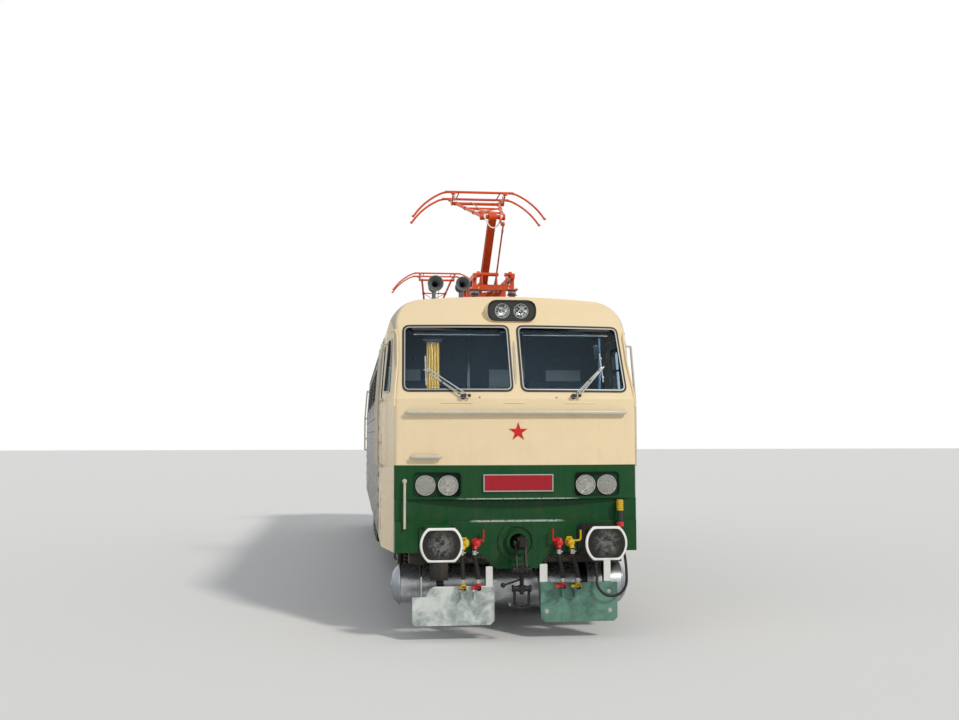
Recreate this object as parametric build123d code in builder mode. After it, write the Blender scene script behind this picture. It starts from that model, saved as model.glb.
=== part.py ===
from build123d import *
from math import cos, radians, sin, sqrt, tan
import os

# Electric locomotive with two cabs and two four-wheeled bogies.
# Millimetres. X is across the track, Y along it with the front cab at -Y, and Z is up.
# Z = 0 is the lowest point of the wheel flanges, so the rail head is at RAIL.

# Driving sizes, heights being above the flanges' lowest point
RAIL = 30
LENGTH_OVER_BUFFERS = 16740
PIVOT_SPACING = 8300
BOGIE_WHEELBASE = 3200
WHEEL_RADIUS = 625
FLANGE_HEIGHT = 30
BODY_HALF_WIDTH = 1470
WAIST_Z = RAIL + 2600
SHOULDER_HALF_WIDTH = 1410
SHOULDER_Z = RAIL + 3390
CROWN_HALF_WIDTH = 1060
CROWN_Z = RAIL + 3780
ROOF_TOP_Z = RAIL + 3830
SKIRT_BOTTOM_Z = RAIL + 930
FLOOR_TOP_Z = RAIL + 1620
WALL = 60
CLEAR = 0.3
RUNNING_GAP = 6
SHAFT_CLEAR = 0.1

# Front mask, with places along the engine counted from its front end
END_Y = -LENGTH_OVER_BUFFERS / 2
NOSE_Y = END_Y + 440
NOSE_BOW_RADIUS = 7100
TAPER_START_Y = END_Y + 1260
TAPER_END_Y = END_Y + 460
CAB_BACK_Y = END_Y + 2270
APRON_Y = END_Y + 570
BEAM_FACE_Y = END_Y + 540
SCREEN_TOP_Y = END_Y + 880
LEDGE_Z = RAIL + 1505
STEP_Z = RAIL + 1265
INNER_Y = END_Y + 3370

os.makedirs("parts", exist_ok=True)


def cross_plane(y):
    """Plane across the body at y, with its own x along X and its own y along Z."""
    return Plane((0, y, 0), x_dir=(1, 0, 0), z_dir=(0, -1, 0))


def rear_copy(shape):
    """The same piece at the other end of the locomotive, turned half a turn about Z."""
    return shape.rotate(Axis.Z, 180)


def save(shape, name):
    shape.label = name
    export_step(shape, f"parts/{name}.step")


def compound_of(*shapes):
    """Several separate solids of one node as a single compound."""
    solids = []
    for shape in shapes:
        solids.extend(shape.solids())
    return Compound(children=solids) if len(solids) > 1 else Part(solids[0].wrapped)


def box_between(x0, x1, y0, y1, z0, z1):
    """A box given by its low and high corners."""
    with BuildPart() as block:
        with Locations(((x0 + x1) / 2, (y0 + y1) / 2, (z0 + z1) / 2)):
            Box(x1 - x0, y1 - y0, z1 - z0)
    return block.part


CORNER_BULGE = 92

# Body section: (half width, z) of waist, shoulder and crown, top z, corner and crown sagitta
BODY_SECTION = (BODY_HALF_WIDTH, SHOULDER_HALF_WIDTH, SHOULDER_Z, CROWN_HALF_WIDTH, CROWN_Z,
                ROOF_TOP_Z, CORNER_BULGE)
NOSE_SECTION = (1306, 1100, RAIL + 3360, 700, RAIL + 3660, RAIL + 3700, 84)
LOW_Z = RAIL + 600


def section_sketch(section, inset, low_z, y):
    """Closed body outline across the body at y, drawn inset by a wall."""
    half, shoulder, shoulder_z, crown, crown_z, top_z, bulge = section
    half -= inset
    shoulder -= inset
    crown -= inset / 3
    crown_z -= inset
    top_z -= inset
    with BuildSketch(cross_plane(y)) as outline:
        with BuildLine():
            Polyline((-shoulder, shoulder_z), (-half, WAIST_Z), (-half, low_z), (half, low_z),
                     (half, WAIST_Z), (shoulder, shoulder_z))
            SagittaArc((shoulder, shoulder_z), (crown, crown_z), -bulge)
            SagittaArc((crown, crown_z), (-crown, crown_z), crown_z - top_z)
            SagittaArc((-crown, crown_z), (-shoulder, shoulder_z), -bulge)
        make_face()
    return outline.sketch


def mask_profile(inset):
    """Side view of the bowed mask as (y, z) points, from its lower edge up to the roof."""
    return ((APRON_Y + inset, LEDGE_Z - 30 + inset / 2), (NOSE_Y + inset, LEDGE_Z + inset / 2),
            (NOSE_Y + inset, WAIST_Z), (SCREEN_TOP_Y + inset, RAIL + 3450),
            (SCREEN_TOP_Y + 130 + inset, RAIL + 3640), (SCREEN_TOP_Y + 240 + inset, RAIL + 3750),
            (SCREEN_TOP_Y + 310 + inset, RAIL + 3900), (INNER_Y, RAIL + 4300),
            (INNER_Y, LEDGE_Z - 30 + inset / 2))


def apron_profile(inset):
    """Side view of the straight apron under the mask as (y, z) points."""
    low = LOW_Z - 100
    top = LEDGE_Z + inset
    return ((BEAM_FACE_Y + inset, low), (BEAM_FACE_Y + inset, STEP_Z), (APRON_Y + inset, STEP_Z),
            (APRON_Y + inset, top), (INNER_Y, top), (INNER_Y, low))


def limited_cab(profile, revolved, inset, low_z, back_y):
    """Tapered cab body cut to a side profile, turned about the bow's axis or run straight across."""
    body = section_sketch(BODY_SECTION, inset, low_z, TAPER_START_Y)
    nose = section_sketch(NOSE_SECTION, inset, low_z, TAPER_END_Y - 100)
    with BuildPart() as volume:
        loft(sections=(body, nose), ruled=True)
        extrude(to_extrude=body, amount=TAPER_START_Y - back_y)
        with BuildSketch(Plane.YZ):
            with BuildLine():
                Polyline(*profile, close=True)
            make_face()
        if revolved:
            bow_axis = Axis((0, NOSE_Y + NOSE_BOW_RADIUS, 0), (0, 0, 1))
            revolve(axis=bow_axis, mode=Mode.INTERSECT)
        else:
            extrude(amount=BODY_HALF_WIDTH * 1.1, both=True, mode=Mode.INTERSECT)
    return volume.part


def is_mask_edge(edge):
    """Upright and raked edges where the mask turns into the cab's sides."""
    spot = edge.center()
    return spot.Y < TAPER_START_Y - 40 and spot.Z > LEDGE_Z + 10 and 1300 < abs(spot.X) < 1358


def cab_volume(inset, low_z, back_y, corner_radius=0):
    """Cab outside, or its inside when inset by the wall."""
    with BuildPart() as volume:
        add(limited_cab(mask_profile(inset), True, inset, low_z, back_y))
        if corner_radius:
            fillet(volume.edges().filter_by(is_mask_edge), radius=corner_radius)
        add(limited_cab(apron_profile(inset), False, inset, low_z, back_y))
    return volume.part


def prism_x(points, x0, x1):
    """A block whose outline is (y, z) points, running from x0 to x1."""
    with BuildPart() as block:
        with BuildSketch(Plane.YZ.offset(x0)):
            with BuildLine():
                Polyline(*points, close=True)
            make_face()
        extrude(amount=x1 - x0)
    return block.part


def prism_y(points, y0, y1, corner=0):
    """A block whose outline is (x, z) points with rounded corners, running from y0 back to y1."""
    with BuildPart() as block:
        with BuildSketch(cross_plane(y1)) as outline:
            with BuildLine():
                Polyline(*points, close=True)
            make_face()
            if corner:
                fillet(outline.vertices(), radius=corner)
        extrude(amount=y1 - y0)
    return block.part


def rod(start, end, radius):
    """A round bar from point to point."""
    axis = Vector(*end) - Vector(*start)
    with BuildPart() as bar:
        with BuildSketch(Plane(start, z_dir=axis)):
            Circle(radius)
        extrude(amount=axis.length)
    return bar.part


def fused(*shapes):
    """One solid out of pieces that meet or overlap."""
    with BuildPart() as whole:
        for shape in shapes:
            add(shape)
    return whole.part


def cut(shape, *tools):
    """The shape with tools taken away."""
    with BuildPart() as rest:
        add(shape)
        for tool in tools:
            add(tool, mode=Mode.SUBTRACT)
    return rest.part


def both_sides(shape):
    """The shape and its mirror image across the middle of the track."""
    return [shape, mirror(shape, about=Plane.YZ)]


# Windscreens, side windows and doors
SCREEN_INNER_X = 52
SCREEN_OUTER_X_TOP = 1236
SCREEN_OUTER_X_LOW = 1254
SCREEN_LOW_Z = RAIL + 2690
SCREEN_TOP_Z = RAIL + 3445
SCREEN_CORNER = 70
SEAL_WIDTH = 26
SEAL_PROUD = 8
GLASS_DEPTH = 18
GLASS_THICKNESS = 10
SIDE_WINDOW_Y = (END_Y + 900, END_Y + 1180)
SIDE_WINDOW_Z = (RAIL + 2690, RAIL + 3300)
DOOR_FRONT_Y = END_Y + 1310
DOOR_BACK_Y = END_Y + 1950
DOOR_SILL_Z = RAIL + 1660
DOOR_TOP_Z = RAIL + 3350
DOOR_THICKNESS = 50
DOOR_FRONT_GAP = 14
DOOR_HINGE_X = -1350
DOOR_HINGE_GAP = 12
DOOR_WINDOW_Z = (RAIL + 2660, RAIL + 3230)
DOOR_WINDOW_MARGIN = 120
DOOR_HINGE_Y = DOOR_BACK_Y - DOOR_HINGE_GAP
HINGE_Z = (DOOR_SILL_Z + 160, DOOR_TOP_Z - 160)
HINGE_PIN_RADIUS = 8
KNUCKLE_HALF = 40
KNUCKLE_RADIUS = 14
NICHE_Y = (END_Y + 1440, END_Y + 1670)
NICHE_HEIGHT = 135
NICHE_Z = (RAIL + 1165, RAIL + 1410)
CHIN_BOTTOM_Z = RAIL + 745


def screen_points(side, grow):
    """Outline of one windscreen, grown outwards by grow."""
    points = [(SCREEN_INNER_X - grow, SCREEN_LOW_Z - grow), (SCREEN_OUTER_X_LOW + grow, SCREEN_LOW_Z - grow),
              (SCREEN_OUTER_X_TOP + grow, SCREEN_TOP_Z + grow), (SCREEN_INNER_X - grow, SCREEN_TOP_Z + grow)]
    return [(side * x, z) for x, z in points]


def side_window_points(grow):
    """Outline of a cab side window as (y, z) points."""
    (front, back), (low, top) = SIDE_WINDOW_Y, SIDE_WINDOW_Z
    rake = (top - low) * 0.3
    return [(front - grow, low - grow), (back + grow, low - grow), (back + grow, top + grow),
            (front + rake - grow, top + grow)]


def window_tools(grow):
    """Prisms through both windscreens and both side windows."""
    tools = []
    for side in (-1, 1):
        tools.append(prism_y(screen_points(side, grow), NOSE_Y - 100, TAPER_START_Y - 20,
                             SCREEN_CORNER + grow))
        tools.append(prism_x(side_window_points(grow), side * 1200, side * 1500))
    return tools


# Lamps and mask fittings
LAMP_X = (761, 1009)
LAMP_Z = RAIL + 1655
LAMP_RADIUS = 113
LAMP_TRAY = ((622, 1148), (RAIL + 1527, RAIL + 1800))
LAMP_TRAY_CORNER = 60
LAMP_FACE_Y = END_Y + 508
PLATE_HALF = 385
PLATE_Z = (RAIL + 1587, RAIL + 1776)
STAR_Z = RAIL + 2238
STAR_RADIUS = 106
HORN_LAMP_HALF = 285
HORN_LAMP_Z = (RAIL + 3496, RAIL + 3749)
HORN_LAMP_FACE_Y = END_Y + 890
HORN_LAMP_X = 108
HORN_LAMP_RADIUS = 90
HOOK_Z = RAIL + 1040
HOOK_RING = (215, 165)
HOOK_TUBE = (128, 92)

cab_outer = cab_volume(0, CHIN_BOTTOM_Z, CAB_BACK_Y, corner_radius=60)
cab_inner = cab_volume(WALL, LOW_Z - 50, CAB_BACK_Y + 50)
cab_skin = cab_volume(-CLEAR, LOW_Z - 50, CAB_BACK_Y)
seal_outer = cab_volume(-SEAL_PROUD, LOW_Z - 50, CAB_BACK_Y)
glass_outer = cab_volume(GLASS_DEPTH, LOW_Z - 50, CAB_BACK_Y)
glass_inner = cab_volume(GLASS_DEPTH + GLASS_THICKNESS, LOW_Z - 50, CAB_BACK_Y + 50)


def tray_points(side, grow=0):
    """Outline of one lamp recess as (x, z) points."""
    (x0, x1), (z0, z1) = LAMP_TRAY
    x0, x1, z0, z1 = x0 - grow, x1 + grow, z0 - grow, z1 + grow
    return [(side * x0, z0), (side * x1, z0), (side * x1, z1), (side * x0, z1)]


def hinge_lugs(z):
    """The fixed half of one left door hinge: two lugs on the jamb and their pin."""
    outer_z = KNUCKLE_HALF + RUNNING_GAP + 14
    pieces = [rod((DOOR_HINGE_X, DOOR_HINGE_Y, z - outer_z), (DOOR_HINGE_X, DOOR_HINGE_Y, z + outer_z),
                  HINGE_PIN_RADIUS)]
    for low in (z - outer_z, z + outer_z - 14):
        pieces.append(box_between(DOOR_HINGE_X - 10, DOOR_HINGE_X + 10, DOOR_HINGE_Y - 12, DOOR_BACK_Y + 20,
                                  low, low + 14))
        pieces.append(box_between(-BODY_HALF_WIDTH + WALL - 1, DOOR_HINGE_X + 10, DOOR_BACK_Y + 1,
                                  DOOR_BACK_Y + 20, low, low + 14))
    return pieces


def make_cab_shell():
    """Mask, cab sides and cab roof in one wall, with every opening cut."""
    skirt = [(450, CHIN_BOTTOM_Z + 175), (1600, SKIRT_BOTTOM_Z), (1600, LOW_Z), (230, LOW_Z),
             (230, CHIN_BOTTOM_Z), (400, CHIN_BOTTOM_Z + 115)]
    tools = [cab_inner]
    for side in (-1, 1):
        tools.append(prism_y([(side * x, z) for x, z in skirt], NOSE_Y - 100, CAB_BACK_Y + 50))
        tools.append(box_between(*sorted((side * 1300, side * 1600)), DOOR_FRONT_Y, DOOR_BACK_Y,
                                 DOOR_SILL_Z, DOOR_TOP_Z))
        tools.append(prism_y(tray_points(side), NOSE_Y - 100, TAPER_START_Y - 20, LAMP_TRAY_CORNER))
        for z in NICHE_Z:
            tools.append(box_between(*sorted((side * 1300, side * 1600)), *NICHE_Y,
                                     z - NICHE_HEIGHT / 2, z + NICHE_HEIGHT / 2))
    shell = cut(cab_outer, *tools, *window_tools(0))
    with BuildPart() as dressed:
        add(shell)
        for z in HINGE_Z:
            for lug in hinge_lugs(z):
                add(lug)
                add(mirror(lug, about=Plane.YZ))
        with BuildSketch(cross_plane(BEAM_FACE_Y)):
            with Locations((0, HOOK_Z)):
                Circle(HOOK_RING[0])
                Circle(HOOK_RING[1], mode=Mode.SUBTRACT)
        extrude(amount=22)
        with BuildSketch(cross_plane(BEAM_FACE_Y + WALL)):
            with Locations((0, HOOK_Z)):
                Circle(HOOK_TUBE[0])
        extrude(amount=WALL + 75)
        with BuildSketch(cross_plane(BEAM_FACE_Y + WALL)):
            with Locations((0, HOOK_Z)):
                Circle(HOOK_TUBE[1])
        extrude(amount=WALL + 90, mode=Mode.SUBTRACT)
    return dressed.part


front_cab = make_cab_shell()
save(front_cab, "front_cab_shell")
save(rear_copy(front_cab), "rear_cab_shell")


def layer(outer, inner, tool):
    """The part of a thin skin that lies inside a prism."""
    with BuildPart() as piece:
        add(outer)
        add(inner, mode=Mode.SUBTRACT)
        add(tool, mode=Mode.INTERSECT)
    return piece.part


front_glass = [layer(glass_outer, glass_inner, tool) for tool in window_tools(-SEAL_WIDTH - CLEAR)]
front_seals = []
for pane_tool, seal_tool in zip(window_tools(-SEAL_WIDTH), window_tools(-CLEAR)):
    front_seals.append(cut(layer(seal_outer, glass_inner, seal_tool), pane_tool))
save(compound_of(*front_glass, *[rear_copy(pane) for pane in front_glass]), "cab_glass")
save(compound_of(*front_seals, *[rear_copy(seal) for seal in front_seals]), "window_seals")

# Machine room walls, roof, bulkheads
ROOM_GAP = 5
ROOM_END_Y = -CAB_BACK_Y - ROOM_GAP
RIB_ROWS = 7
RIB_Z = (RAIL + 1330, RAIL + 2480)
RIB_HEIGHT = 70
RIB_DEPTH = 18
WALL_WINDOW_Y = (-4300, -1450, 1450, 4300)
WALL_WINDOW_HALF = 380
LOUVRE_Y = (-2875, 0, 2875)
LOUVRE_HALF = 800
BAND_Z = (RAIL + 2720, RAIL + 3240)
SLATS = 7
SLAT_THICKNESS = 14


def wall_x(z):
    """Outer half width of the body side at a height."""
    if z <= WAIST_Z:
        return BODY_HALF_WIDTH
    lean = (BODY_HALF_WIDTH - SHOULDER_HALF_WIDTH) / (SHOULDER_Z - WAIST_Z)
    return BODY_HALF_WIDTH - (z - WAIST_Z) * lean


def wall_section():
    """Cross section of the left body side wall as (x, z) points."""
    outer = [(-wall_x(z), z) for z in (SKIRT_BOTTOM_Z, WAIST_Z, SHOULDER_Z - CLEAR)]
    inner = [(x + WALL, z) for x, z in reversed(outer)]
    return outer + inner


def make_side_wall():
    """Left machine room wall with pressed ribs, windows and louvred air inlets."""
    wall = prism_y(wall_section(), -ROOM_END_Y, ROOM_END_Y)
    with BuildPart() as dressed:
        add(wall)
        for row in range(RIB_ROWS):
            z = RIB_Z[0] + (RIB_Z[1] - RIB_Z[0]) * row / (RIB_ROWS - 1)
            with BuildSketch(cross_plane(-ROOM_END_Y + 60)):
                with Locations((-BODY_HALF_WIDTH, z)):
                    Trapezoid(RIB_HEIGHT, RIB_DEPTH, 60, rotation=90, align=(Align.CENTER, Align.MIN))
            extrude(amount=-(2 * ROOM_END_Y - 120))
        for centre in WALL_WINDOW_Y:
            add(box_between(-1600, -1300, centre - WALL_WINDOW_HALF, centre + WALL_WINDOW_HALF, *BAND_Z),
                mode=Mode.SUBTRACT)
        for centre in LOUVRE_Y:
            add(box_between(-1600, -1300, centre - LOUVRE_HALF, centre + LOUVRE_HALF, *BAND_Z),
                mode=Mode.SUBTRACT)
            pitch = (BAND_Z[1] - BAND_Z[0]) / SLATS
            for slat in range(SLATS):
                z = BAND_Z[0] + pitch * (slat + 0.25)
                x = -wall_x(z + pitch / 2)
                points = [(x + 2, z), (x + 2, z + SLAT_THICKNESS), (x + WALL, z + pitch * 0.8),
                          (x + WALL, z + pitch * 0.8 - SLAT_THICKNESS)]
                add(prism_y(points, centre - LOUVRE_HALF - 1, centre + LOUVRE_HALF + 1))
    return dressed.part


left_wall = make_side_wall()
save(compound_of(left_wall, rear_copy(left_wall)), "machine_room_walls")

left_pane = []
for centre in WALL_WINDOW_Y:
    pane = prism_y([(-wall_x(BAND_Z[0]) + GLASS_DEPTH, BAND_Z[0] + CLEAR),
                    (-wall_x(BAND_Z[1]) + GLASS_DEPTH, BAND_Z[1] - CLEAR),
                    (-wall_x(BAND_Z[1]) + GLASS_DEPTH + GLASS_THICKNESS, BAND_Z[1] - CLEAR),
                    (-wall_x(BAND_Z[0]) + GLASS_DEPTH + GLASS_THICKNESS, BAND_Z[0] + CLEAR)],
                   centre - WALL_WINDOW_HALF + CLEAR, centre + WALL_WINDOW_HALF - CLEAR)
    left_pane.append(pane)
save(compound_of(*left_pane, *[rear_copy(pane) for pane in left_pane]), "machine_room_glass")

ROOF_WALL = 50
HATCH_Y = (-2300, 0, 2300)
HATCH_HALF = (780, 1000)
HATCH_HEIGHT = 22
HATCH_ROOT = 30


def roof_sketch(inset, low_z):
    """Roof outline above the shoulders across the body."""
    with BuildSketch(cross_plane(-ROOM_END_Y)) as outline:
        with BuildLine():
            shoulder = (SHOULDER_HALF_WIDTH - inset, low_z)
            crown = (CROWN_HALF_WIDTH - inset / 3, CROWN_Z - inset)
            SagittaArc(shoulder, crown, -CORNER_BULGE)
            SagittaArc(crown, (-crown[0], crown[1]), CROWN_Z - ROOF_TOP_Z)
            SagittaArc((-crown[0], crown[1]), (-shoulder[0], shoulder[1]), -CORNER_BULGE)
            Line((-shoulder[0], shoulder[1]), shoulder)
        make_face()
    return outline.sketch


with BuildPart() as main_roof:
    extrude(to_extrude=roof_sketch(0, SHOULDER_Z), amount=-2 * ROOM_END_Y)
    extrude(to_extrude=roof_sketch(ROOF_WALL, SHOULDER_Z), amount=-2 * ROOM_END_Y, mode=Mode.SUBTRACT)
    for y in HATCH_Y:
        with Locations((0, y, ROOF_TOP_Z + (HATCH_HEIGHT - HATCH_ROOT) / 2)):
            Box(2 * HATCH_HALF[0], 2 * HATCH_HALF[1], HATCH_HEIGHT + HATCH_ROOT)
save(main_roof.part, "main_roof")

BULKHEAD_Y = (END_Y + 2322, END_Y + 2370)
BULKHEAD_DOOR = (330, RAIL + 3500)

with BuildPart() as bulkhead:
    with BuildSketch(cross_plane(BULKHEAD_Y[1])):
        with BuildLine():
            half = BODY_HALF_WIDTH - WALL - CLEAR
            shoulder = SHOULDER_HALF_WIDTH - WALL - 2
            crown = (CROWN_HALF_WIDTH - 70, CROWN_Z - ROOF_WALL - 25)
            Polyline((crown[0], crown[1]), (shoulder, SHOULDER_Z - 40), (half, WAIST_Z - 20),
                     (half, FLOOR_TOP_Z + CLEAR), (-half, FLOOR_TOP_Z + CLEAR), (-half, WAIST_Z - 20),
                     (-shoulder, SHOULDER_Z - 40), (-crown[0], crown[1]), close=True)
        make_face()
    extrude(amount=BULKHEAD_Y[1] - BULKHEAD_Y[0])
save(compound_of(bulkhead.part, rear_copy(bulkhead.part)), "cab_bulkheads")

# Underframe
DECK_BOTTOM_Z = RAIL + 1340
DECK_HALF = BODY_HALF_WIDTH - WALL - CLEAR
DECK_END_HALF = 1285
DECK_END_Y = -(APRON_Y + WALL) - CLEAR
BEAM_END_Y = -(BEAM_FACE_Y + WALL) - CLEAR
BEAM_DEPTH = 270
BEAM_HALF = 1180
BEAM_BOTTOM_Z = RAIL + 800
PIVOT_Y = PIVOT_SPACING / 2
PIVOT_RADIUS = 130
PIVOT_BOTTOM_Z = RAIL + 620
PIVOT_CLEAR = CLEAR

with BuildPart() as underframe:
    add(box_between(-DECK_HALF, DECK_HALF, TAPER_START_Y, -TAPER_START_Y, DECK_BOTTOM_Z, FLOOR_TOP_Z))
    add(box_between(-DECK_END_HALF, DECK_END_HALF, -DECK_END_Y, DECK_END_Y, DECK_BOTTOM_Z, STEP_Z + 150))
    add(box_between(-DECK_END_HALF, DECK_END_HALF, -DECK_END_Y, DECK_END_Y, STEP_Z + 150, FLOOR_TOP_Z))
    for end in (-1, 1):
        add(box_between(-BEAM_HALF, BEAM_HALF, *sorted((end * BEAM_END_Y, end * (BEAM_END_Y - BEAM_DEPTH))),
                        BEAM_BOTTOM_Z, STEP_Z - 5))
        add(box_between(-BEAM_HALF, BEAM_HALF,
                        *sorted((end * (DECK_END_Y - 10), end * (BEAM_END_Y - BEAM_DEPTH))),
                        STEP_Z - 6, DECK_BOTTOM_Z + 5))
        with Locations((0, end * PIVOT_Y, (PIVOT_BOTTOM_Z + DECK_BOTTOM_Z) / 2)):
            Cylinder(PIVOT_RADIUS, DECK_BOTTOM_Z - PIVOT_BOTTOM_Z)
        with Locations((0, end * BEAM_END_Y, HOOK_Z)):
            Cylinder(HOOK_TUBE[1], 2 * BEAM_DEPTH + 60, rotation=(90, 0, 0), mode=Mode.SUBTRACT)
save(underframe.part, "underframe")

# Fittings of the mask
def on_mask(shape):
    """Trim the back of a piece to the mask that carries it."""
    return cut(shape, cab_skin)


with BuildPart() as housing_block:
    with BuildSketch(cross_plane(HORN_LAMP_FACE_Y + 420)):
        with Locations((0, (HORN_LAMP_Z[0] + HORN_LAMP_Z[1]) / 2 - 12)):
            RectangleRounded(2 * HORN_LAMP_HALF + 90, HORN_LAMP_Z[1] - HORN_LAMP_Z[0] + 50, 135)
    with BuildSketch(cross_plane(HORN_LAMP_FACE_Y)):
        with Locations((0, (HORN_LAMP_Z[0] + HORN_LAMP_Z[1]) / 2)):
            RectangleRounded(2 * HORN_LAMP_HALF, HORN_LAMP_Z[1] - HORN_LAMP_Z[0], 122)
    loft(ruled=True)
    with BuildSketch(cross_plane(HORN_LAMP_FACE_Y - 1)):
        with Locations((0, (HORN_LAMP_Z[0] + HORN_LAMP_Z[1]) / 2)):
            RectangleRounded(2 * HORN_LAMP_HALF - 24, HORN_LAMP_Z[1] - HORN_LAMP_Z[0] - 24, 110)
    extrude(amount=-66, mode=Mode.SUBTRACT)
lamp_housing = on_mask(housing_block.part)
save(compound_of(lamp_housing, rear_copy(lamp_housing)), "forehead_lamp_housings")


def lamp_barrel(x, z, radius, face_y, depth):
    """A round lamp with a domed lens, facing the front."""
    with BuildPart() as barrel:
        with BuildSketch(Plane.YZ):
            with BuildLine():
                Polyline((face_y + depth, 0), (face_y + depth, radius * 0.8), (face_y + 12, radius),
                         (face_y, radius), (face_y, radius * 0.9))
                ThreePointArc((face_y, radius * 0.9), (face_y - 5, radius * 0.5), (face_y - 7, radius * 0.1))
                Polyline((face_y - 7, radius * 0.1), (face_y - 7, 0), (face_y + depth, 0))
            make_face()
        revolve(axis=Axis((0, 0, 0), (0, 1, 0)))
    return Pos(x, 0, z) * barrel.part


lamps = []
for side in (-1, 1):
    tray = prism_y(tray_points(side, -CLEAR), LAMP_FACE_Y + 44, LAMP_FACE_Y + 62, LAMP_TRAY_CORNER)
    rims = [lamp_barrel(side * x, LAMP_Z, LAMP_RADIUS, LAMP_FACE_Y + (x - LAMP_X[0]) * 0.12, 56)
            for x in LAMP_X]
    cluster = fused(tray, *rims)
    lamps.append(cluster)
    lamps.append(on_mask(lamp_barrel(side * HORN_LAMP_X, (HORN_LAMP_Z[0] + HORN_LAMP_Z[1]) / 2,
                                     HORN_LAMP_RADIUS, HORN_LAMP_FACE_Y + 20, 44)))
save(compound_of(*lamps, *[rear_copy(lamp) for lamp in lamps]), "lamps")

plate = on_mask(prism_y([(-PLATE_HALF, PLATE_Z[0]), (PLATE_HALF, PLATE_Z[0]), (PLATE_HALF, PLATE_Z[1]),
                         (-PLATE_HALF, PLATE_Z[1])], NOSE_Y - 16, NOSE_Y + 60))
save(compound_of(plate, rear_copy(plate)), "number_plates")

star_points = []
for corner in range(10):
    reach = STAR_RADIUS * (1 if corner % 2 == 0 else 0.382)
    angle = radians(90 + 36 * corner)
    star_points.append((reach * cos(angle), STAR_Z + reach * sin(angle)))
star = on_mask(prism_y(star_points, NOSE_Y - 6, NOSE_Y + 20))
save(compound_of(star, rear_copy(star)), "stars")


def mask_y(x, z=0, off=0):
    """Y of the bowed mask at x and z, moved off its surface towards the front."""
    rake = (SCREEN_TOP_Y - NOSE_Y) / (SCREEN_TOP_Z - WAIST_Z)
    bow = NOSE_BOW_RADIUS - max(0, z - WAIST_Z) * rake
    return NOSE_Y + NOSE_BOW_RADIUS - sqrt(bow ** 2 - x ** 2) - off


def on_face(x, z, off):
    """A point of the mask, moved off its surface."""
    return (x, mask_y(x, z, off), z)


def bent_bar(points, radius, bend):
    """A round bar through points, bent to one radius at each of them."""
    with BuildPart() as bar:
        with BuildLine() as path:
            FilletPolyline(*points, radius=bend)
        with BuildSketch(Plane(path.line @ 0, z_dir=path.line % 0)):
            Circle(radius)
        sweep()
    return bar.part


# Handrails and wipers
RAIL_RADIUS = 14
RAIL_OFF = 50
FRONT_RAIL_HALF = 1233
FRONT_RAIL_Z = RAIL + 2453
SHORT_RAIL = (-1175, -840, RAIL + 1967)
CORNER_RAIL_X = -1236
CORNER_RAIL_Z = (RAIL + 1190, RAIL + 1720)
DOOR_RAIL_Y = (-7150, -6330)
DOOR_RAIL_Z = (RAIL + 1850, RAIL + 3250)


def mask_rail(x0, x1, z, stands):
    """A rail across the mask, on stand-offs that reach its surface."""
    with BuildPart() as bar:
        with BuildLine() as path:
            ThreePointArc(on_face(x0, z, RAIL_OFF), on_face((x0 + x1) / 2, z, RAIL_OFF),
                          on_face(x1, z, RAIL_OFF))
        with BuildSketch(Plane(path.line @ 0, z_dir=path.line % 0)):
            Circle(RAIL_RADIUS)
        sweep()
    legs = [rod(on_face(x, z, RAIL_OFF), on_face(x, z, -20), RAIL_RADIUS * 0.8) for x in stands]
    return on_mask(fused(bar.part, *legs))


def door_rail(y):
    """The upright grab rail on the left side at y, following the lean of the side."""
    low, high = DOOR_RAIL_Z
    points = [(-wall_x(z) - RAIL_OFF, y, z) for z in (low, WAIST_Z, high)]
    legs = [rod((x - RAIL_RADIUS / 2, y, z), (x + 80, y, z), RAIL_RADIUS * 0.8)
            for x, y, z in (points[0], points[1], points[2])]
    return on_mask(fused(bent_bar(points, RAIL_RADIUS, 400), *legs))


rails = [mask_rail(-FRONT_RAIL_HALF, FRONT_RAIL_HALF, FRONT_RAIL_Z, (-1215, -610, 0, 610, 1215)),
         mask_rail(*SHORT_RAIL, (SHORT_RAIL[0] + 15, SHORT_RAIL[1] - 15))]
corner_top = (CORNER_RAIL_X, mask_y(CORNER_RAIL_X, off=RAIL_OFF), CORNER_RAIL_Z[1])
corner_low = (CORNER_RAIL_X, corner_top[1], CORNER_RAIL_Z[0])
corner_legs = [rod((CORNER_RAIL_X, corner_top[1], z), (CORNER_RAIL_X, APRON_Y + 20, z), RAIL_RADIUS * 0.8)
               for z in (CORNER_RAIL_Z[0] + 20, CORNER_RAIL_Z[1] - 20)]
rails.append(on_mask(fused(rod(corner_low, corner_top, RAIL_RADIUS), *corner_legs)))
for y in DOOR_RAIL_Y:
    rails.extend(both_sides(door_rail(y)))
save(compound_of(*rails, *[rear_copy(bar) for bar in rails]), "handrails")

WIPER_PIVOTS = ((-590, RAIL + 2620, -1000, RAIL + 2920), (638, RAIL + 2624, 995, RAIL + 2958))
WIPER_OFF = 45
WIPER_BAR_RADIUS = 5
WIPER_BAR_GAP = 26
BLADE_HALF = 165
BLADE_RADIUS = 8
BLADE_OFF = 1.5 * BLADE_RADIUS - GLASS_DEPTH


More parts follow.
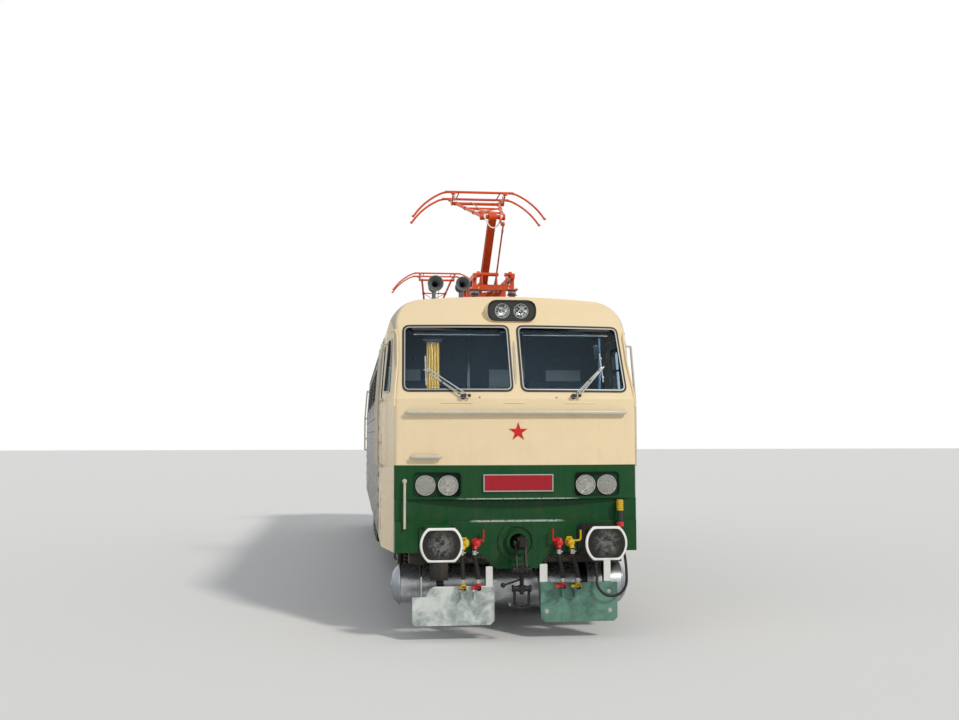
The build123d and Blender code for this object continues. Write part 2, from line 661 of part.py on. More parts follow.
def wiper(x0, z0, x1, z1):
    """A wiper with two parallel arms and an upright blade that lies on the glass."""
    pieces = []
    for shift in (0, WIPER_BAR_GAP):
        start, end = on_face(x0 - shift, z0, WIPER_OFF), on_face(x1 - shift * 0.6, z1, WIPER_OFF)
        pieces.append(rod(start, end, WIPER_BAR_RADIUS))
        pieces.append(rod(on_face(x0 - shift, z0, WIPER_OFF + 8), on_face(x0 - shift, z0, -20), 11))
    pieces.append(rod(on_face(x1 + 12, z1, WIPER_OFF), on_face(x1 - WIPER_BAR_GAP, z1, WIPER_OFF), 9))
    pieces.append(rod(on_face(x1, z1, WIPER_OFF + 4), on_face(x1, z1, BLADE_OFF), 6))
    pieces.append(rod(on_face(x1, z1 - BLADE_HALF, BLADE_OFF), on_face(x1, z1 + BLADE_HALF, BLADE_OFF),
                      BLADE_RADIUS))
    plate = rod(on_face(x0 - WIPER_BAR_GAP / 2, z0, 10), on_face(x0 - WIPER_BAR_GAP / 2, z0, -20), 34)
    return cut(fused(*pieces, plate), brow_panel)


brow_panel = layer(cab_skin, cab_inner, box_between(-1300, 1300, NOSE_Y - 100, NOSE_Y + 400,
                                                    RAIL + 2400, SCREEN_LOW_Z))
wipers = [wiper(*ends) for ends in WIPER_PIVOTS]
save(compound_of(*wipers, *[rear_copy(arm) for arm in wipers]), "wipers")

# Buffers, draw hooks and screw couplings
BUFFER_X = 875
BUFFER_Z = RAIL + 1060
BUFFER_FACE_Y = END_Y
BUFFER_PLATE = (450, 355, 22)
BUFFER_FLANGE = (400, 340, 26)
BUFFER_CASE_RADIUS = 112
BUFFER_CASE_LENGTH = 270
BUFFER_PLUNGER_RADIUS = 84
FRONT_SEAT_Y = BEAM_FACE_Y - CLEAR

with BuildPart() as buffer:
    with BuildSketch(cross_plane(FRONT_SEAT_Y)):
        RectangleRounded(BUFFER_FLANGE[0], BUFFER_FLANGE[1], 40)
    extrude(amount=BUFFER_FLANGE[2])
    with BuildSketch(cross_plane(FRONT_SEAT_Y - BUFFER_FLANGE[2])):
        Circle(BUFFER_CASE_RADIUS)
    extrude(amount=BUFFER_CASE_LENGTH, taper=3)
    with BuildSketch(cross_plane(FRONT_SEAT_Y - BUFFER_FLANGE[2])):
        Circle(BUFFER_PLUNGER_RADIUS)
    extrude(amount=FRONT_SEAT_Y - BUFFER_FLANGE[2] - BUFFER_FACE_Y - BUFFER_PLATE[2])
    with BuildSketch(cross_plane(BUFFER_FACE_Y + BUFFER_PLATE[2])):
        Circle(BUFFER_PLATE[0] / 2)
        Rectangle(BUFFER_PLATE[0], BUFFER_PLATE[1], mode=Mode.INTERSECT)
    extrude(amount=BUFFER_PLATE[2])
    chamfer(faces().sort_by(Axis.Y)[0].edges(), length=8)
buffers = [Pos(side * BUFFER_X, 0, BUFFER_Z) * buffer.part for side in (-1, 1)]
save(compound_of(*buffers, *[rear_copy(piece) for piece in buffers]), "buffers")

HOOK_HALF = 30
HOOK_TAIL_Y = END_Y + 670
HOOK_OUTLINE = ((120, 78), (180, 96), (180, 45), (210, 18), (250, 22), (275, 62), (385, 62), (410, 35),
                (670, 35), (670, -35), (410, -35), (310, -52), (180, -60), (125, -20))
HOOK_PIN_Y = END_Y + 330
HOOK_PIN_RADIUS = 20
BEAM_BACK_Y = -(BEAM_END_Y - BEAM_DEPTH)

with BuildPart() as hook:
    with BuildSketch(Plane.YZ):
        with BuildLine():
            Polyline(*[(END_Y + back, HOOK_Z + up) for back, up in HOOK_OUTLINE], close=True)
        make_face()
        with Locations((HOOK_PIN_Y, HOOK_Z)):
            Circle(HOOK_PIN_RADIUS + CLEAR, mode=Mode.SUBTRACT)
    extrude(amount=HOOK_HALF, both=True)
    with BuildSketch(cross_plane(HOOK_TAIL_Y)):
        with Locations((0, HOOK_Z)):
            Circle(40)
    extrude(amount=HOOK_TAIL_Y - BEAM_BACK_Y - 40)
    with BuildSketch(cross_plane(BEAM_BACK_Y + CLEAR)):
        with Locations((0, HOOK_Z)):
            RectangleRounded(260, 260, 30)
    extrude(amount=-36)
save(compound_of(hook.part, rear_copy(hook.part)), "draw_hooks")

LINK_X = (40, 62)
TRUNNION_Z = (HOOK_Z - 270, HOOK_Z - 470)
TRUNNION_Y = END_Y + 230
TRUNNION_HALF = 98
BOW_Z = RAIL + 365

with BuildPart() as coupling:
    add(rod((-LINK_X[1] - 14, HOOK_PIN_Y, HOOK_Z), (LINK_X[1] + 14, HOOK_PIN_Y, HOOK_Z), HOOK_PIN_RADIUS))
    for side in (-1, 1):
        with BuildSketch(Plane.YZ.offset(side * LINK_X[0])):
            with BuildLine():
                Polyline((HOOK_PIN_Y - 30, HOOK_Z + 22), (HOOK_PIN_Y + 24, HOOK_Z + 22),
                         (HOOK_PIN_Y + 30, HOOK_Z - 24), (TRUNNION_Y + 34, TRUNNION_Z[0] - 30),
                         (TRUNNION_Y - 34, TRUNNION_Z[0] - 30), (TRUNNION_Y - 28, TRUNNION_Z[0] + 34),
                         close=True)
            make_face()
        extrude(amount=side * (LINK_X[1] - LINK_X[0]))
    for z in TRUNNION_Z:
        add(rod((-TRUNNION_HALF, TRUNNION_Y, z), (TRUNNION_HALF, TRUNNION_Y, z), 30))
    add(rod((0, TRUNNION_Y, TRUNNION_Z[0] + 40), (0, TRUNNION_Y, TRUNNION_Z[1] - 60), 22))
    add(rod((0, TRUNNION_Y, TRUNNION_Z[0] - 100), (-190, TRUNNION_Y, TRUNNION_Z[0] - 160), 11))
    with Locations((-200, TRUNNION_Y, TRUNNION_Z[0] - 163)):
        Sphere(27)
    bow_x = TRUNNION_HALF - 20
    add(bent_bar([(-bow_x, TRUNNION_Y, TRUNNION_Z[1]), (-bow_x, TRUNNION_Y, BOW_Z),
                  (bow_x, TRUNNION_Y, BOW_Z), (bow_x, TRUNNION_Y, TRUNNION_Z[1])], 16, 60))
save(compound_of(coupling.part, rear_copy(coupling.part)), "screw_couplings")

# Brake cocks, hoses and their heads
COCK_Z = RAIL + 1030
COCK_LENGTH = 125
RED_COCKS = ((-455, -485), (455, 441))
YELLOW_COCKS = ((-580, -623), (580, 589))
COCK_RADIUS = 36
HOSE_DIAMETER = 45
HOSE_TOP_Z = RAIL + 965
HEAD_Z = (RAIL + 545, RAIL + 605)
HOSE_Y = END_Y + 410


def brake_cock(x, hose_x, lever_side):
    """An end cock with its elbow down to the hose and a lever beside it."""
    front_y = FRONT_SEAT_Y - COCK_LENGTH
    pieces = [rod((x, FRONT_SEAT_Y, COCK_Z), (x, front_y, COCK_Z), COCK_RADIUS),
              rod((x, FRONT_SEAT_Y, COCK_Z), (x, FRONT_SEAT_Y - 18, COCK_Z), COCK_RADIUS + 16),
              rod((x, front_y + 30, COCK_Z), (hose_x, HOSE_Y, HOSE_TOP_Z), 27)]
    if lever_side:
        x0, x1 = sorted((x, x + lever_side * 80))
        pieces.append(box_between(x0, x1, front_y + 30, front_y + 50, COCK_Z + 18, COCK_Z + 44))
        x0, x1 = sorted((x + lever_side * 66, x + lever_side * 80))
        pieces.append(box_between(x0, x1, front_y + 24, front_y + 56, COCK_Z + 18, COCK_Z + 150))
    else:
        pieces.append(rod((x, front_y + 45, COCK_Z), (x, front_y + 45, COCK_Z + 62), 12))
        pieces.append(box_between(x - 45, x + 12, front_y + 34, front_y + 56, COCK_Z + 50, COCK_Z + 66))
    level = box_between(x - 120, x + 120, HOSE_Y - 120, HOSE_Y + 130, HOSE_TOP_Z - 90, HOSE_TOP_Z)
    return cut(fused(*pieces), level)


red = [brake_cock(x, hose_x, -x / abs(x)) for x, hose_x in RED_COCKS]
yellow = [brake_cock(x, hose_x, 0) for x, hose_x in YELLOW_COCKS]
save(compound_of(*red, *[rear_copy(cock) for cock in red]), "red_brake_cocks")
save(compound_of(*yellow, *[rear_copy(cock) for cock in yellow]), "yellow_brake_cocks")


def cord_radii(name, points):
    """Bend radius at each inner point of a cord, the tightest that its runs leave room for."""
    radii = []
    for before, spot, after in zip(points, points[1:], points[2:]):
        one = Vector(*spot) - Vector(*before)
        two = Vector(*after) - Vector(*spot)
        half_turn = radians(one.get_angle(two)) / 2
        radii.append(round(0.45 * min(one.length, two.length) / tan(half_turn), 1))
    print(name, radii)
    return radii


def cord(name, points, diameter):
    """A flexible tube of straight runs and tangent arcs."""
    with BuildPart() as tube:
        with BuildLine() as path:
            FilletPolyline(*points, radius=cord_radii(name, points))
        with BuildSketch(Plane(path.line @ 0, z_dir=path.line % 0)):
            Circle(diameter / 2)
        sweep()
    return tube.part


# Name, then x of the hose at its cock, x where it hangs, and x of its head
HOSES = (("hose_red_left", -485, -445, -484), ("hose_yellow_left", -623, -608, -622),
         ("hose_red_right", 441, 480, 423), ("hose_yellow_right", 589, 646, 600))
HOSE_BEND_Z = (HOSE_TOP_Z - 85, HOSE_TOP_Z - 230)
heads = []
for name, x_top, x_end, x_head in HOSES:
    route = [(x_top, HOSE_Y, HOSE_TOP_Z - CLEAR), (x_top, HOSE_Y, HOSE_BEND_Z[0]),
             (x_end, HOSE_Y, HOSE_BEND_Z[1]), (x_end, HOSE_Y, HEAD_Z[1] + CLEAR)]
    save(cord(name, route, HOSE_DIAMETER), name)
    x0, x1 = sorted((x_head, x_end))
    head = fused(rod((x_end, HOSE_Y, HEAD_Z[0]), (x_end, HOSE_Y, HEAD_Z[1]), 28),
                 box_between(x0 - 30, x1 + 30, HOSE_Y - 26, HOSE_Y + 22, HEAD_Z[0], HEAD_Z[0] + 36))
    heads.append(head)
save(compound_of(*heads), "hose_heads")

JUMPER_X = 1138
JUMPER_Y = END_Y + 465
JUMPER_Z = (RAIL + 1190, RAIL + 1490)
JUMPER_RADIUS = 30
CABLE_DIAMETER = 30
CLIP_X = 860
CLIP_Z = RAIL + 845

with BuildPart() as plug:
    add(rod((JUMPER_X, JUMPER_Y, JUMPER_Z[0]), (JUMPER_X, JUMPER_Y, JUMPER_Z[1] - 120), JUMPER_RADIUS))
    add(rod((JUMPER_X, JUMPER_Y, JUMPER_Z[0] + 10), (JUMPER_X, JUMPER_Y, JUMPER_Z[0] + 56),
            JUMPER_RADIUS + 9))
    add(box_between(JUMPER_X - 48, JUMPER_X + 48, JUMPER_Y - 45, APRON_Y - CLEAR, JUMPER_Z[1] - 120,
                    JUMPER_Z[1]))
    fillet(plug.edges().filter_by(Axis.Y).group_by(Axis.Z)[-1], radius=18)
clip = fused(box_between(CLIP_X - 30, CLIP_X + 30, JUMPER_Y, -BEAM_END_Y - CLEAR, CLIP_Z + 10, CLIP_Z + 40),
             rod((CLIP_X, JUMPER_Y, CLIP_Z), (CLIP_X, JUMPER_Y, CLIP_Z + 60), 26))
save(compound_of(plug.part, clip), "jumper_plug")

LOOP_X = (CLIP_X, 957, 1093, 1190)
LOOP_Z = (RAIL + 450, RAIL + 548)
cable_route = [(JUMPER_X, JUMPER_Y, JUMPER_Z[0] - CLEAR), (JUMPER_X, JUMPER_Y, RAIL + 1105),
               (1163, JUMPER_Y - 14, RAIL + 975), (1186, JUMPER_Y - 30, RAIL + 840),
               (1193, JUMPER_Y - 44, RAIL + 695), (LOOP_X[3], JUMPER_Y - 54, LOOP_Z[1]),
               (LOOP_X[2], JUMPER_Y - 60, LOOP_Z[0]), (LOOP_X[1], JUMPER_Y - 60, LOOP_Z[0]),
               (LOOP_X[0], JUMPER_Y - 44, LOOP_Z[1]), (CLIP_X + 8, JUMPER_Y - 14, RAIL + 672),
               (CLIP_X, JUMPER_Y, RAIL + 760), (CLIP_X, JUMPER_Y, CLIP_Z - CLEAR)]
save(cord("jumper_cable", cable_route, CABLE_DIAMETER), "jumper_cable")

# Snow ploughs and air reservoirs
PLOUGH_Y = END_Y + 520
PLOUGH_PLATE = 12
PLOUGH_BACK_Y = END_Y + 770
PLOUGH_LEFT = ((-1150, RAIL + 180), (-1120, RAIL + 146), (-300, RAIL + 146), (-256, RAIL + 190),
               (-256, RAIL + 552), (-275, RAIL + 552), (-275, RAIL + 775), (-350, RAIL + 775),
               (-350, RAIL + 552), (-700, RAIL + 552), (-760, RAIL + 437), (-1150, RAIL + 437))
PLOUGH_RIGHT = ((253, RAIL + 210), (300, RAIL + 164), (1070, RAIL + 164), (1110, RAIL + 204),
                (1110, RAIL + 588), (1035, RAIL + 588), (1035, RAIL + 835), (958, RAIL + 835),
                (958, RAIL + 588), (328, RAIL + 588), (328, RAIL + 795), (243, RAIL + 795),
                (243, RAIL + 588), (253, RAIL + 580))
GUSSET_X = {-1: (-345, -1060), 1: (250, 980)}
GUSSET_THICKNESS = 14


def plough(outline, side):
    """A flat plough plate with its gussets up to the buffer beam and the rests for hose heads."""
    low = outline[0][1] + 80
    pieces = [prism_y(outline, PLOUGH_Y - PLOUGH_PLATE, PLOUGH_Y)]
    gusset = [(PLOUGH_Y - 1, low), (PLOUGH_Y - 1, BEAM_BOTTOM_Z - 130),
              (-BEAM_END_Y + 70, BEAM_BOTTOM_Z - CLEAR), (PLOUGH_BACK_Y, BEAM_BOTTOM_Z - CLEAR),
              (PLOUGH_BACK_Y, BEAM_BOTTOM_Z - 60)]
    for x in GUSSET_X[side]:
        pieces.append(prism_x(gusset, x, x + GUSSET_THICKNESS))
        pieces.append(box_between(x - 50, x + GUSSET_THICKNESS + 50, -BEAM_END_Y + 50, PLOUGH_BACK_Y,
                                  BEAM_BOTTOM_Z - 16, BEAM_BOTTOM_Z - CLEAR))
    for *_, x_head in HOSES:
        if x_head * side > 0:
            pieces.append(box_between(x_head - 26, x_head + 26, HOSE_Y - 30, PLOUGH_Y, HEAD_Z[0] - 24,
                                      HEAD_Z[0] - CLEAR))
            pieces.append(box_between(x_head - 8, x_head + 8, HOSE_Y + 10, PLOUGH_Y, HEAD_Z[0] - 110,
                                      HEAD_Z[0] - 10))
    return fused(*pieces)


ploughs = [plough(PLOUGH_LEFT, -1), plough(PLOUGH_RIGHT, 1)]
save(compound_of(*ploughs, *[rear_copy(plate) for plate in ploughs]), "snow_ploughs")

RESERVOIR_Y = END_Y + 1130
RESERVOIR_Z = RAIL + 515
RESERVOIR_RADIUS = 228
RESERVOIR_HALF = 1350
RESERVOIR_DOME = 90
RESERVOIR_EYE = 30
STRAP_X = (-820, 820)
STRAP_HALF = 40

with BuildPart() as reservoir:
    with BuildSketch(Plane.XY):
        with BuildLine():
            shoulder_x = RESERVOIR_HALF - RESERVOIR_DOME
            knuckle_x = RESERVOIR_HALF - RESERVOIR_DOME * 0.3
            Polyline((RESERVOIR_HALF, RESERVOIR_EYE), (RESERVOIR_HALF, 0), (-RESERVOIR_HALF, 0),
                     (-RESERVOIR_HALF, RESERVOIR_EYE))
            ThreePointArc((-RESERVOIR_HALF, RESERVOIR_EYE), (-knuckle_x, RESERVOIR_RADIUS * 0.72),
                          (-shoulder_x, RESERVOIR_RADIUS))
            Line((-shoulder_x, RESERVOIR_RADIUS), (shoulder_x, RESERVOIR_RADIUS))
            ThreePointArc((shoulder_x, RESERVOIR_RADIUS), (knuckle_x, RESERVOIR_RADIUS * 0.72),
                          (RESERVOIR_HALF, RESERVOIR_EYE))
        make_face()
    revolve(axis=Axis.X)
tank = Pos(0, RESERVOIR_Y, RESERVOIR_Z) * reservoir.part
straps = []
for x in STRAP_X:
    band = rod((x - STRAP_HALF, RESERVOIR_Y, RESERVOIR_Z), (x + STRAP_HALF, RESERVOIR_Y, RESERVOIR_Z),
               RESERVOIR_RADIUS + 8)
    hanger = box_between(x - STRAP_HALF, x + STRAP_HALF, RESERVOIR_Y - 60, RESERVOIR_Y + 60, RESERVOIR_Z,
                         DECK_BOTTOM_Z - CLEAR)
    straps.extend([band, hanger])
tank = fused(tank, *straps)
save(compound_of(tank, rear_copy(tank)), "main_reservoirs")

# Underfloor equipment
TRANSFORMER = (850, 1200, RAIL + 400)
BOX_X = (950, 1390)
BOX_Y = ((-1550, -420), (-380, 480), (520, 1550))
BOX_BOTTOM_Z = RAIL + 450

with BuildPart() as transformer:
    half_x, half_y, bottom = TRANSFORMER
    add(box_between(-half_x, half_x, -half_y, half_y, bottom, DECK_BOTTOM_Z - CLEAR))
    chamfer(transformer.edges().filter_by(Axis.Y).group_by(Axis.Z)[0], length=120)
    for y in range(-1080, 1081, 180):
        for side in (-1, 1):
            x0, x1 = sorted((side * (half_x - 1), side * (half_x + 40)))
            add(box_between(x0, x1, y - 12, y + 12, bottom + 180, DECK_BOTTOM_Z - 60))
save(transformer.part, "transformer")

boxes = []
for y0, y1 in BOX_Y:
    for side in (-1, 1):
        with BuildPart() as equipment_box:
            add(box_between(*sorted((side * BOX_X[0], side * BOX_X[1])), y0, y1, BOX_BOTTOM_Z,
                            DECK_BOTTOM_Z - CLEAR))
            fillet(equipment_box.edges().filter_by(Axis.Y), radius=20)
            add(box_between(*sorted((side * (BOX_X[1] - 1), side * (BOX_X[1] + 8))), y0 + 60, y1 - 60,
                            BOX_BOTTOM_Z + 50, SKIRT_BOTTOM_Z - 40))
        boxes.append(equipment_box.part)
save(compound_of(*boxes), "underfloor_boxes")

# Cab interiors
FLOOR_SEAT_Z = FLOOR_TOP_Z + CLEAR
DESK_HALF = 1130
DESK_TOP_Z = RAIL + 2560
DESK_FRONT_Y = END_Y + 670
DESK_PROFILE = ((0, FLOOR_SEAT_Z), (0, DESK_TOP_Z - 20), (140, DESK_TOP_Z), (370, DESK_TOP_Z - 110),
                (410, DESK_TOP_Z - 190), (260, DESK_TOP_Z - 250), (220, FLOOR_SEAT_Z))
SEAT_X = 480
SEAT_Y = (END_Y + 1380, END_Y + 1850)
SEAT_HALF = 215
SEAT_Z = RAIL + 2150

desk = prism_x([(DESK_FRONT_Y + back, z) for back, z in DESK_PROFILE], -DESK_HALF, DESK_HALF)
save(compound_of(desk, rear_copy(desk)), "driver_desks")

seats = []
for side in (-1, 1):
    x = side * SEAT_X
    middle = (SEAT_Y[0] + SEAT_Y[1]) / 2
    with BuildPart() as seat:
        add(rod((x, middle, FLOOR_SEAT_Z), (x, middle, SEAT_Z - 100), 45))
        add(rod((x, middle, FLOOR_SEAT_Z), (x, middle, FLOOR_SEAT_Z + 20), 190))
        add(box_between(x - SEAT_HALF, x + SEAT_HALF, SEAT_Y[0], SEAT_Y[1], SEAT_Z - 110, SEAT_Z))
        add(prism_x([(SEAT_Y[1] - 120, SEAT_Z - 20), (SEAT_Y[1] - 20, SEAT_Z + 620),
                     (SEAT_Y[1] + 60, SEAT_Z + 610), (SEAT_Y[1] + 10, SEAT_Z - 60)],
                    x - SEAT_HALF, x + SEAT_HALF))
        fillet(seat.edges().filter_by(Axis.X).group_by(Axis.Z)[-1], radius=25)
    seats.append(seat.part)
save(compound_of(*seats, *[rear_copy(piece) for piece in seats]), "cab_seats")

# Doors
HANDLE_Z = RAIL + 2120


def make_door():
    """Front left cab door, closed, leaning in with the side above the waist."""
    sill, top = DOOR_SILL_Z + RUNNING_GAP, DOOR_TOP_Z - RUNNING_GAP
    front, back = DOOR_FRONT_Y + DOOR_FRONT_GAP, DOOR_BACK_Y - RUNNING_GAP
    outer = [(-wall_x(z) + 3, z) for z in (sill, WAIST_Z, top)]
    inner = [(x + DOOR_THICKNESS, z) for x, z in reversed(outer)]
    leaf = prism_y(outer + inner, front, back)
    window = [(front + DOOR_WINDOW_MARGIN, DOOR_WINDOW_Z[0]), (back - DOOR_WINDOW_MARGIN, DOOR_WINDOW_Z[0]),
              (back - DOOR_WINDOW_MARGIN, DOOR_WINDOW_Z[1]), (front + DOOR_WINDOW_MARGIN, DOOR_WINDOW_Z[1])]
    leaf = cut(leaf, prism_x(window, -1600, -1200))
    handle_x = -BODY_HALF_WIDTH - 28
    handle = rod((handle_x, front + 60, HANDLE_Z), (handle_x, front + 190, HANDLE_Z), 11)
    stem = rod((handle_x, front + 75, HANDLE_Z), (-BODY_HALF_WIDTH + 20, front + 75, HANDLE_Z), 12)
    knuckles = []
    pins = []
    for z in HINGE_Z:
        low, high = z - KNUCKLE_HALF, z + KNUCKLE_HALF
        knuckles.append(rod((DOOR_HINGE_X, DOOR_HINGE_Y, low), (DOOR_HINGE_X, DOOR_HINGE_Y, high),
                            KNUCKLE_RADIUS))
        knuckles.append(box_between(-wall_x(z) + DOOR_THICKNESS, DOOR_HINGE_X, DOOR_HINGE_Y - 12,
                                    DOOR_HINGE_Y + 2, low, high))
        pins.append(rod((DOOR_HINGE_X, DOOR_HINGE_Y, low - 1), (DOOR_HINGE_X, DOOR_HINGE_Y, high + 1),
                        HINGE_PIN_RADIUS + SHAFT_CLEAR))
    return cut(fused(leaf, handle, stem, *knuckles), *pins)


front_left_door = make_door()
front_right_door = mirror(front_left_door, about=Plane.YZ)
save(front_left_door, "front_left_door")
save(front_right_door, "front_right_door")
save(rear_copy(front_right_door), "rear_left_door")
save(rear_copy(front_left_door), "rear_right_door")

# Horns, insulators and busbar on the roof
HORNS = ((-837, 94), (-510, 85))
HORN_Z = RAIL + 4000
HORN_MOUTH_Y = END_Y + 1410
HORN_THROAT_Y = END_Y + 1650
HORN_BACK_Y = END_Y + 1750


def roof_z(x):
    """Height of the bare roof at x."""
    return ROOF_TOP_Z - (ROOF_TOP_Z - CROWN_Z) * (x / CROWN_HALF_WIDTH) ** 2


def horn(x, mouth):
    """An air horn on its bracket."""
    with BuildPart() as piece:
        with BuildSketch(Plane.YZ):
            with BuildLine():
                Polyline((HORN_MOUTH_Y, mouth), (HORN_MOUTH_Y + 12, mouth), (HORN_MOUTH_Y + 90, mouth * 0.5),
                         (HORN_THROAT_Y, 26), (HORN_THROAT_Y, 52), (HORN_BACK_Y, 52), (HORN_BACK_Y, 0),
                         (HORN_THROAT_Y + 20, 0), (HORN_THROAT_Y + 20, 18), (HORN_MOUTH_Y + 90, mouth * 0.4),
                         (HORN_MOUTH_Y, mouth - 6), close=True)
            make_face()
        revolve(axis=Axis.Y)
    bell = Pos(x, 0, HORN_Z) * piece.part
    column = box_between(x - 16, x + 16, HORN_THROAT_Y + 20, HORN_BACK_Y - 20, roof_z(x) - 40, HORN_Z - 30)
    foot = box_between(x - 60, x + 60, HORN_THROAT_Y - 20, HORN_BACK_Y + 20, roof_z(x) - 40, roof_z(x) + 20)
    return on_mask(fused(bell, column, foot))


horns = [horn(x, mouth) for x, mouth in HORNS]
save(compound_of(*horns, *[rear_copy(piece) for piece in horns]), "horns")

BASE_Z = (RAIL + 4080, RAIL + 4160)
BASE_RAIL_X = 245
BASE_RAIL_HALF = 25
BASE_RAIL_Z = (RAIL + 4225, RAIL + 4290)
BASE_FOOT_HALF = 70
BASE_END_Y = (END_Y + 2470, END_Y + 4070)
BASE_FOOT_Y = (END_Y + 2570, END_Y + 3970)
INSULATOR_RADIUS = 72
INSULATOR_CORE = 46
SHEDS = 4
BUSBAR_Z = RAIL + 4110
BUSBAR_RADIUS = 20
BUSBAR_FOOT_Y = (-3600, -1200, 1200, 3600)

roof_skin = fused(extrude(roof_sketch(-CLEAR, SHOULDER_Z), amount=-2 * ROOM_END_Y),
                  *[box_between(-HATCH_HALF[0] - CLEAR, HATCH_HALF[0] + CLEAR, y - HATCH_HALF[1] - CLEAR,
                                y + HATCH_HALF[1] + CLEAR, ROOF_TOP_Z - HATCH_ROOT,
                                ROOF_TOP_Z + HATCH_HEIGHT + CLEAR) for y in HATCH_Y])


def insulator(x, y, top):
    """A ribbed post insulator from the roof up to top."""
    low = roof_z(x) - 30
    with BuildPart() as post:
        with Locations((x, y, (low + top) / 2)):
            Cylinder(INSULATOR_CORE, top - low)
        pitch = (top - roof_z(x)) / (SHEDS + 1)
        for shed in range(SHEDS):
            with Locations((x, y, roof_z(x) + pitch * (shed + 1))):
                Cone(INSULATOR_RADIUS, INSULATOR_CORE, pitch * 0.5)
    return cut(post.part, roof_skin)


posts = [insulator(x, y, BASE_Z[0] - CLEAR) for x in (-BASE_RAIL_X, BASE_RAIL_X)
         for y in (*BASE_FOOT_Y, -BASE_FOOT_Y[0], -BASE_FOOT_Y[1])]
posts.extend(insulator(0, y, BUSBAR_Z - BUSBAR_RADIUS - CLEAR) for y in BUSBAR_FOOT_Y)
save(compound_of(*posts), "roof_insulators")

# Pantographs, given for the front one
PAN_PIVOT = (END_Y + 3730, RAIL + 4280)
PAN_KNEE = (END_Y + 2640, RAIL + 5060)
PAN_HEAD = (END_Y + 4380, RAIL + 5600)
ROD_FOOT = (END_Y + 3345, RAIL + 4210)
ROD_TOP = (PAN_KNEE[0] - 190, PAN_KNEE[1] - 130)
ROD_X = 118
ROD_RADIUS = 16
ROD_EYE_HALF = 12
BASE_CROSS_Y = (BASE_FOOT_Y[0], ROD_FOOT[0], PAN_PIVOT[0], BASE_FOOT_Y[1])
BASE_CROSS_HALF = 30
SHAFT_RADIUS = 35
SHAFT_HALF = 205
LUG_X = (160, 190)
ARM_HALF = (62, 50)
ARM_DEPTH = (120, 84)
KNEE_RADIUS = 30
KNEE_HALF = 145
KNEE_EYE_RADIUS = 62
REST_Y = BASE_FOOT_Y[0] + 20
REST_Z = RAIL + 4290
REST_RADIUS = 24
REST_X = (-175, 70)
REST_STUB_X = (150, 205)
REST_DRUM = (40, 38)
PIN_RADIUS = 12

with BuildPart() as base:
    for side in (-1, 1):
        x0, x1 = side * BASE_RAIL_X - BASE_RAIL_HALF, side * BASE_RAIL_X + BASE_RAIL_HALF
        add(box_between(x0, x1, *BASE_END_Y, *BASE_RAIL_Z))
        for y in BASE_CROSS_Y:
            add(box_between(x0, x1, y - BASE_CROSS_HALF, y + BASE_CROSS_HALF, BASE_Z[0], BASE_RAIL_Z[0] + 1))
        for y in BASE_FOOT_Y:
            with Locations((side * BASE_RAIL_X, y, BASE_Z[0] + 7)):
                Box(2 * BASE_FOOT_HALF, 2 * BASE_FOOT_HALF, 14)
    for y in BASE_CROSS_Y:
        with Locations((0, y, BASE_Z[0] + 35)):
            Box(2 * BASE_RAIL_X, 2 * BASE_CROSS_HALF, 70)
    for side in (-1, 1):
        with BuildSketch(Plane.YZ.offset(side * LUG_X[0])):
            Polygon((PAN_PIVOT[0] - 90, BASE_Z[0] + 10), (PAN_PIVOT[0] + 90, BASE_Z[0] + 10),
                    (PAN_PIVOT[0] + 45, PAN_PIVOT[1] + 35), (PAN_PIVOT[0] - 45, PAN_PIVOT[1] + 35),
                    align=None)
            with Locations(PAN_PIVOT):
                Circle(60)
            with Locations(PAN_PIVOT):
                Circle(SHAFT_RADIUS + SHAFT_CLEAR, mode=Mode.SUBTRACT)
        extrude(amount=side * (LUG_X[1] - LUG_X[0]))
    add(rod((REST_X[0], REST_Y, REST_Z), (REST_X[1], REST_Y, REST_Z), REST_RADIUS))
    add(rod((REST_STUB_X[0], REST_Y, REST_Z), (REST_STUB_X[1], REST_Y, REST_Z), REST_RADIUS))
    for x in (REST_X[0] + 30, REST_X[1] - 22, REST_STUB_X[0] + 22):
        add(prism_x([(REST_Y - 50, BASE_Z[0] + 60), (REST_Y + 10, BASE_Z[0] + 60), (REST_Y + 18, REST_Z),
                     (REST_Y - 18, REST_Z)], x - 6, x + 6))
    for x0 in (REST_X[0] - REST_DRUM[1], REST_STUB_X[1]):
        add(rod((x0, REST_Y, REST_Z), (x0 + REST_DRUM[1], REST_Y, REST_Z), REST_DRUM[0]))
    foot_x = ROD_X + ROD_EYE_HALF + RUNNING_GAP
    add(box_between(foot_x, foot_x + 14, ROD_FOOT[0] - 30, ROD_FOOT[0] + 30, BASE_Z[0] + 40,
                    ROD_FOOT[1] + 26))
    add(rod((ROD_X - ROD_EYE_HALF, *ROD_FOOT), (foot_x + 1, *ROD_FOOT), PIN_RADIUS))
save(compound_of(base.part, rear_copy(base.part)), "pantograph_bases")

busbar = rod((0, BASE_CROSS_Y[3] + BASE_CROSS_HALF + CLEAR, BUSBAR_Z),
             (0, -BASE_CROSS_Y[3] - BASE_CROSS_HALF - CLEAR, BUSBAR_Z), BUSBAR_RADIUS)
save(busbar, "roof_busbar")


def spot_at(x, spot):
    """A (y, z) point of the pantograph at x."""
    return (x, spot[0], spot[1])


def side_bar(start, end, depth_start, depth_end, x0, x1):
    """A tapered flat bar between two (y, z) points, from x0 to x1."""
    run = Vector(end[0] - start[0], end[1] - start[1]).normalized()
    across = Vector(-run.Y, run.X)
    corners = [Vector(*start) + across * (depth_start / 2), Vector(*start) - across * (depth_start / 2),
               Vector(*end) - across * (depth_end / 2), Vector(*end) + across * (depth_end / 2)]
    return prism_x([(point.X, point.Y) for point in corners], x0, x1)


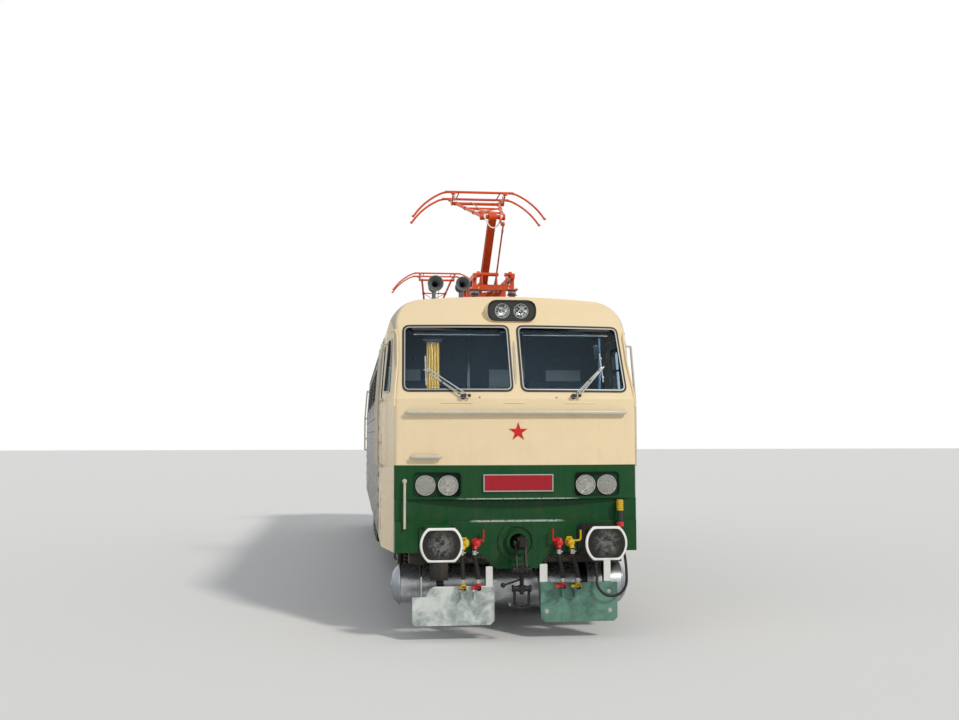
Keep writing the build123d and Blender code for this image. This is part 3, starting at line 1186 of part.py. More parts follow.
def ring_bar(spot, radius, x0, x1):
    """A round boss about a (y, z) point."""
    return rod(spot_at(x0, spot), spot_at(x1, spot), radius)


lower_arm = fused(side_bar(PAN_PIVOT, PAN_KNEE, ARM_DEPTH[0], ARM_DEPTH[1], -ARM_HALF[1], ARM_HALF[1]),
                  ring_bar(PAN_PIVOT, SHAFT_RADIUS, -SHAFT_HALF, SHAFT_HALF),
                  ring_bar(PAN_PIVOT, ARM_DEPTH[0] / 2, -ARM_HALF[0], ARM_HALF[0]),
                  ring_bar(PAN_KNEE, KNEE_EYE_RADIUS, -ARM_HALF[1], ARM_HALF[1]))
lower_arm = cut(lower_arm, ring_bar(PAN_KNEE, KNEE_RADIUS + SHAFT_CLEAR, -ARM_HALF[1] - 1, ARM_HALF[1] + 1))
save(lower_arm, "front_lower_arm")
save(rear_copy(lower_arm), "rear_lower_arm")

rod_eyes = [ring_bar(spot, 30, ROD_X - ROD_EYE_HALF, ROD_X + ROD_EYE_HALF) for spot in (ROD_FOOT, ROD_TOP)]
thrust_rod = fused(rod(spot_at(ROD_X, ROD_FOOT), spot_at(ROD_X, ROD_TOP), ROD_RADIUS - 5), *rod_eyes)
thrust_rod = cut(thrust_rod, *[ring_bar(spot, PIN_RADIUS + SHAFT_CLEAR, ROD_X - 20, ROD_X + 20)
                               for spot in (ROD_FOOT, ROD_TOP)])
save(thrust_rod, "front_thrust_rod")
save(rear_copy(thrust_rod), "rear_thrust_rod")

TAIL_X = (ROD_X - ROD_EYE_HALF - RUNNING_GAP - 14, ROD_X - ROD_EYE_HALF - RUNNING_GAP)
UPPER_TUBE_RADIUS = 22
UPPER_KNEE_X = 132
UPPER_HEAD_X = 322
HEAD_TUBE_RADIUS = 22
HEAD_TUBE_HALF = 362
HEAD_PIN_CLEAR = 0.1
UPPER_BRACES = (0.3, 0.62)


def along_upper(share, side):
    """A point of the upper arm's side tube, given by its share of the way to the head."""
    x = side * (UPPER_KNEE_X + (UPPER_HEAD_X - UPPER_KNEE_X) * share)
    y = PAN_KNEE[0] + (PAN_HEAD[0] - PAN_KNEE[0]) * share
    return (x, y, PAN_KNEE[1] + (PAN_HEAD[1] - PAN_KNEE[1]) * share)


with BuildPart() as upper:
    add(ring_bar(PAN_KNEE, KNEE_RADIUS, -KNEE_HALF, KNEE_HALF))
    add(ring_bar(PAN_HEAD, HEAD_TUBE_RADIUS, -HEAD_TUBE_HALF, HEAD_TUBE_HALF))
    for side in (-1, 1):
        add(rod(along_upper(0, side), along_upper(1, side), UPPER_TUBE_RADIUS))
        add(ring_bar(PAN_KNEE, KNEE_RADIUS + 12, *sorted((side * 104, side * KNEE_HALF))))
    for share in UPPER_BRACES:
        add(rod(along_upper(share, -1), along_upper(share, 1), 14))
    add(side_bar(PAN_KNEE, ROD_TOP, 70, 44, *TAIL_X))
    add(ring_bar(ROD_TOP, 26, *TAIL_X))
    for side in (-1, 1):
        x0, x1 = sorted((side * (HEAD_TUBE_HALF - 30), side * (HEAD_TUBE_HALF + 1)))
        add(ring_bar(PAN_HEAD, PIN_RADIUS + HEAD_PIN_CLEAR, x0, x1), mode=Mode.SUBTRACT)
save(upper.part, "front_upper_arm")
save(rear_copy(upper.part), "rear_upper_arm")

STRIP_OFFSET = 240
STRIP_TOP_Z = RAIL + 5730
STRIP_FLAT = 500
STRIP_DEPTH = 30
HORN_START_X = 440
HORN_BENDS = ((300, 25), (935, 33))
CROSS_X = 380
CROSS_HALF = 8
CROSS_OUTLINE = ((-STRIP_OFFSET - 15, STRIP_TOP_Z - 20), (-STRIP_OFFSET + 60, STRIP_TOP_Z - 20),
                 (-30, PAN_HEAD[1] + 30), (30, PAN_HEAD[1] + 30), (STRIP_OFFSET - 60, STRIP_TOP_Z - 20),
                 (STRIP_OFFSET + 15, STRIP_TOP_Z - 20), (40, PAN_HEAD[1] - 24), (-40, PAN_HEAD[1] - 24))

with BuildPart() as head:
    for side in (-1, 1):
        y = PAN_HEAD[0] + side * STRIP_OFFSET
        with BuildLine() as horn_line:
            with BuildLine(cross_plane(y)):
                low_z = STRIP_TOP_Z - STRIP_DEPTH / 2
                Line((-HORN_START_X, low_z), (HORN_START_X, low_z))
                for end in (-1, 1):
                    start, heading = (end * HORN_START_X, low_z), (end, 0)
                    for radius, turn in HORN_BENDS:
                        bend = JernArc(start, heading, radius, -end * turn)
                        start, heading = bend @ 1, bend % 1
        path = horn_line.wire()
        with BuildSketch(Plane(path @ 0, z_dir=path % 0)):
            Circle(STRIP_DEPTH / 2)
        sweep(path=path)
        with Locations((0, y, STRIP_TOP_Z - 11)):
            Box(2 * STRIP_FLAT, 50, 22)
    for side in (-1, 1):
        points = [(PAN_HEAD[0] + across, z) for across, z in CROSS_OUTLINE]
        add(prism_x(points, side * CROSS_X - CROSS_HALF, side * CROSS_X + CROSS_HALF))
        add(ring_bar(PAN_HEAD, PIN_RADIUS, *sorted((side * (HEAD_TUBE_HALF - 26), side * CROSS_X))))
save(head.part, "front_head")
save(rear_copy(head.part), "rear_head")

# Wheelsets and bogies, given about the bogie's centre at the front
AXLE_Z = WHEEL_RADIUS + FLANGE_HEIGHT
AXLE_OFFSET = BOGIE_WHEELBASE / 2
AXLE_RADIUS = 90
JOURNAL_RADIUS = 65
JOURNAL_END_X = 1100
TREAD_X = (712, 815)
FLANGE_X = 680
RIM_DEPTH = 85
HUB_RADIUS = 135

with BuildPart() as wheelset:
    with BuildSketch(Plane.XY):
        with BuildLine():
            rim_in = WHEEL_RADIUS - RIM_DEPTH
            flange = WHEEL_RADIUS + FLANGE_HEIGHT
            right = [(AXLE_RADIUS, 645), (HUB_RADIUS, 650), (HUB_RADIUS + 10, 722), (rim_in, 722),
                     (rim_in, FLANGE_X),
                     (flange - 14, FLANGE_X), (flange, 690), (flange, 700), (flange - 24, TREAD_X[0] - 2),
                     (WHEEL_RADIUS, TREAD_X[0] + 8), (WHEEL_RADIUS - 3, TREAD_X[1] - 8),
                     (WHEEL_RADIUS - 11, TREAD_X[1]), (rim_in, TREAD_X[1]), (rim_in, 760),
                     (HUB_RADIUS + 10, 760),
                     (HUB_RADIUS, 835), (AXLE_RADIUS, 840), (AXLE_RADIUS, 870), (JOURNAL_RADIUS, 895),
                     (JOURNAL_RADIUS, JOURNAL_END_X)]
            outline = [(x, r) for r, x in right]
            left = [(-x, r) for x, r in reversed(outline)]
            Polyline((-JOURNAL_END_X, 0), *left, *outline, (JOURNAL_END_X, 0), close=True)
        make_face()
    revolve(axis=Axis.X)
axle_spots = [-PIVOT_Y - AXLE_OFFSET, -PIVOT_Y + AXLE_OFFSET, PIVOT_Y - AXLE_OFFSET, PIVOT_Y + AXLE_OFFSET]
for index, y in enumerate(axle_spots):
    save(Pos(0, y, AXLE_Z) * wheelset.part, f"wheelset_{index + 1}")

FRAME_X = (1000, 1160)
FRAME_END = 2370
FRAME_TOP_Z = RAIL + 970
FRAME_LOW_Z = RAIL + 830
FRAME_BELLY_Z = RAIL + 690
FRAME_BELLY_Y = (760, 1000)
FRAME_CORNER = 90
FRAME_HOLE = (540, 60)
END_BEAM_DEPTH = 100
TRANSOM_HALF = 280
TRANSOM_Z = (RAIL + 650, RAIL + 930)
SPRING_HALF_GAP = 350

with BuildPart() as frame:
    for side in (-1, 1):
        with BuildSketch(Plane.YZ.offset(side * FRAME_X[0])):
            with BuildLine():
                belly, rise = FRAME_BELLY_Y
                FilletPolyline((0, FRAME_BELLY_Z), (belly, FRAME_BELLY_Z), (rise, FRAME_LOW_Z),
                               (FRAME_END, FRAME_LOW_Z), (FRAME_END, FRAME_TOP_Z), (0, FRAME_TOP_Z),
                               radius=FRAME_CORNER / 2)
                FilletPolyline((0, FRAME_BELLY_Z), (-belly, FRAME_BELLY_Z), (-rise, FRAME_LOW_Z),
                               (-FRAME_END, FRAME_LOW_Z), (-FRAME_END, FRAME_TOP_Z), (0, FRAME_TOP_Z),
                               radius=FRAME_CORNER / 2)
            make_face()
            for y in (-FRAME_HOLE[0], FRAME_HOLE[0]):
                with Locations((y, (FRAME_BELLY_Z + FRAME_TOP_Z) / 2)):
                    Circle(FRAME_HOLE[1], mode=Mode.SUBTRACT)
        extrude(amount=side * (FRAME_X[1] - FRAME_X[0]))
    add(box_between(-FRAME_X[0] - 1, FRAME_X[0] + 1, -TRANSOM_HALF, TRANSOM_HALF, *TRANSOM_Z))
    for end in (-1, 1):
        y0, y1 = sorted((end * FRAME_END, end * (FRAME_END - END_BEAM_DEPTH)))
        add(box_between(-FRAME_X[0] - 1, FRAME_X[0] + 1, y0, y1, FRAME_LOW_Z, FRAME_TOP_Z))
    with Locations((0, 0, sum(TRANSOM_Z) / 2)):
        Cylinder(PIVOT_RADIUS + PIVOT_CLEAR + 48, TRANSOM_Z[1] - TRANSOM_Z[0] + 30)
        Cylinder(PIVOT_RADIUS + PIVOT_CLEAR, 2000, mode=Mode.SUBTRACT)

BOX_CENTRE_X = 1080
AXLEBOX = ((990, 1185), 160, 150)
JOURNAL_CLEAR = CLEAR
WING_HALF = 370
WING_Z = (AXLE_Z - 125, AXLE_Z - 60)
PRIMARY_SPRING = (82, 272)
SECONDARY_RADIUS = 105
DECK_GAP = 5


def make_axlebox():
    """A right axlebox about its axle's middle, with its wings and two coil springs."""
    (x0, x1), half_y, half_z = AXLEBOX
    with BuildPart() as body:
        add(box_between(x0, x1, -half_y, half_y, AXLE_Z - half_z, AXLE_Z + half_z))
        fillet(body.edges().filter_by(Axis.X), radius=70)
        add(rod((x1 - 1, 0, AXLE_Z), (x1 + 22, 0, AXLE_Z), 118))
        add(box_between(BOX_CENTRE_X - 80, BOX_CENTRE_X + 80, -WING_HALF, WING_HALF, *WING_Z))
        for side in (-1, 1):
            y = side * PRIMARY_SPRING[1]
            add(rod((BOX_CENTRE_X, y, WING_Z[0] + 10), (BOX_CENTRE_X, y, FRAME_LOW_Z - CLEAR),
                    PRIMARY_SPRING[0]))
        add(rod((x0 - 1, 0, AXLE_Z), (JOURNAL_END_X + RUNNING_GAP, 0, AXLE_Z),
                JOURNAL_RADIUS + JOURNAL_CLEAR), mode=Mode.SUBTRACT)
    return body.part


axlebox = make_axlebox()
suspension = []
for end in (-1, 1):
    for shape in both_sides(axlebox):
        suspension.append(Pos(0, end * AXLE_OFFSET, 0) * shape)
for x in (-BOX_CENTRE_X, BOX_CENTRE_X):
    for y in (-SPRING_HALF_GAP, SPRING_HALF_GAP):
        suspension.append(rod((x, y, FRAME_TOP_Z + CLEAR), (x, y, DECK_BOTTOM_Z - DECK_GAP),
                              SECONDARY_RADIUS))

MOTOR_OFFSET = 880
MOTOR_Z = RAIL + 670
MOTOR_RADIUS = 385
MOTOR_HALF = 560
GEARCASE_X = (430, 575)
GEARCASE_RADIUS = 300
GEARCASE_BORE = AXLE_RADIUS + RUNNING_GAP


def make_motor():
    """Traction motor and gear case for the axle towards +Y."""
    with BuildPart() as motor:
        add(rod((-MOTOR_HALF, MOTOR_OFFSET, MOTOR_Z), (MOTOR_HALF, MOTOR_OFFSET, MOTOR_Z), MOTOR_RADIUS))
        fillet(motor.edges().filter_by(GeomType.CIRCLE), radius=50)
        add(box_between(-300, 300, TRANSOM_HALF + CLEAR, MOTOR_OFFSET - 200, MOTOR_Z - 20, MOTOR_Z + 180))
        add(rod((GEARCASE_X[0], AXLE_OFFSET, AXLE_Z), (GEARCASE_X[1], AXLE_OFFSET, AXLE_Z), GEARCASE_RADIUS))
        add(box_between(*GEARCASE_X, MOTOR_OFFSET, AXLE_OFFSET, MOTOR_Z - 180, MOTOR_Z + 220))
        add(rod((GEARCASE_X[0] - 1, AXLE_OFFSET, AXLE_Z), (GEARCASE_X[1] + 1, AXLE_OFFSET, AXLE_Z),
                GEARCASE_BORE), mode=Mode.SUBTRACT)
    return motor.part


motor = make_motor()
motors = [motor, rear_copy(motor)]
front_bogie = Pos(0, -PIVOT_Y, 0)
BOGIE_PIECES = (("bogie_frame", [frame.part]), ("bogie_suspension", suspension), ("traction_motors", motors))
for name, solids in BOGIE_PIECES:
    placed = [front_bogie * solid for solid in solids]
    save(compound_of(*placed), f"front_{name}")
    save(compound_of(*[rear_copy(solid) for solid in placed]), f"rear_{name}")
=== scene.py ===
from math import cos, hypot, pi, radians, sin, sqrt

import bmesh
import bpy
from mathutils import Matrix, Vector


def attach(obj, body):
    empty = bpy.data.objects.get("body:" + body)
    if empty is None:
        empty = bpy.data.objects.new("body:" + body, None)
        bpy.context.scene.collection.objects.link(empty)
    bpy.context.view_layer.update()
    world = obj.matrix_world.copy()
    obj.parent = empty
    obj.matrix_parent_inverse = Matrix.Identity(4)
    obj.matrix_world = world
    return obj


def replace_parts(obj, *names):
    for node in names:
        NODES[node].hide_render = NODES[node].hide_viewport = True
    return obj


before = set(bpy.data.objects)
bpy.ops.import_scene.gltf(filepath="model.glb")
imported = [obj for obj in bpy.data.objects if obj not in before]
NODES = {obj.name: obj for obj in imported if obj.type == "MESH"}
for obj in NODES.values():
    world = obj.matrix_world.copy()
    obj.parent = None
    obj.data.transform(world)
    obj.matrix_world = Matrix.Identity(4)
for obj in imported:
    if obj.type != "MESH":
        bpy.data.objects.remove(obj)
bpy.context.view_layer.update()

bl_info = {
    "name": "Two Cab Electric Locomotive",
    "version": (1, 0, 0),
    "blender": (4, 5, 0),
    "location": "3D View > Sidebar > Locomotive",
    "description": "Dresses the locomotive's frame with paint, lamps, cords, springs and fittings",
    "category": "Object",
}

RAIL = 0.030

# Front mask, as in the part's source
NOSE_Y = -7.930
NOSE_BOW = 7.100
SCREEN_TOP_Y = -7.490
WAIST_Z = RAIL + 2.600
SCREEN_TOP_Z = RAIL + 3.445
RAKE_TOP_Z = RAIL + 3.450
BEAM_FACE_Y = -7.830
APRON_Y = -7.800
LEDGE_Z = RAIL + 1.505
STEP_Z = RAIL + 1.265
BORDER_Z = RAIL + 1.875
HALF_WIDTH = 1.470
SHOULDER_X = 1.410
SHOULDER_Z = RAIL + 3.390
BUFFER_X = 0.875
BUFFER_Z = RAIL + 1.060
BUFFER_FACE_Y = -8.370
TANK_Y = -7.240
AHEAD = (0, -1, 0)
UPWARDS = (0, 0, 1)


def srgb(red, green, blue):
    """A colour in the 0 to 255 steps of a picture, as Blender's linear values."""
    def linear(value):
        value /= 255
        return value / 12.92 if value <= 0.04045 else ((value + 0.055) / 1.055) ** 2.4
    return (linear(red), linear(green), linear(blue), 1.0)


CREAM = srgb(234, 213, 175)
GREEN = srgb(6, 70, 33)
PANEL_GREY = srgb(146, 147, 142)
ROOF_GREY = srgb(118, 120, 118)


# Shader helpers

def feed(tree, value, socket):
    """Link an output to a socket, or set the socket to a plain value."""
    if hasattr(value, "is_output"):
        tree.links.new(value, socket)
    else:
        socket.default_value = value


def add_node(tree, kind, values=None, **settings):
    """A node with its settings and its inputs, each an output or a plain value."""
    node = tree.nodes.new(kind)
    for name, value in settings.items():
        setattr(node, name, value)
    for name, value in (values or {}).items():
        feed(tree, value, node.inputs[name])
    return node


def join(tree, *pairs):
    """Link output to input for each pair of sockets."""
    for source, target in pairs:
        tree.links.new(source, target)


def calc(tree, operation, *values, **settings):
    """The output of a math node."""
    return add_node(tree, "ShaderNodeMath", dict(enumerate(values)), operation=operation,
                    **settings).outputs[0]


def spread(tree, value, low, high, to_low=0.0, to_high=1.0, **settings):
    """A value moved from one range to another."""
    limits = {"Value": value, "From Min": low, "From Max": high, "To Min": to_low, "To Max": to_high}
    return add_node(tree, "ShaderNodeMapRange", limits, **settings).outputs[0]


def own_place(tree):
    """A point's place in the object's own frame."""
    return add_node(tree, "ShaderNodeTexCoord").outputs["Object"]


def noise(tree, scale, detail, roughness=0.5, distortion=0.0, stretch=None):
    """Cloudy unevenness from 0 to 1, stretched along the axes if asked."""
    place = own_place(tree)
    if stretch:
        place = add_node(tree, "ShaderNodeMapping", {"Vector": place, "Scale": stretch}).outputs[0]
    values = {"Vector": place, "Scale": scale, "Detail": detail, "Roughness": roughness,
              "Distortion": distortion}
    return add_node(tree, "ShaderNodeTexNoise", values).outputs[0]


def blend_colors(tree, mask, one, two):
    """The first colour where the mask is 0, and the second where it is 1."""
    return add_node(tree, "ShaderNodeMix", {0: mask, 6: one, 7: two}, data_type="RGBA").outputs[2]


def painted(tree, base, *coats):
    """A base colour under more colours, each given with the mask that it shows in."""
    for mask, color in coats:
        base = blend_colors(tree, mask, base, color)
    return base


def opposite(tree, mask):
    """1 where a mask isn't."""
    return calc(tree, "SUBTRACT", 1.0, mask)


def above(tree, value, edge, softness=0.002):
    """1 where a value is above an edge, and 0 below."""
    return spread(tree, value, edge - softness, edge + softness)


def below(tree, value, edge, softness=0.002):
    """1 where a value is below an edge, and 0 above."""
    return opposite(tree, above(tree, value, edge, softness))


def all_of(tree, first, *masks):
    """1 where every mask is."""
    for mask in masks:
        first = calc(tree, "MULTIPLY", first, mask)
    return first


def between(tree, value, low, high, softness=0.002):
    """1 where a value is between two edges."""
    return all_of(tree, above(tree, value, low, softness), below(tree, value, high, softness))


def place_parts(tree):
    """Object coordinates as x, how far out the side is, how far out the end is, and z."""
    x, y, z = add_node(tree, "ShaderNodeSeparateXYZ", {0: own_place(tree)}).outputs
    return x, calc(tree, "ABSOLUTE", x), calc(tree, "ABSOLUTE", y), z


def new_group(name, inputs, outputs):
    """A shader node group with named sockets, whose colours have defaults of four numbers."""
    group = bpy.data.node_groups.new(name, "ShaderNodeTree")
    for label, default in inputs.items():
        kind = "NodeSocketColor" if isinstance(default, tuple) else "NodeSocketFloat"
        group.interface.new_socket(name=label, in_out="INPUT", socket_type=kind).default_value = default
    for label in outputs:
        kind = "NodeSocketColor" if label == "Color" else "NodeSocketFloat"
        group.interface.new_socket(name=label, in_out="OUTPUT", socket_type=kind)
    return group, group.nodes.new("NodeGroupInput").outputs, group.nodes.new("NodeGroupOutput").inputs


MID_GREY = (0.5, 0.5, 0.5, 1)


def grime_group():
    """Dust that thickens towards the ground and runs down in streaks."""
    group, given, result = new_group("Grime",
                                     {"Color": MID_GREY, "Dirt": (0.12, 0.09, 0.06, 1), "Amount": 0.3,
                                               "Low": 0.3, "High": 1.6, "Roughness": 0.4},
                                               ("Color", "Roughness"))
    height = add_node(group, "ShaderNodeSeparateXYZ", {0: own_place(group)}).outputs["Z"]
    settled = spread(group, height, given["Low"], given["High"], 1.0, 0.12, interpolation_type="SMOOTHSTEP")
    streaks = noise(group, 2.0, 5.0, 0.62, stretch=(9.0, 9.0, 0.9))
    dirty = spread(group, calc(group, "MULTIPLY", streaks, noise(group, 7.0, 4.0, 0.6)), 0.14, 0.46)
    amount = calc(group, "MULTIPLY", calc(group, "MULTIPLY", dirty, settled), given["Amount"], use_clamp=True)
    feed(group, blend_colors(group, amount, given["Color"], given["Dirt"]), result["Color"])
    feed(group, spread(group, amount, 0.0, 1.0, given["Roughness"], 0.85), result["Roughness"])
    return group


def mottle_group():
    """Slow and fine unevenness of a coat, as a colour and as a height for bump."""
    group, given, result = new_group("Mottle",
                                     {"Color": MID_GREY, "Contrast": 0.06, "Scale": 3.0, "Grain": 180.0},
                                     ("Color", "Height", "Mask"))
    slow = noise(group, given["Scale"], 6.0, 0.6)
    fine = noise(group, given["Grain"], 3.0, 0.55)
    contrast = calc(group, "MULTIPLY", calc(group, "SUBTRACT", slow, 0.5), given["Contrast"])
    values = {0: given["Color"], "Scale": calc(group, "ADD", contrast, 1.0)}
    tone = add_node(group, "ShaderNodeVectorMath", values, operation="SCALE")
    join(group, (tone.outputs[0], result["Color"]), (fine, result["Height"]), (slow, result["Mask"]))
    return group


def scratch_group():
    """Thin worn marks that show the metal under a coat."""
    group, given, result = new_group("Scratches",
                                     {"Color": MID_GREY, "Metal": (0.5, 0.5, 0.48, 1), "Amount": 0.3,
                                                   "Scale": 22.0}, ("Color", "Mask"))
    marks = spread(group, noise(group, given["Scale"], 8.0, 0.72, 0.6), 0.60, 0.66)
    amount = calc(group, "MULTIPLY", marks, given["Amount"], use_clamp=True)
    shown = blend_colors(group, amount, given["Color"], given["Metal"])
    join(group, (shown, result["Color"]), (amount, result["Mask"]))
    return group


# Each layer's group and the names of the values that a paint gives it
LAYERS = {
    "mottle": (mottle_group(), ("Contrast", "Scale", "Grain")),
    "scratches": (scratch_group(), ("Amount", "Scale", "Metal")),
    "grime": (grime_group(), ("Dirt", "Amount", "Low", "High", "Roughness")),
}


def new_material(name):
    """An empty material with its Principled node."""
    material = bpy.data.materials.new(name)
    material.use_nodes = True
    return material, material.node_tree, material.node_tree.nodes["Principled BSDF"]


def tune(tree, shader, values):
    """Set or link the shader's inputs by name."""
    for name, value in values.items():
        feed(tree, value, shader.inputs[name])


def add_bump(tree, shader, height, strength, distance):
    """Bump from a height."""
    bump = add_node(tree, "ShaderNodeBump", {"Strength": strength, "Distance": distance, "Height": height})
    tune(tree, shader, {"Normal": bump.outputs[0]})


def dress(tree, shader, color, grime, mottle=None, scratches=None):
    """Lay unevenness, worn marks and dust over a colour, and give back the outputs of the unevenness."""
    made = {}
    for key, numbers in (("mottle", mottle), ("scratches", scratches), ("grime", grime)):
        if numbers:
            group, names = LAYERS[key]
            values = {"Color": color, **dict(zip(names, numbers))}
            made[key] = add_node(tree, "ShaderNodeGroup", values, node_tree=group).outputs
            color = made[key]["Color"]
    tune(tree, shader, {"Base Color": color, "Roughness": made["grime"]["Roughness"]})
    return made.get("mottle")


DUST = srgb(92, 74, 58)
SOOT = srgb(24, 21, 19)
BARE_METAL = srgb(150, 150, 146)


def coat(name, color, rough, grime, low, high, dirt, contrast, scale, grain, bump, metallic=0.0,
         clearcoat=0.0, wear=0.0, wear_scale=22.0, metal=BARE_METAL, gloss=0.5):
    """A painted or bare finish: roughness, grime between two heights, the dirt's colour, contrast,
    scale and grain of its unevenness and the depth of its bump."""
    material, tree, shader = new_material(name)
    uneven = dress(tree, shader, color, (dirt, grime, low, high, rough), (contrast, scale, grain),
                   (wear, wear_scale, metal))
    tune(tree, shader, {"Metallic": metallic, "Specular IOR Level": gloss})
    if clearcoat:
        tune(tree, shader, {"Coat Weight": clearcoat, "Coat Roughness": 0.12})
    add_bump(tree, shader, uneven["Height"], bump, 0.002)
    return material


# Mesh helpers

WELD = 0.00005


def finish_piece(shape, name, finish, body="loco_body", smooth=35):
    """Turn a bmesh into an object that rides on a body, with its normals outward."""
    bmesh.ops.remove_doubles(shape, verts=shape.verts, dist=WELD)
    bmesh.ops.recalc_face_normals(shape, faces=shape.faces)
    data = bpy.data.meshes.new(name)
    shape.to_mesh(data)
    shape.free()
    return own_mesh(data, name, finish, body, smooth)


def finish_both(shape, name, finish, smooth=35):
    """Finish a piece whose form repeats at the other end of the locomotive."""
    made = bmesh.ops.duplicate(shape, geom=shape.verts[:] + shape.edges[:] + shape.faces[:])["geom"]
    verts = [item for item in made if isinstance(item, bmesh.types.BMVert)]
    bmesh.ops.rotate(shape, cent=(0, 0, 0), matrix=Matrix.Rotation(pi, 3, "Z"), verts=verts)
    return finish_piece(shape, name, finish, smooth=smooth)


def own_mesh(data, name, finish, body, smooth=35):
    """An object for a finished mesh, shaded smooth up to an angle in degrees."""
    data.shade_smooth()
    data.set_sharp_from_angle(angle=radians(smooth))
    data.name = name
    data.materials.clear()
    data.materials.append(finish_of(finish))
    piece = bpy.data.objects.new(name, data)
    bpy.context.scene.collection.objects.link(piece)
    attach(piece, body)
    return piece


def add_box(shape, low, high, bevel=0.0):
    """A box between two corners with its edges eased."""
    size = [b - a for a, b in zip(low, high)]
    middle = Vector([(a + b) / 2 for a, b in zip(low, high)])
    made = bmesh.ops.create_cube(shape, size=1.0)["verts"]
    bmesh.ops.scale(shape, vec=size, verts=made)
    if bevel:
        edges = list(dict.fromkeys(edge for vert in made for edge in vert.link_edges))
        made = bmesh.ops.bevel(shape, geom=edges, offset=bevel, segments=2, profile=0.5,
                               affect="EDGES")["verts"]
    bmesh.ops.translate(shape, vec=middle, verts=made)


def frame_along(direction):
    """Two directions square to a third."""
    side = Vector((0, 0, 1)) if abs(direction.z) < 0.9 else Vector((1, 0, 0))
    first = direction.cross(side).normalized()
    return first, direction.cross(first).normalized()


def add_tube(shape, points, radius, sides=12, closed=False):
    """A round bar along points, mitred at each of them. A radius may be given for each point."""
    spots = [Vector(spot) for spot in points]
    radii = radius if isinstance(radius, (list, tuple)) else [radius] * len(spots)
    count = len(spots)
    rings = []
    first = None
    for index, spot in enumerate(spots):
        before = spots[index - 1] if index or closed else None
        after = spots[(index + 1) % count] if index < count - 1 or closed else None
        way_in = (spot - before).normalized() if before is not None else (after - spot).normalized()
        way_out = (after - spot).normalized() if after is not None else way_in
        along = (way_in + way_out).normalized()
        if first is None:
            first = frame_along(along)[0]
        else:
            first = (first - along * first.dot(along)).normalized()
        second = along.cross(first)
        stretch = 1 / max(0.3, along.dot(way_in))
        ring = []
        bend = way_out - way_in
        bend = bend - along * bend.dot(along)
        bend = bend.normalized() if bend.length > 1e-6 else None
        for step in range(sides):
            angle = 2 * pi * step / sides
            reach = first * cos(angle) + second * sin(angle)
            if bend is not None:
                reach += bend * (reach.dot(bend) * (stretch - 1))
            ring.append(shape.verts.new(spot + reach * radii[index]))
        rings.append(ring)
    pairs = list(zip(rings, rings[1:])) + ([(rings[-1], rings[0])] if closed else [])
    for one, two in pairs:
        for step in range(sides):
            following = (step + 1) % sides
            shape.faces.new((one[step], one[following], two[following], two[step]))
    if not closed:
        shape.faces.new(list(reversed(rings[0])))
        shape.faces.new(rings[-1])


def add_lathe(shape, profile, origin, axis, steps=32):
    """A turned form. The profile's points are (distance along the axis, radius)."""
    axis = Vector(axis).normalized()
    first, second = frame_along(axis)
    origin = Vector(origin)
    rings = []
    for along, radius in profile:
        spot = origin + axis * along
        if radius < 1e-5:
            rings.append([shape.verts.new(spot)])
            continue
        rings.append([shape.verts.new(spot
                                      + (first * cos(2 * pi * n / steps) + second * sin(2 * pi * n / steps))
                                      * radius) for n in range(steps)])
    for one, two in zip(rings, rings[1:]):
        for n in range(steps):
            m = (n + 1) % steps
            corners = [one[n % len(one)], one[m % len(one)], two[m % len(two)], two[n % len(two)]]
            unique = list(dict.fromkeys(corners))
            if len(unique) > 2:
                shape.faces.new(unique)


def add_slab(shape, outline, place, depth, bevel=0.0):
    """A flat plate whose outline is mapped into space by place(u, v, out), out running from 0 to depth."""
    low = [shape.verts.new(place(u, v, 0.0)) for u, v in outline]
    if bevel:
        middle = [sum(point[axis] for point in outline) / len(outline) for axis in (0, 1)]
        shrink = [(u + (middle[0] - u) * bevel, v + (middle[1] - v) * bevel) for u, v in outline]
        edge = [shape.verts.new(place(u, v, depth * 0.7)) for u, v in outline]
        top = [shape.verts.new(place(u, v, depth)) for u, v in shrink]
        layers = [low, edge, top]
    else:
        top = [shape.verts.new(place(u, v, depth)) for u, v in outline]
        layers = [low, top]
    count = len(outline)
    for one, two in zip(layers, layers[1:]):
        for n in range(count):
            m = (n + 1) % count
            shape.faces.new((one[n], one[m], two[m], two[n]))
    shape.faces.new(list(reversed(low)))
    shape.faces.new(top)


def oblong(across, up):
    """The corners of an upright outline over two ranges."""
    return [(across[0], up[0]), (across[1], up[0]), (across[1], up[1]), (across[0], up[1])]


def drum(low, high, radius):
    """The profile of a plain disc or bar for add_lathe."""
    return [(low, 0.0), (low, radius), (high, radius), (high, 0.0)]


def rounded(points, corner, steps=5):
    """A closed outline with its corners turned to arcs of one radius."""
    result = []
    spots = [Vector((*point, 0.0)) for point in points]
    count = len(spots)
    for n, spot in enumerate(spots):
        back = spots[n - 1] - spot
        ahead = spots[(n + 1) % count] - spot
        half = back.angle(ahead) / 2
        reach = min(corner / max(0.05, sin(half) / cos(half)), back.length * 0.49, ahead.length * 0.49)
        start = spot + back.normalized() * reach
        end = spot + ahead.normalized() * reach
        for step in range(steps + 1):
            t = step / steps
            bent = start * (1 - t) ** 2 + spot * 2 * t * (1 - t) + end * t ** 2
            result.append((bent.x, bent.y))
    return result


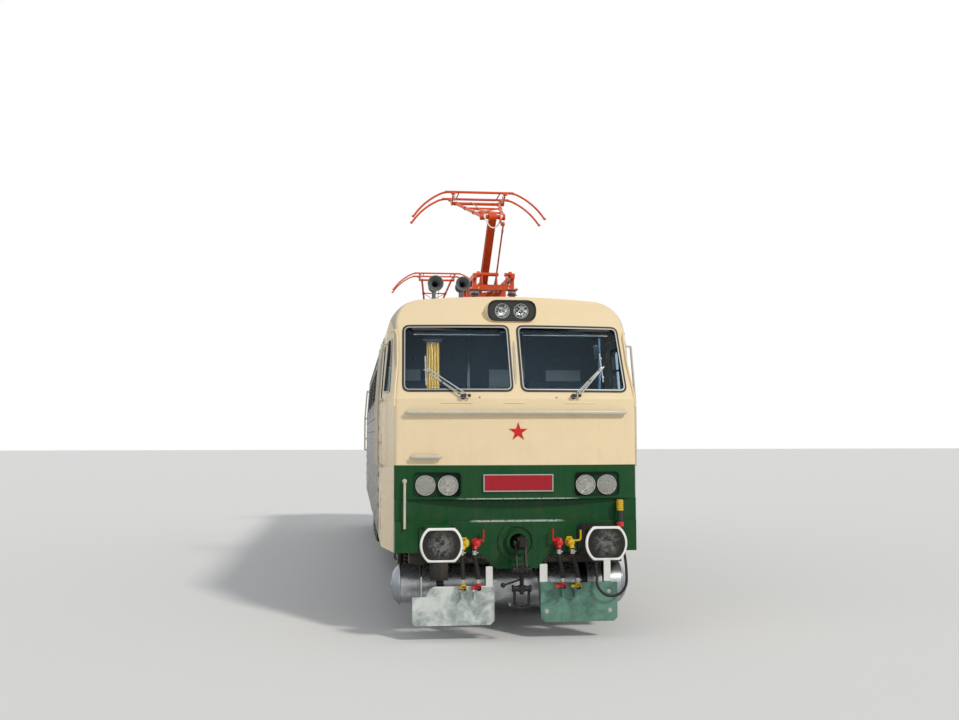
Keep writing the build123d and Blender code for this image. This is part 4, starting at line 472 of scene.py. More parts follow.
def add_frame(shape, outer, inner, place, depth):
    """A flat ring between two outlines of as many points, mapped into space by place(u, v, out)."""
    count = len(outer)
    layers = []
    for out in (0.0, depth):
        layers.append(([shape.verts.new(place(u, v, out)) for u, v in outer],
                       [shape.verts.new(place(u, v, out)) for u, v in inner]))
    for n in range(count):
        m = (n + 1) % count
        (o0, i0), (o1, i1) = layers
        shape.faces.new((o0[n], o0[m], o1[m], o1[n]))
        shape.faces.new((i0[m], i0[n], i1[n], i1[m]))
        shape.faces.new((o1[n], o1[m], i1[m], i1[n]))
        shape.faces.new((o0[m], o0[n], i0[n], i0[m]))


def mask_y(x, z=0.0, off=0.0):
    """Y of the bowed mask at x and z, moved off its surface towards the front."""
    rake = (SCREEN_TOP_Y - NOSE_Y) / (RAKE_TOP_Z - WAIST_Z)
    bow = NOSE_BOW - max(0.0, z - WAIST_Z) * rake
    return NOSE_Y + NOSE_BOW - sqrt(bow ** 2 - x ** 2) - off


def on_mask(x, z, off=0.0):
    """A point of the mask, moved off its surface."""
    return Vector((x, mask_y(x, z, off), z))


def wall_x(z):
    """Outer half width of the body side at a height."""
    if z <= WAIST_Z:
        return HALF_WIDTH
    return HALF_WIDTH - (z - WAIST_Z) * (HALF_WIDTH - SHOULDER_X) / (SHOULDER_Z - WAIST_Z)


# Repeats, made with geometry nodes

def repeat_tree(name, inputs):
    """An empty geometry node tree with named inputs: numbers, one size of three numbers, and a material."""
    tree = bpy.data.node_groups.new(name, "GeometryNodeTree")
    tree.interface.new_socket(name="Geometry", in_out="INPUT", socket_type="NodeSocketGeometry")
    for label, default in inputs.items():
        kind = "NodeSocketVector" if isinstance(default, tuple) else "NodeSocketFloat"
        tree.interface.new_socket(name=label, in_out="INPUT", socket_type=kind).default_value = default
    tree.interface.new_socket(name="Material", in_out="INPUT", socket_type="NodeSocketMaterial")
    tree.interface.new_socket(name="Geometry", in_out="OUTPUT", socket_type="NodeSocketGeometry")
    return tree, tree.nodes.new("NodeGroupInput").outputs


def close_tree(tree, given, instance, facing=True):
    """Set an instance on every point, facing the points' own direction, then realize and paint it."""
    points = add_node(tree, "GeometryNodeMeshToPoints", {"Mesh": given["Geometry"]}).outputs[0]
    placed = add_node(tree, "GeometryNodeInstanceOnPoints", {"Points": points, "Instance": instance})
    if facing:
        way = add_node(tree, "GeometryNodeInputNamedAttribute", {"Name": "facing"}, data_type="FLOAT_VECTOR")
        align = add_node(tree, "FunctionNodeAlignRotationToVector", {"Vector": way.outputs[0]}, axis="Z")
        feed(tree, align.outputs[0], placed.inputs["Rotation"])
    real = add_node(tree, "GeometryNodeRealizeInstances", {0: placed.outputs[0]}).outputs[0]
    paint = add_node(tree, "GeometryNodeSetMaterial", {"Geometry": real, "Material": given["Material"]})
    feed(tree, paint.outputs[0], tree.nodes.new("NodeGroupOutput").inputs["Geometry"])
    return tree


def bolt_tree():
    """Bolt heads with washers."""
    tree, given = repeat_tree("Bolts", {"Head radius": 0.012, "Head height": 0.009})
    radius, height = given["Head radius"], given["Head height"]
    head = add_node(tree, "GeometryNodeMeshCylinder", {"Vertices": 6, "Radius": radius, "Depth": height})
    lift = add_node(tree, "ShaderNodeCombineXYZ", {"Z": calc(tree, "MULTIPLY", height, 0.5)})
    raised = add_node(tree, "GeometryNodeTransform",
                      {"Geometry": head.outputs["Mesh"], "Translation": lift.outputs[0]})
    washer = add_node(tree, "GeometryNodeMeshCylinder", {
        "Vertices": 14, "Radius": calc(tree, "MULTIPLY", radius, 1.45),
        "Depth": calc(tree, "MULTIPLY", height, 0.5)})
    pair = add_node(tree, "GeometryNodeJoinGeometry")
    join(tree, (raised.outputs[0], pair.inputs[0]), (washer.outputs["Mesh"], pair.inputs[0]))
    return close_tree(tree, given, pair.outputs[0])


def rivet_tree():
    """Domed rivets."""
    tree, given = repeat_tree("Rivets", {"Radius": 0.006, "Rise": 0.4})
    ball = add_node(tree, "GeometryNodeMeshUVSphere", {"Segments": 8, "Rings": 5, "Radius": given["Radius"]})
    scale = add_node(tree, "ShaderNodeCombineXYZ", {"X": 1.0, "Y": 1.0, "Z": given["Rise"]})
    flat = add_node(tree, "GeometryNodeTransform",
                    {"Geometry": ball.outputs["Mesh"], "Scale": scale.outputs[0]})
    return close_tree(tree, given, flat.outputs[0])


def spring_tree():
    """Upright coil springs."""
    tree, given = repeat_tree("Coil springs",
                              {"Coil radius": 0.07, "Wire radius": 0.014, "Height": 0.3, "Turns": 6.0})
    spiral = add_node(tree, "GeometryNodeCurveSpiral", {
        "Resolution": 22, "Rotations": given["Turns"], "Start Radius": given["Coil radius"],
        "End Radius": given["Coil radius"], "Height": given["Height"]})
    wire = add_node(tree, "GeometryNodeCurvePrimitiveCircle",
                    {"Resolution": 8, "Radius": given["Wire radius"]})
    sweep = add_node(tree, "GeometryNodeCurveToMesh", {
        "Fill Caps": True, "Curve": spiral.outputs[0], "Profile Curve": wire.outputs[0]})
    return close_tree(tree, given, sweep.outputs[0], facing=False)


def bar_tree():
    """Straight bars of a rectangular section, one on each point, along the points' own direction."""
    tree, given = repeat_tree("Bars", {"Size": (0.02, 0.02, 1.0)})
    bar = add_node(tree, "GeometryNodeMeshCube", {"Size": given["Size"]})
    return close_tree(tree, given, bar.outputs["Mesh"])


TREES = {"bolts": bolt_tree(), "rivets": rivet_tree(), "springs": spring_tree(), "bars": bar_tree()}


def repeat_on(name, spots, tree, values, finish, body="loco_body", facings=None, smooth=30):
    """Run a repeat tree on points and keep its result as a plain mesh that rides on a body."""
    data = bpy.data.meshes.new(name + "_points")
    data.from_pydata([tuple(spot) for spot in spots], [], [])
    if facings:
        ways = data.attributes.new("facing", "FLOAT_VECTOR", "POINT")
        for item, way in zip(ways.data, facings):
            item.vector = Vector(way).normalized()
    carrier = bpy.data.objects.new(name + "_points", data)
    bpy.context.scene.collection.objects.link(carrier)
    modifier = carrier.modifiers.new("repeat", "NODES")
    modifier.node_group = TREES[tree]
    sockets = {item.name: item.identifier for item in TREES[tree].interface.items_tree
               if item.in_out == "INPUT"}
    for label, value in {**values, "Material": finish_of(finish)}.items():
        modifier[sockets[label]] = value
    bpy.context.view_layer.update()
    graph = bpy.context.evaluated_depsgraph_get()
    result = bpy.data.meshes.new_from_object(carrier.evaluated_get(graph), preserve_all_data_layers=True,
                                             depsgraph=graph)
    carrier.modifiers.clear()
    bpy.data.objects.remove(carrier)
    bpy.data.meshes.remove(data)
    return own_mesh(result, name, finish, body, smooth)


def repeat_both(name, marks, tree, values, finish):
    """Run a repeat tree on marks, each a point and its facing, at the front and turned round at the rear."""
    marks = [*marks, *[((-x, -y, z), (-way[0], -way[1], way[2])) for (x, y, z), way in marks]]
    spots, facings = zip(*marks)
    return repeat_on(name, spots, tree, values, finish, facings=facings)


def bolt_size(radius, height):
    """The values of the bolt tree."""
    return {"Head radius": radius, "Head height": height}


# Finishes

INSIDE_PALE = srgb(176, 172, 150)
PLATE_MIDDLE_Z = RAIL + 1.6815


def livery(settings):
    """Cab paint: cream above, green on the lower front, grey on the roof and a pale inside."""
    material, tree, shader = new_material("cab_livery")
    x, across, out, z = place_parts(tree)
    green = all_of(tree, below(tree, z, BORDER_Z), above(tree, out, 7.765, 0.001))
    roof = all_of(tree, above(tree, z, SHOULDER_Z + 0.075), below(tree, out, 7.02))
    # The inside lies a wall's thickness behind the raked and bowed front
    bow = calc(tree, "MULTIPLY", calc(tree, "POWER", x, 2.0), 1 / (2 * NOSE_BOW))
    rise = spread(tree, z, WAIST_Z, SCREEN_TOP_Z, 0.0, SCREEN_TOP_Y - NOSE_Y)
    brow = spread(tree, z, SCREEN_TOP_Z, RAIL + 3.75, 0.0, 0.24)
    reach = calc(tree, "ADD", calc(tree, "ADD", bow, out), calc(tree, "ADD", rise, brow))
    lean = spread(tree, z, WAIST_Z, SHOULDER_Z, 0.0, HALF_WIDTH - SHOULDER_X)
    taper = spread(tree, out, 7.11, 7.91, 0.0, 0.140)
    wide = calc(tree, "ADD", calc(tree, "ADD", across, lean), taper)
    inside = all_of(tree, below(tree, reach, -NOSE_Y - 0.035), below(tree, wide, HALF_WIDTH - 0.035),
                    below(tree, z, RAIL + 3.735), above(tree, z, LEDGE_Z + 0.06))
    shoe = all_of(tree, between(tree, z, STEP_Z - 0.012, STEP_Z + 0.006), below(tree, across, 0.50, 0.04))
    edge = all_of(tree, between(tree, z, LEDGE_Z - 0.004, LEDGE_Z + 0.012), below(tree, across, 0.62, 0.08))
    patch = spread(tree, noise(tree, 26.0, 6.0, 0.7), 0.38, 0.50)
    bare = all_of(tree, calc(tree, "MAXIMUM", shoe, edge), patch, above(tree, out, 7.75))
    color = painted(tree, settings.cream, (green, settings.green), (roof, settings.roof),
                    (inside, INSIDE_PALE), (bare, srgb(186, 190, 184)))
    uneven = dress(tree, shader, color, (srgb(104, 84, 62), 0.20, 0.5, 3.4, 0.26), (0.035, 1.4, 140.0))
    tune(tree, shader,
         {"Metallic": bare, "Specular IOR Level": 0.18, "Coat Weight": 0.03, "Coat Roughness": 0.10})
    ripple = calc(tree, "ADD", calc(tree, "MULTIPLY", uneven["Height"], 0.02), noise(tree, 1.6, 2.0))
    add_bump(tree, shader, ripple, 0.25, 0.006)
    return material


def door_paint(settings):
    """Cab doors: cream outside, pale inside and bare metal on the fittings."""
    material, tree, shader = new_material("door_paint")
    _, across, _, z = place_parts(tree)
    wide = calc(tree, "ADD", across, spread(tree, z, WAIST_Z, SHOULDER_Z, 0.0, HALF_WIDTH - SHOULDER_X))
    metal = above(tree, wide, HALF_WIDTH + 0.012)
    color = painted(tree, settings.cream, (below(tree, wide, HALF_WIDTH - 0.030), INSIDE_PALE),
                    (metal, srgb(190, 190, 184)))
    uneven = dress(tree, shader, color, (DUST, 0.42, 1.5, 3.6, 0.3), (0.05, 2.2, 140.0))
    tune(tree, shader, {"Metallic": metal, "Coat Weight": 0.2})
    add_bump(tree, shader, uneven["Height"], 0.05, 0.002)
    return material


def side_paint(settings):
    """Machine room sides: grey, dustier lower down, and a darker grey from the window band up to the roof."""
    material, tree, shader = new_material("side_paint")
    _, across, _, z = place_parts(tree)
    # A darker grey over the upper wall, from the window band up to the roof
    darker_top = all_of(tree, above(tree, z, RAIL + 2.72, 0.03), below(tree, across, HALF_WIDTH - 0.002, 0.004))
    color = blend_colors(tree, darker_top, settings.sides, srgb(104, 104, 98))
    uneven = dress(tree, shader, color, (srgb(72, 58, 45), 0.75, 0.7, 3.9, 0.42), (0.10, 1.1, 90.0),
                   (0.25, 14.0, srgb(178, 176, 168)))
    add_bump(tree, shader, uneven["Mask"], 0.3, 0.004)
    return material


def buffer_paint():
    """Buffers: a white rim round a black, greased face, a dark stock behind, and a green base plate at
    negative x; the other base plate keeps the stock's dark colour as painted shade.
    """
    material, tree, shader = new_material("buffer_paint")
    x, across, out, z = place_parts(tree)
    beside = calc(tree, "SUBTRACT", across, BUFFER_X)
    over = calc(tree, "SUBTRACT", z, BUFFER_Z)
    radius = calc(tree, "SQRT",
                  calc(tree, "ADD", *(calc(tree, "MULTIPLY", reach, reach) for reach in (beside, over))))
    # The rim follows the plate: a circle with its top and bottom cut flat
    to_flat = calc(tree, "SUBTRACT", 0.1775, calc(tree, "ABSOLUTE", over))
    to_edge = calc(tree, "SMOOTH_MIN", calc(tree, "SUBTRACT", 0.225, radius), to_flat, 0.03)
    plate = above(tree, out, -BUFFER_FACE_Y - 0.026, 0.001)
    rim = all_of(tree, below(tree, to_edge, 0.024, 0.0015), plate)
    smear = noise(tree, 16.0, 7.0, 0.66, 1.2)
    greased = all_of(tree, spread(tree, smear, 0.40, 0.58), spread(tree, radius, 0.16, 0.06), plate)
    # Only the base plate at negative x is green; the other one stays dark as a painted shade
    base = all_of(tree, below(tree, out, -FLANGE_FACE_Y + 0.001, 0.001), below(tree, x, 0.0))
    color = painted(tree, srgb(22, 23, 23), (greased, srgb(112, 114, 110)), (rim, srgb(236, 236, 230)),
                    (opposite(tree, plate), srgb(30, 33, 31)), (base, GREEN))
    dress(tree, shader, color, (srgb(84, 70, 56), 0.35, 0.8, 1.6, 0.38), (0.16, 9.0, 260.0))
    tune(tree, shader, {"Specular IOR Level": 0.28})
    add_bump(tree, shader, smear, 0.35, 0.003)
    return material


def plate_paint():
    """Number plate: a blank red field, slightly uneven, inside a pale metal border."""
    material, tree, shader = new_material("plate_paint")
    _, across, _, z = place_parts(tree)
    over = calc(tree, "ABSOLUTE", calc(tree, "SUBTRACT", z, PLATE_MIDDLE_Z))
    border = calc(tree, "MAXIMUM", above(tree, across, 0.374, 0.001), above(tree, over, 0.084, 0.001))
    color = blend_colors(tree, border, srgb(166, 24, 38), srgb(196, 190, 186))
    uneven = dress(tree, shader, color, (srgb(60, 30, 28), 0.4, 1.4, 3.0, 0.36), (0.28, 7.0, 120.0))
    tune(tree, shader, {"Specular IOR Level": 0.25})
    add_bump(tree, shader, uneven["Height"], 0.35, 0.003)
    return material


def plough_paint():
    """Ploughs of one spangled pale green-grey metal: the left plate light as a painted reflection of the
    bright sky, the right one darker green as a painted reflection of the ground, and white uprights.
    """
    material, tree, shader = new_material("plough_paint")
    place = own_place(tree)
    x, y, z = add_node(tree, "ShaderNodeSeparateXYZ", {0: place}).outputs
    hand = calc(tree, "MULTIPLY", spread(tree, calc(tree, "GREATER_THAN", y, 0.0), 0.0, 1.0, 1.0, -1.0), x)
    spangle = add_node(tree, "ShaderNodeTexVoronoi", {"Vector": place, "Scale": 34.0, "Randomness": 1.0})
    flake = add_node(tree, "ShaderNodeSeparateColor", {0: spangle.outputs["Color"]}).outputs[0]
    cloud = spread(tree, noise(tree, 5.5, 5.0, 0.6, 0.4), 0.38, 0.64)
    tone = calc(tree, "ADD", calc(tree, "MULTIPLY_ADD", flake, 0.28, 0.0), cloud, use_clamp=True)
    # Both plates are one metal: the left one's light grey and the right one's darker green are painted
    # reflections
    zinc_with_glare = blend_colors(tree, tone, srgb(138, 152, 150), srgb(208, 214, 210))
    green = blend_colors(tree, tone, srgb(62, 104, 90), srgb(98, 142, 124))
    right = above(tree, hand, 0.0, 0.001)
    inner = all_of(tree, opposite(tree, right), above(tree, z, RAIL + 0.553, 0.003))
    tall = calc(tree, "MAXIMUM", above(tree, z, RAIL + 0.600, 0.003), inner)
    back = below(tree, calc(tree, "ABSOLUTE", y), 7.849, 0.001)
    color = painted(tree, zinc_with_glare, (right, green), (tall, srgb(222, 224, 220)), (back, srgb(30, 30, 29)))
    dress(tree, shader, color, (srgb(96, 82, 66), 0.30, 0.15, 0.7, 0.34))
    tune(tree, shader, {"Metallic": 0.25})
    add_bump(tree, shader, tone, 0.12, 0.002)
    return material


def head_paint():
    """Hose heads: red on the brake pipe's and yellow on the reservoir pipe's, with a black foot."""
    material, tree, shader = new_material("head_paint")
    _, across, _, z = place_parts(tree)
    color = painted(tree, srgb(206, 36, 40), (above(tree, across, 0.545), srgb(214, 178, 36)),
                    (below(tree, z, RAIL + 0.552, 0.003), srgb(30, 30, 30)))
    uneven = dress(tree, shader, color, (srgb(70, 56, 44), 0.5, 0.3, 1.2, 0.38), (0.16, 18.0, 240.0),
                   (0.5, 40.0, srgb(120, 116, 110)))
    add_bump(tree, shader, uneven["Height"], 0.2, 0.002)
    return material


def plug_paint():
    """Jumper plugs: a yellow connector, a black sleeve and a red ring round the cable."""
    material, tree, shader = new_material("plug_paint")
    z = place_parts(tree)[3]
    color = painted(tree, srgb(26, 27, 27), (above(tree, z, RAIL + 1.372), srgb(222, 186, 30)),
                    (between(tree, z, RAIL + 1.196, RAIL + 1.248), srgb(206, 40, 42)))
    uneven = dress(tree, shader, color, (srgb(70, 60, 46), 0.45, 0.8, 2.0, 0.42), (0.14, 14.0, 260.0))
    add_bump(tree, shader, uneven["Height"], 0.2, 0.002)
    return material


def tank_paint():
    """Air reservoirs: silver paint, brushed round the shell, with grey domed ends and black straps."""
    material, tree, shader = new_material("tank_paint")
    across = place_parts(tree)[1]
    brushed = noise(tree, 3.0, 6.0, 0.6, stretch=(3.0, 26.0, 26.0))
    silver = blend_colors(tree, spread(tree, brushed, 0.3, 0.7), srgb(172, 176, 180), srgb(202, 205, 208))
    color = painted(tree, silver, (above(tree, across, 1.262, 0.004), srgb(150, 158, 166)),
                    (between(tree, across, 0.778, 0.862, 0.001), srgb(46, 47, 47)))
    dress(tree, shader, color, (srgb(70, 58, 46), 0.55, 0.25, 0.95, 0.24))
    tune(tree, shader, {"Metallic": 0.8})
    add_bump(tree, shader, brushed, 0.04, 0.002)
    return material


def glazing(name, tint):
    """Tinted glass with faint dust."""
    material, tree, shader = new_material(name)
    dust = noise(tree, 5.0, 6.0, 0.7)
    hue = blend_colors(tree, spread(tree, dust, 0.3, 0.8, 0.0, 0.12), tint, (0.55, 0.6, 0.62, 1.0))
    tune(tree, shader, {"Base Color": hue, "Roughness": spread(tree, dust, 0.35, 0.8, 0.01, 0.10),
                        "Transmission Weight": 1.0, "IOR": 1.20})
    # Daylight passes the pane straight, so that it reaches the inside
    shadow = add_node(tree, "ShaderNodeLightPath").outputs["Is Shadow Ray"]
    clear = add_node(tree, "ShaderNodeBsdfTransparent", {"Color": tint}).outputs[0]
    mixer = add_node(tree, "ShaderNodeMixShader", {0: shadow, 1: shader.outputs[0], 2: clear})
    feed(tree, mixer.outputs[0], tree.nodes["Material Output"].inputs["Surface"])
    return material


def lens_glass():
    """Pressed lamp glass with fine ribs."""
    material, tree, shader = new_material("lens_glass")
    place = own_place(tree)
    ribs, cross = (add_node(tree, "ShaderNodeTexWave", {"Vector": place, "Scale": scale, "Distortion": bend},
                            bands_direction=axis).outputs["Fac"]
                   for scale, bend, axis in ((34.0, 0.3, "X"), (9.0, 0.6, "Z")))
    tune(tree, shader, {"Base Color": blend_colors(tree, ribs, srgb(214, 212, 204), srgb(240, 240, 236)),
                        "Transmission Weight": 0.72, "Roughness": 0.16, "IOR": 1.45})
    add_bump(tree, shader, calc(tree, "ADD", ribs, cross), 0.5, 0.003)
    return material


def reflector_glints():
    """Lamp bowl of bright metal, painted light and dark in small cells as painted glints and dark reflections
    of mirror facets.
    """
    material, tree, shader = new_material("lamp_reflector")
    cells = add_node(tree, "ShaderNodeTexVoronoi", {"Vector": own_place(tree), "Scale": 46.0})
    tone = add_node(tree, "ShaderNodeSeparateColor", {0: cells.outputs["Color"]}).outputs
    # The light and dark cells are painted glints and painted dark reflections
    color = blend_colors(tree, spread(tree, tone[0], 0.15, 0.85), srgb(58, 60, 60), srgb(244, 246, 244))
    tune(tree, shader, {"Base Color": color, "Metallic": 1.0, "Roughness": 0.16})
    add_bump(tree, shader, tone[1], 0.4, 0.003)
    return material


def leather():
    """Worn black seat cover with grain and creases."""
    material, tree, shader = new_material("seat_leather")
    grain = add_node(tree, "ShaderNodeTexVoronoi",
                     {"Vector": own_place(tree), "Scale": 260.0}).outputs["Distance"]
    crease = noise(tree, 12.0, 6.0, 0.7)
    rubbed = spread(tree, crease, 0.45, 0.7)
    tune(tree, shader, {"Base Color": blend_colors(tree, rubbed, srgb(34, 33, 32), srgb(66, 62, 57)),
                        "Roughness": spread(tree, rubbed, 0.0, 1.0, 0.42, 0.62)})
    add_bump(tree, shader, calc(tree, "MULTIPLY_ADD", grain, 0.35, crease), 0.5, 0.002)
    return material


def make_finishes(settings):
    """Every finish by name. A coat's numbers stand in the order that coat() tells."""
    oily = srgb(30, 24, 18)
    return {
        "livery": livery(settings),
        "door": door_paint(settings),
        "sides": side_paint(settings),
        "roof": coat("roof_paint", settings.roof, 0.55, 0.55, 3.0, 5.2, SOOT, 0.14, 0.9, 60.0, 0.25,
                     wear=0.2, wear_scale=9.0),
        # The inside's light blue-grey is partly painted reflection: it stands in for the sky's sheen on the
        # windscreens
        "interior": coat("interior_paint", srgb(104, 128, 144), 0.5, 0.2, 1.5, 3.0, DUST, 0.06, 2.0, 150.0,
                         0.08),
        "frame": coat("frame_paint", srgb(40, 41, 40), 0.55, 0.8, 0.3, 1.9, srgb(82, 66, 50), 0.25, 3.0,
                      70.0, 0.3, wear=0.3, wear_scale=10.0, metal=srgb(92, 80, 66), gloss=0.25),
        "bogie": coat("bogie_paint", srgb(46, 46, 45), 0.62, 1.0, 0.1, 1.5, srgb(98, 76, 54), 0.3, 3.4,
                      60.0, 0.35, wear=0.35, wear_scale=12.0, metal=srgb(88, 68, 50), gloss=0.25),
        # The cab glass's blue tint is a painted reflection of the sky
        "glass": glazing("cab_glazing", srgb(212, 232, 246)),
        "room_glass": glazing("room_glazing", srgb(104, 122, 126)),
        "rubber": coat("window_rubber", srgb(24, 24, 24), 0.62, 0.35, 1.5, 4.5, srgb(90, 84, 74), 0.2, 12.0,
                       300.0, 0.2),
        "hose": coat("hose_rubber", srgb(26, 26, 26), 0.5, 0.45, 0.3, 1.6, srgb(84, 70, 56), 0.2, 20.0,
                     420.0, 0.4, gloss=0.3),
        "tray": coat("tray_paint", srgb(8, 52, 28), 0.4, 0.3, 1.2, 3.0, SOOT, 0.12, 8.0, 200.0, 0.1,
                     gloss=0.2),
        "chrome": coat("lamp_rim", srgb(196, 196, 190), 0.24, 0.25, 1.3, 4.0, srgb(90, 80, 68), 0.10, 10.0,
                       200.0, 0.08, metallic=0.9),
        "reflector": reflector_glints(),
        "lens": lens_glass(),
        "head_lens": glazing("head_lens", srgb(236, 238, 236)),
        "plate": plate_paint(),
        "star": coat("star_enamel", srgb(204, 30, 20), 0.22, 0.12, 1.0, 4.0, SOOT, 0.06, 9.0, 200.0, 0.04,
                     clearcoat=0.1, gloss=0.3),
        "rail": coat("rail_paint", srgb(204, 197, 178), 0.34, 0.35, 0.6, 3.4, DUST, 0.10, 6.0, 160.0, 0.08,
                     wear=0.55, wear_scale=30.0, metal=srgb(150, 146, 138)),
        "wiper": coat("wiper_metal", srgb(188, 188, 184), 0.3, 0.2, 1.5, 4.5, DUST, 0.12, 20.0, 300.0, 0.08,
                      metallic=0.7),
        "buffer": buffer_paint(),
        "black": coat("coupling_black", srgb(22, 22, 22), 0.42, 0.5, 0.2, 1.5, srgb(46, 40, 34), 0.3, 14.0,
                      180.0, 0.4, wear=0.5, wear_scale=24.0, metal=srgb(98, 94, 88), gloss=0.3),
        "hook": coat("hook_grease", srgb(38, 35, 32), 0.3, 0.5, 0.5, 1.5, oily, 0.35, 16.0, 140.0, 0.5,
                     metallic=0.2, gloss=0.3, wear=0.6, wear_scale=18.0, metal=srgb(132, 128, 122)),
        "red": coat("red_cock", srgb(196, 20, 28), 0.32, 0.3, 0.4, 1.5, srgb(70, 40, 32), 0.10, 14.0, 200.0,
                    0.12, wear=0.3, gloss=0.35),
        "yellow": coat("yellow_cock", srgb(214, 178, 20), 0.34, 0.3, 0.4, 1.5, srgb(70, 60, 32), 0.10, 14.0,
                       200.0, 0.12, wear=0.3, gloss=0.35),
        "plough": plough_paint(),
        "head": head_paint(),
        "plug": plug_paint(),
        "tank": tank_paint(),
        "desk": coat("desk_moulding", srgb(78, 84, 78), 0.5, 0.25, 1.4, 2.6, DUST, 0.10, 6.0, 320.0, 0.2,
                     wear=0.2),
        "seat": leather(),
        "horn": coat("horn_metal", srgb(112, 116, 116), 0.45, 0.5, 3.4, 4.6, SOOT, 0.16, 9.0, 160.0, 0.15,
                     wear=0.3),
        "glaze": coat("insulator_glaze", srgb(96, 44, 28), 0.16, 0.4, 3.6, 4.6, srgb(64, 56, 48), 0.16, 9.0,
                      100.0, 0.05, clearcoat=0.6),
        "copper": coat("busbar_copper", srgb(132, 84, 56), 0.42, 0.5, 3.8, 4.6, srgb(60, 70, 58), 0.25, 5.0,
                       120.0, 0.1, metallic=0.6),
        # Its dark red dirt, thicker lower down, is partly painted shade
        "pantograph": coat("pantograph_paint", srgb(226, 82, 24), 0.34, 0.45, 3.6, 6.4, srgb(64, 20, 10),
                           0.20, 6.0, 150.0, 0.12, clearcoat=0.08, wear=0.3, wear_scale=20.0, gloss=0.3),
        "carbon": coat("contact_carbon", srgb(44, 44, 45), 0.4, 0.2, 4.0, 6.5, SOOT, 0.25, 30.0, 300.0, 0.2,
                       metallic=0.3),
        "wheel": coat("wheel_steel", srgb(92, 82, 72), 0.42, 0.7, 0.0, 1.4, srgb(76, 56, 40), 0.25, 4.0,
                      80.0, 0.25, metallic=0.55, wear=0.5, wear_scale=16.0, metal=srgb(140, 136, 130)),
        "tread": coat("tread_steel", srgb(170, 168, 164), 0.22, 0.15, 0.0, 1.4, srgb(90, 70, 52), 0.14, 8.0,
                      120.0, 0.08, metallic=1.0),
        "spring": coat("spring_steel", srgb(58, 56, 52), 0.5, 0.8, 0.1, 1.5, srgb(96, 76, 56), 0.25, 9.0,
                       120.0, 0.3, gloss=0.3, wear=0.4, wear_scale=20.0, metal=srgb(112, 104, 92)),
        "shoe": coat("brake_shoe_iron", srgb(74, 58, 46), 0.75, 0.6, 0.1, 1.5, srgb(104, 72, 46), 0.35,
                     16.0, 140.0, 0.5, gloss=0.3),
        "plank": coat("walkway_plank", srgb(122, 112, 96), 0.8, 0.4, 3.5, 4.6, SOOT, 0.3, 3.0, 240.0, 0.5,
                      gloss=0.3),
        "bright": coat("bright_steel", srgb(186, 188, 186), 0.3, 0.2, 0.1, 1.6, DUST, 0.12, 30.0, 220.0,
                       0.10, metallic=0.75),
        "white": coat("white_enamel", srgb(232, 232, 226), 0.36, 0.3, 0.2, 1.6, DUST, 0.06, 9.0, 200.0, 0.08),
        "cream": coat("cream_enamel", settings.cream, 0.3, 0.25, 1.0, 3.8, DUST, 0.05, 3.0, 150.0, 0.05),
        "green": coat("green_enamel", settings.green, 0.3, 0.3, 0.6, 2.4, DUST, 0.08, 4.0, 150.0, 0.06,
                      gloss=0.18),
        "silver": coat("trim_silver", srgb(178, 178, 172), 0.28, 0.2, 1.0, 4.2, DUST, 0.10, 18.0, 240.0,
                       0.06, metallic=0.8),
        "curtain": coat("curtain_cloth", srgb(246, 190, 104), 0.85, 0.1, 1.5, 3.6, DUST, 0.10, 12.0, 600.0,
                        0.5),
    }


NODE_FINISH = {
    "front_cab_shell": "livery", "rear_cab_shell": "livery", "cab_glass": "glass", "window_seals": "rubber",
    "machine_room_walls": "sides", "machine_room_glass": "room_glass", "main_roof": "roof",
    "cab_bulkheads": "interior",
    "underframe": "frame", "forehead_lamp_housings": "cream", "lamps": "chrome", "number_plates": "plate",
    "stars": "star",
    "handrails": "rail", "wipers": "wiper", "buffers": "buffer", "draw_hooks": "hook",
    "screw_couplings": "black",
    "red_brake_cocks": "red", "yellow_brake_cocks": "yellow", "hose_heads": "head", "jumper_plug": "plug",
    "snow_ploughs": "plough", "main_reservoirs": "tank", "transformer": "frame", "underfloor_boxes": "frame",
    "driver_desks": "desk", "cab_seats": "seat", "horns": "horn", "roof_insulators": "glaze",
    "pantograph_bases": "pantograph", "roof_busbar": "copper",
}


def node_finish(name):
    """The finish of a CAD node."""
    if name in NODE_FINISH:
        return NODE_FINISH[name]
    if name.endswith("_door"):
        return "door"
    if name.startswith("wheelset"):
        return "wheel"
    if "bogie" in name or "motors" in name:
        return "bogie"
    if name.startswith("hose") or name.startswith("jumper"):
        return "hose"
    return "pantograph"


# Settings

class LOCO_PG_paint(bpy.types.PropertyGroup):
    """Colours of the locomotive's coats."""
    cream: bpy.props.FloatVectorProperty(name="Cream", description="Upper body colour", subtype="COLOR",
                                         size=4, default=CREAM, min=0.0, max=1.0)
    green: bpy.props.FloatVectorProperty(name="Green", description="Colour of the lower front",
                                         subtype="COLOR", size=4, default=GREEN, min=0.0, max=1.0)
    sides: bpy.props.FloatVectorProperty(name="Sides", description="Machine room side colour",
                                         subtype="COLOR", size=4, default=PANEL_GREY, min=0.0, max=1.0)
    roof: bpy.props.FloatVectorProperty(name="Roof", description="Roof colour", subtype="COLOR", size=4,
                                        default=ROOF_GREY, min=0.0, max=1.0)


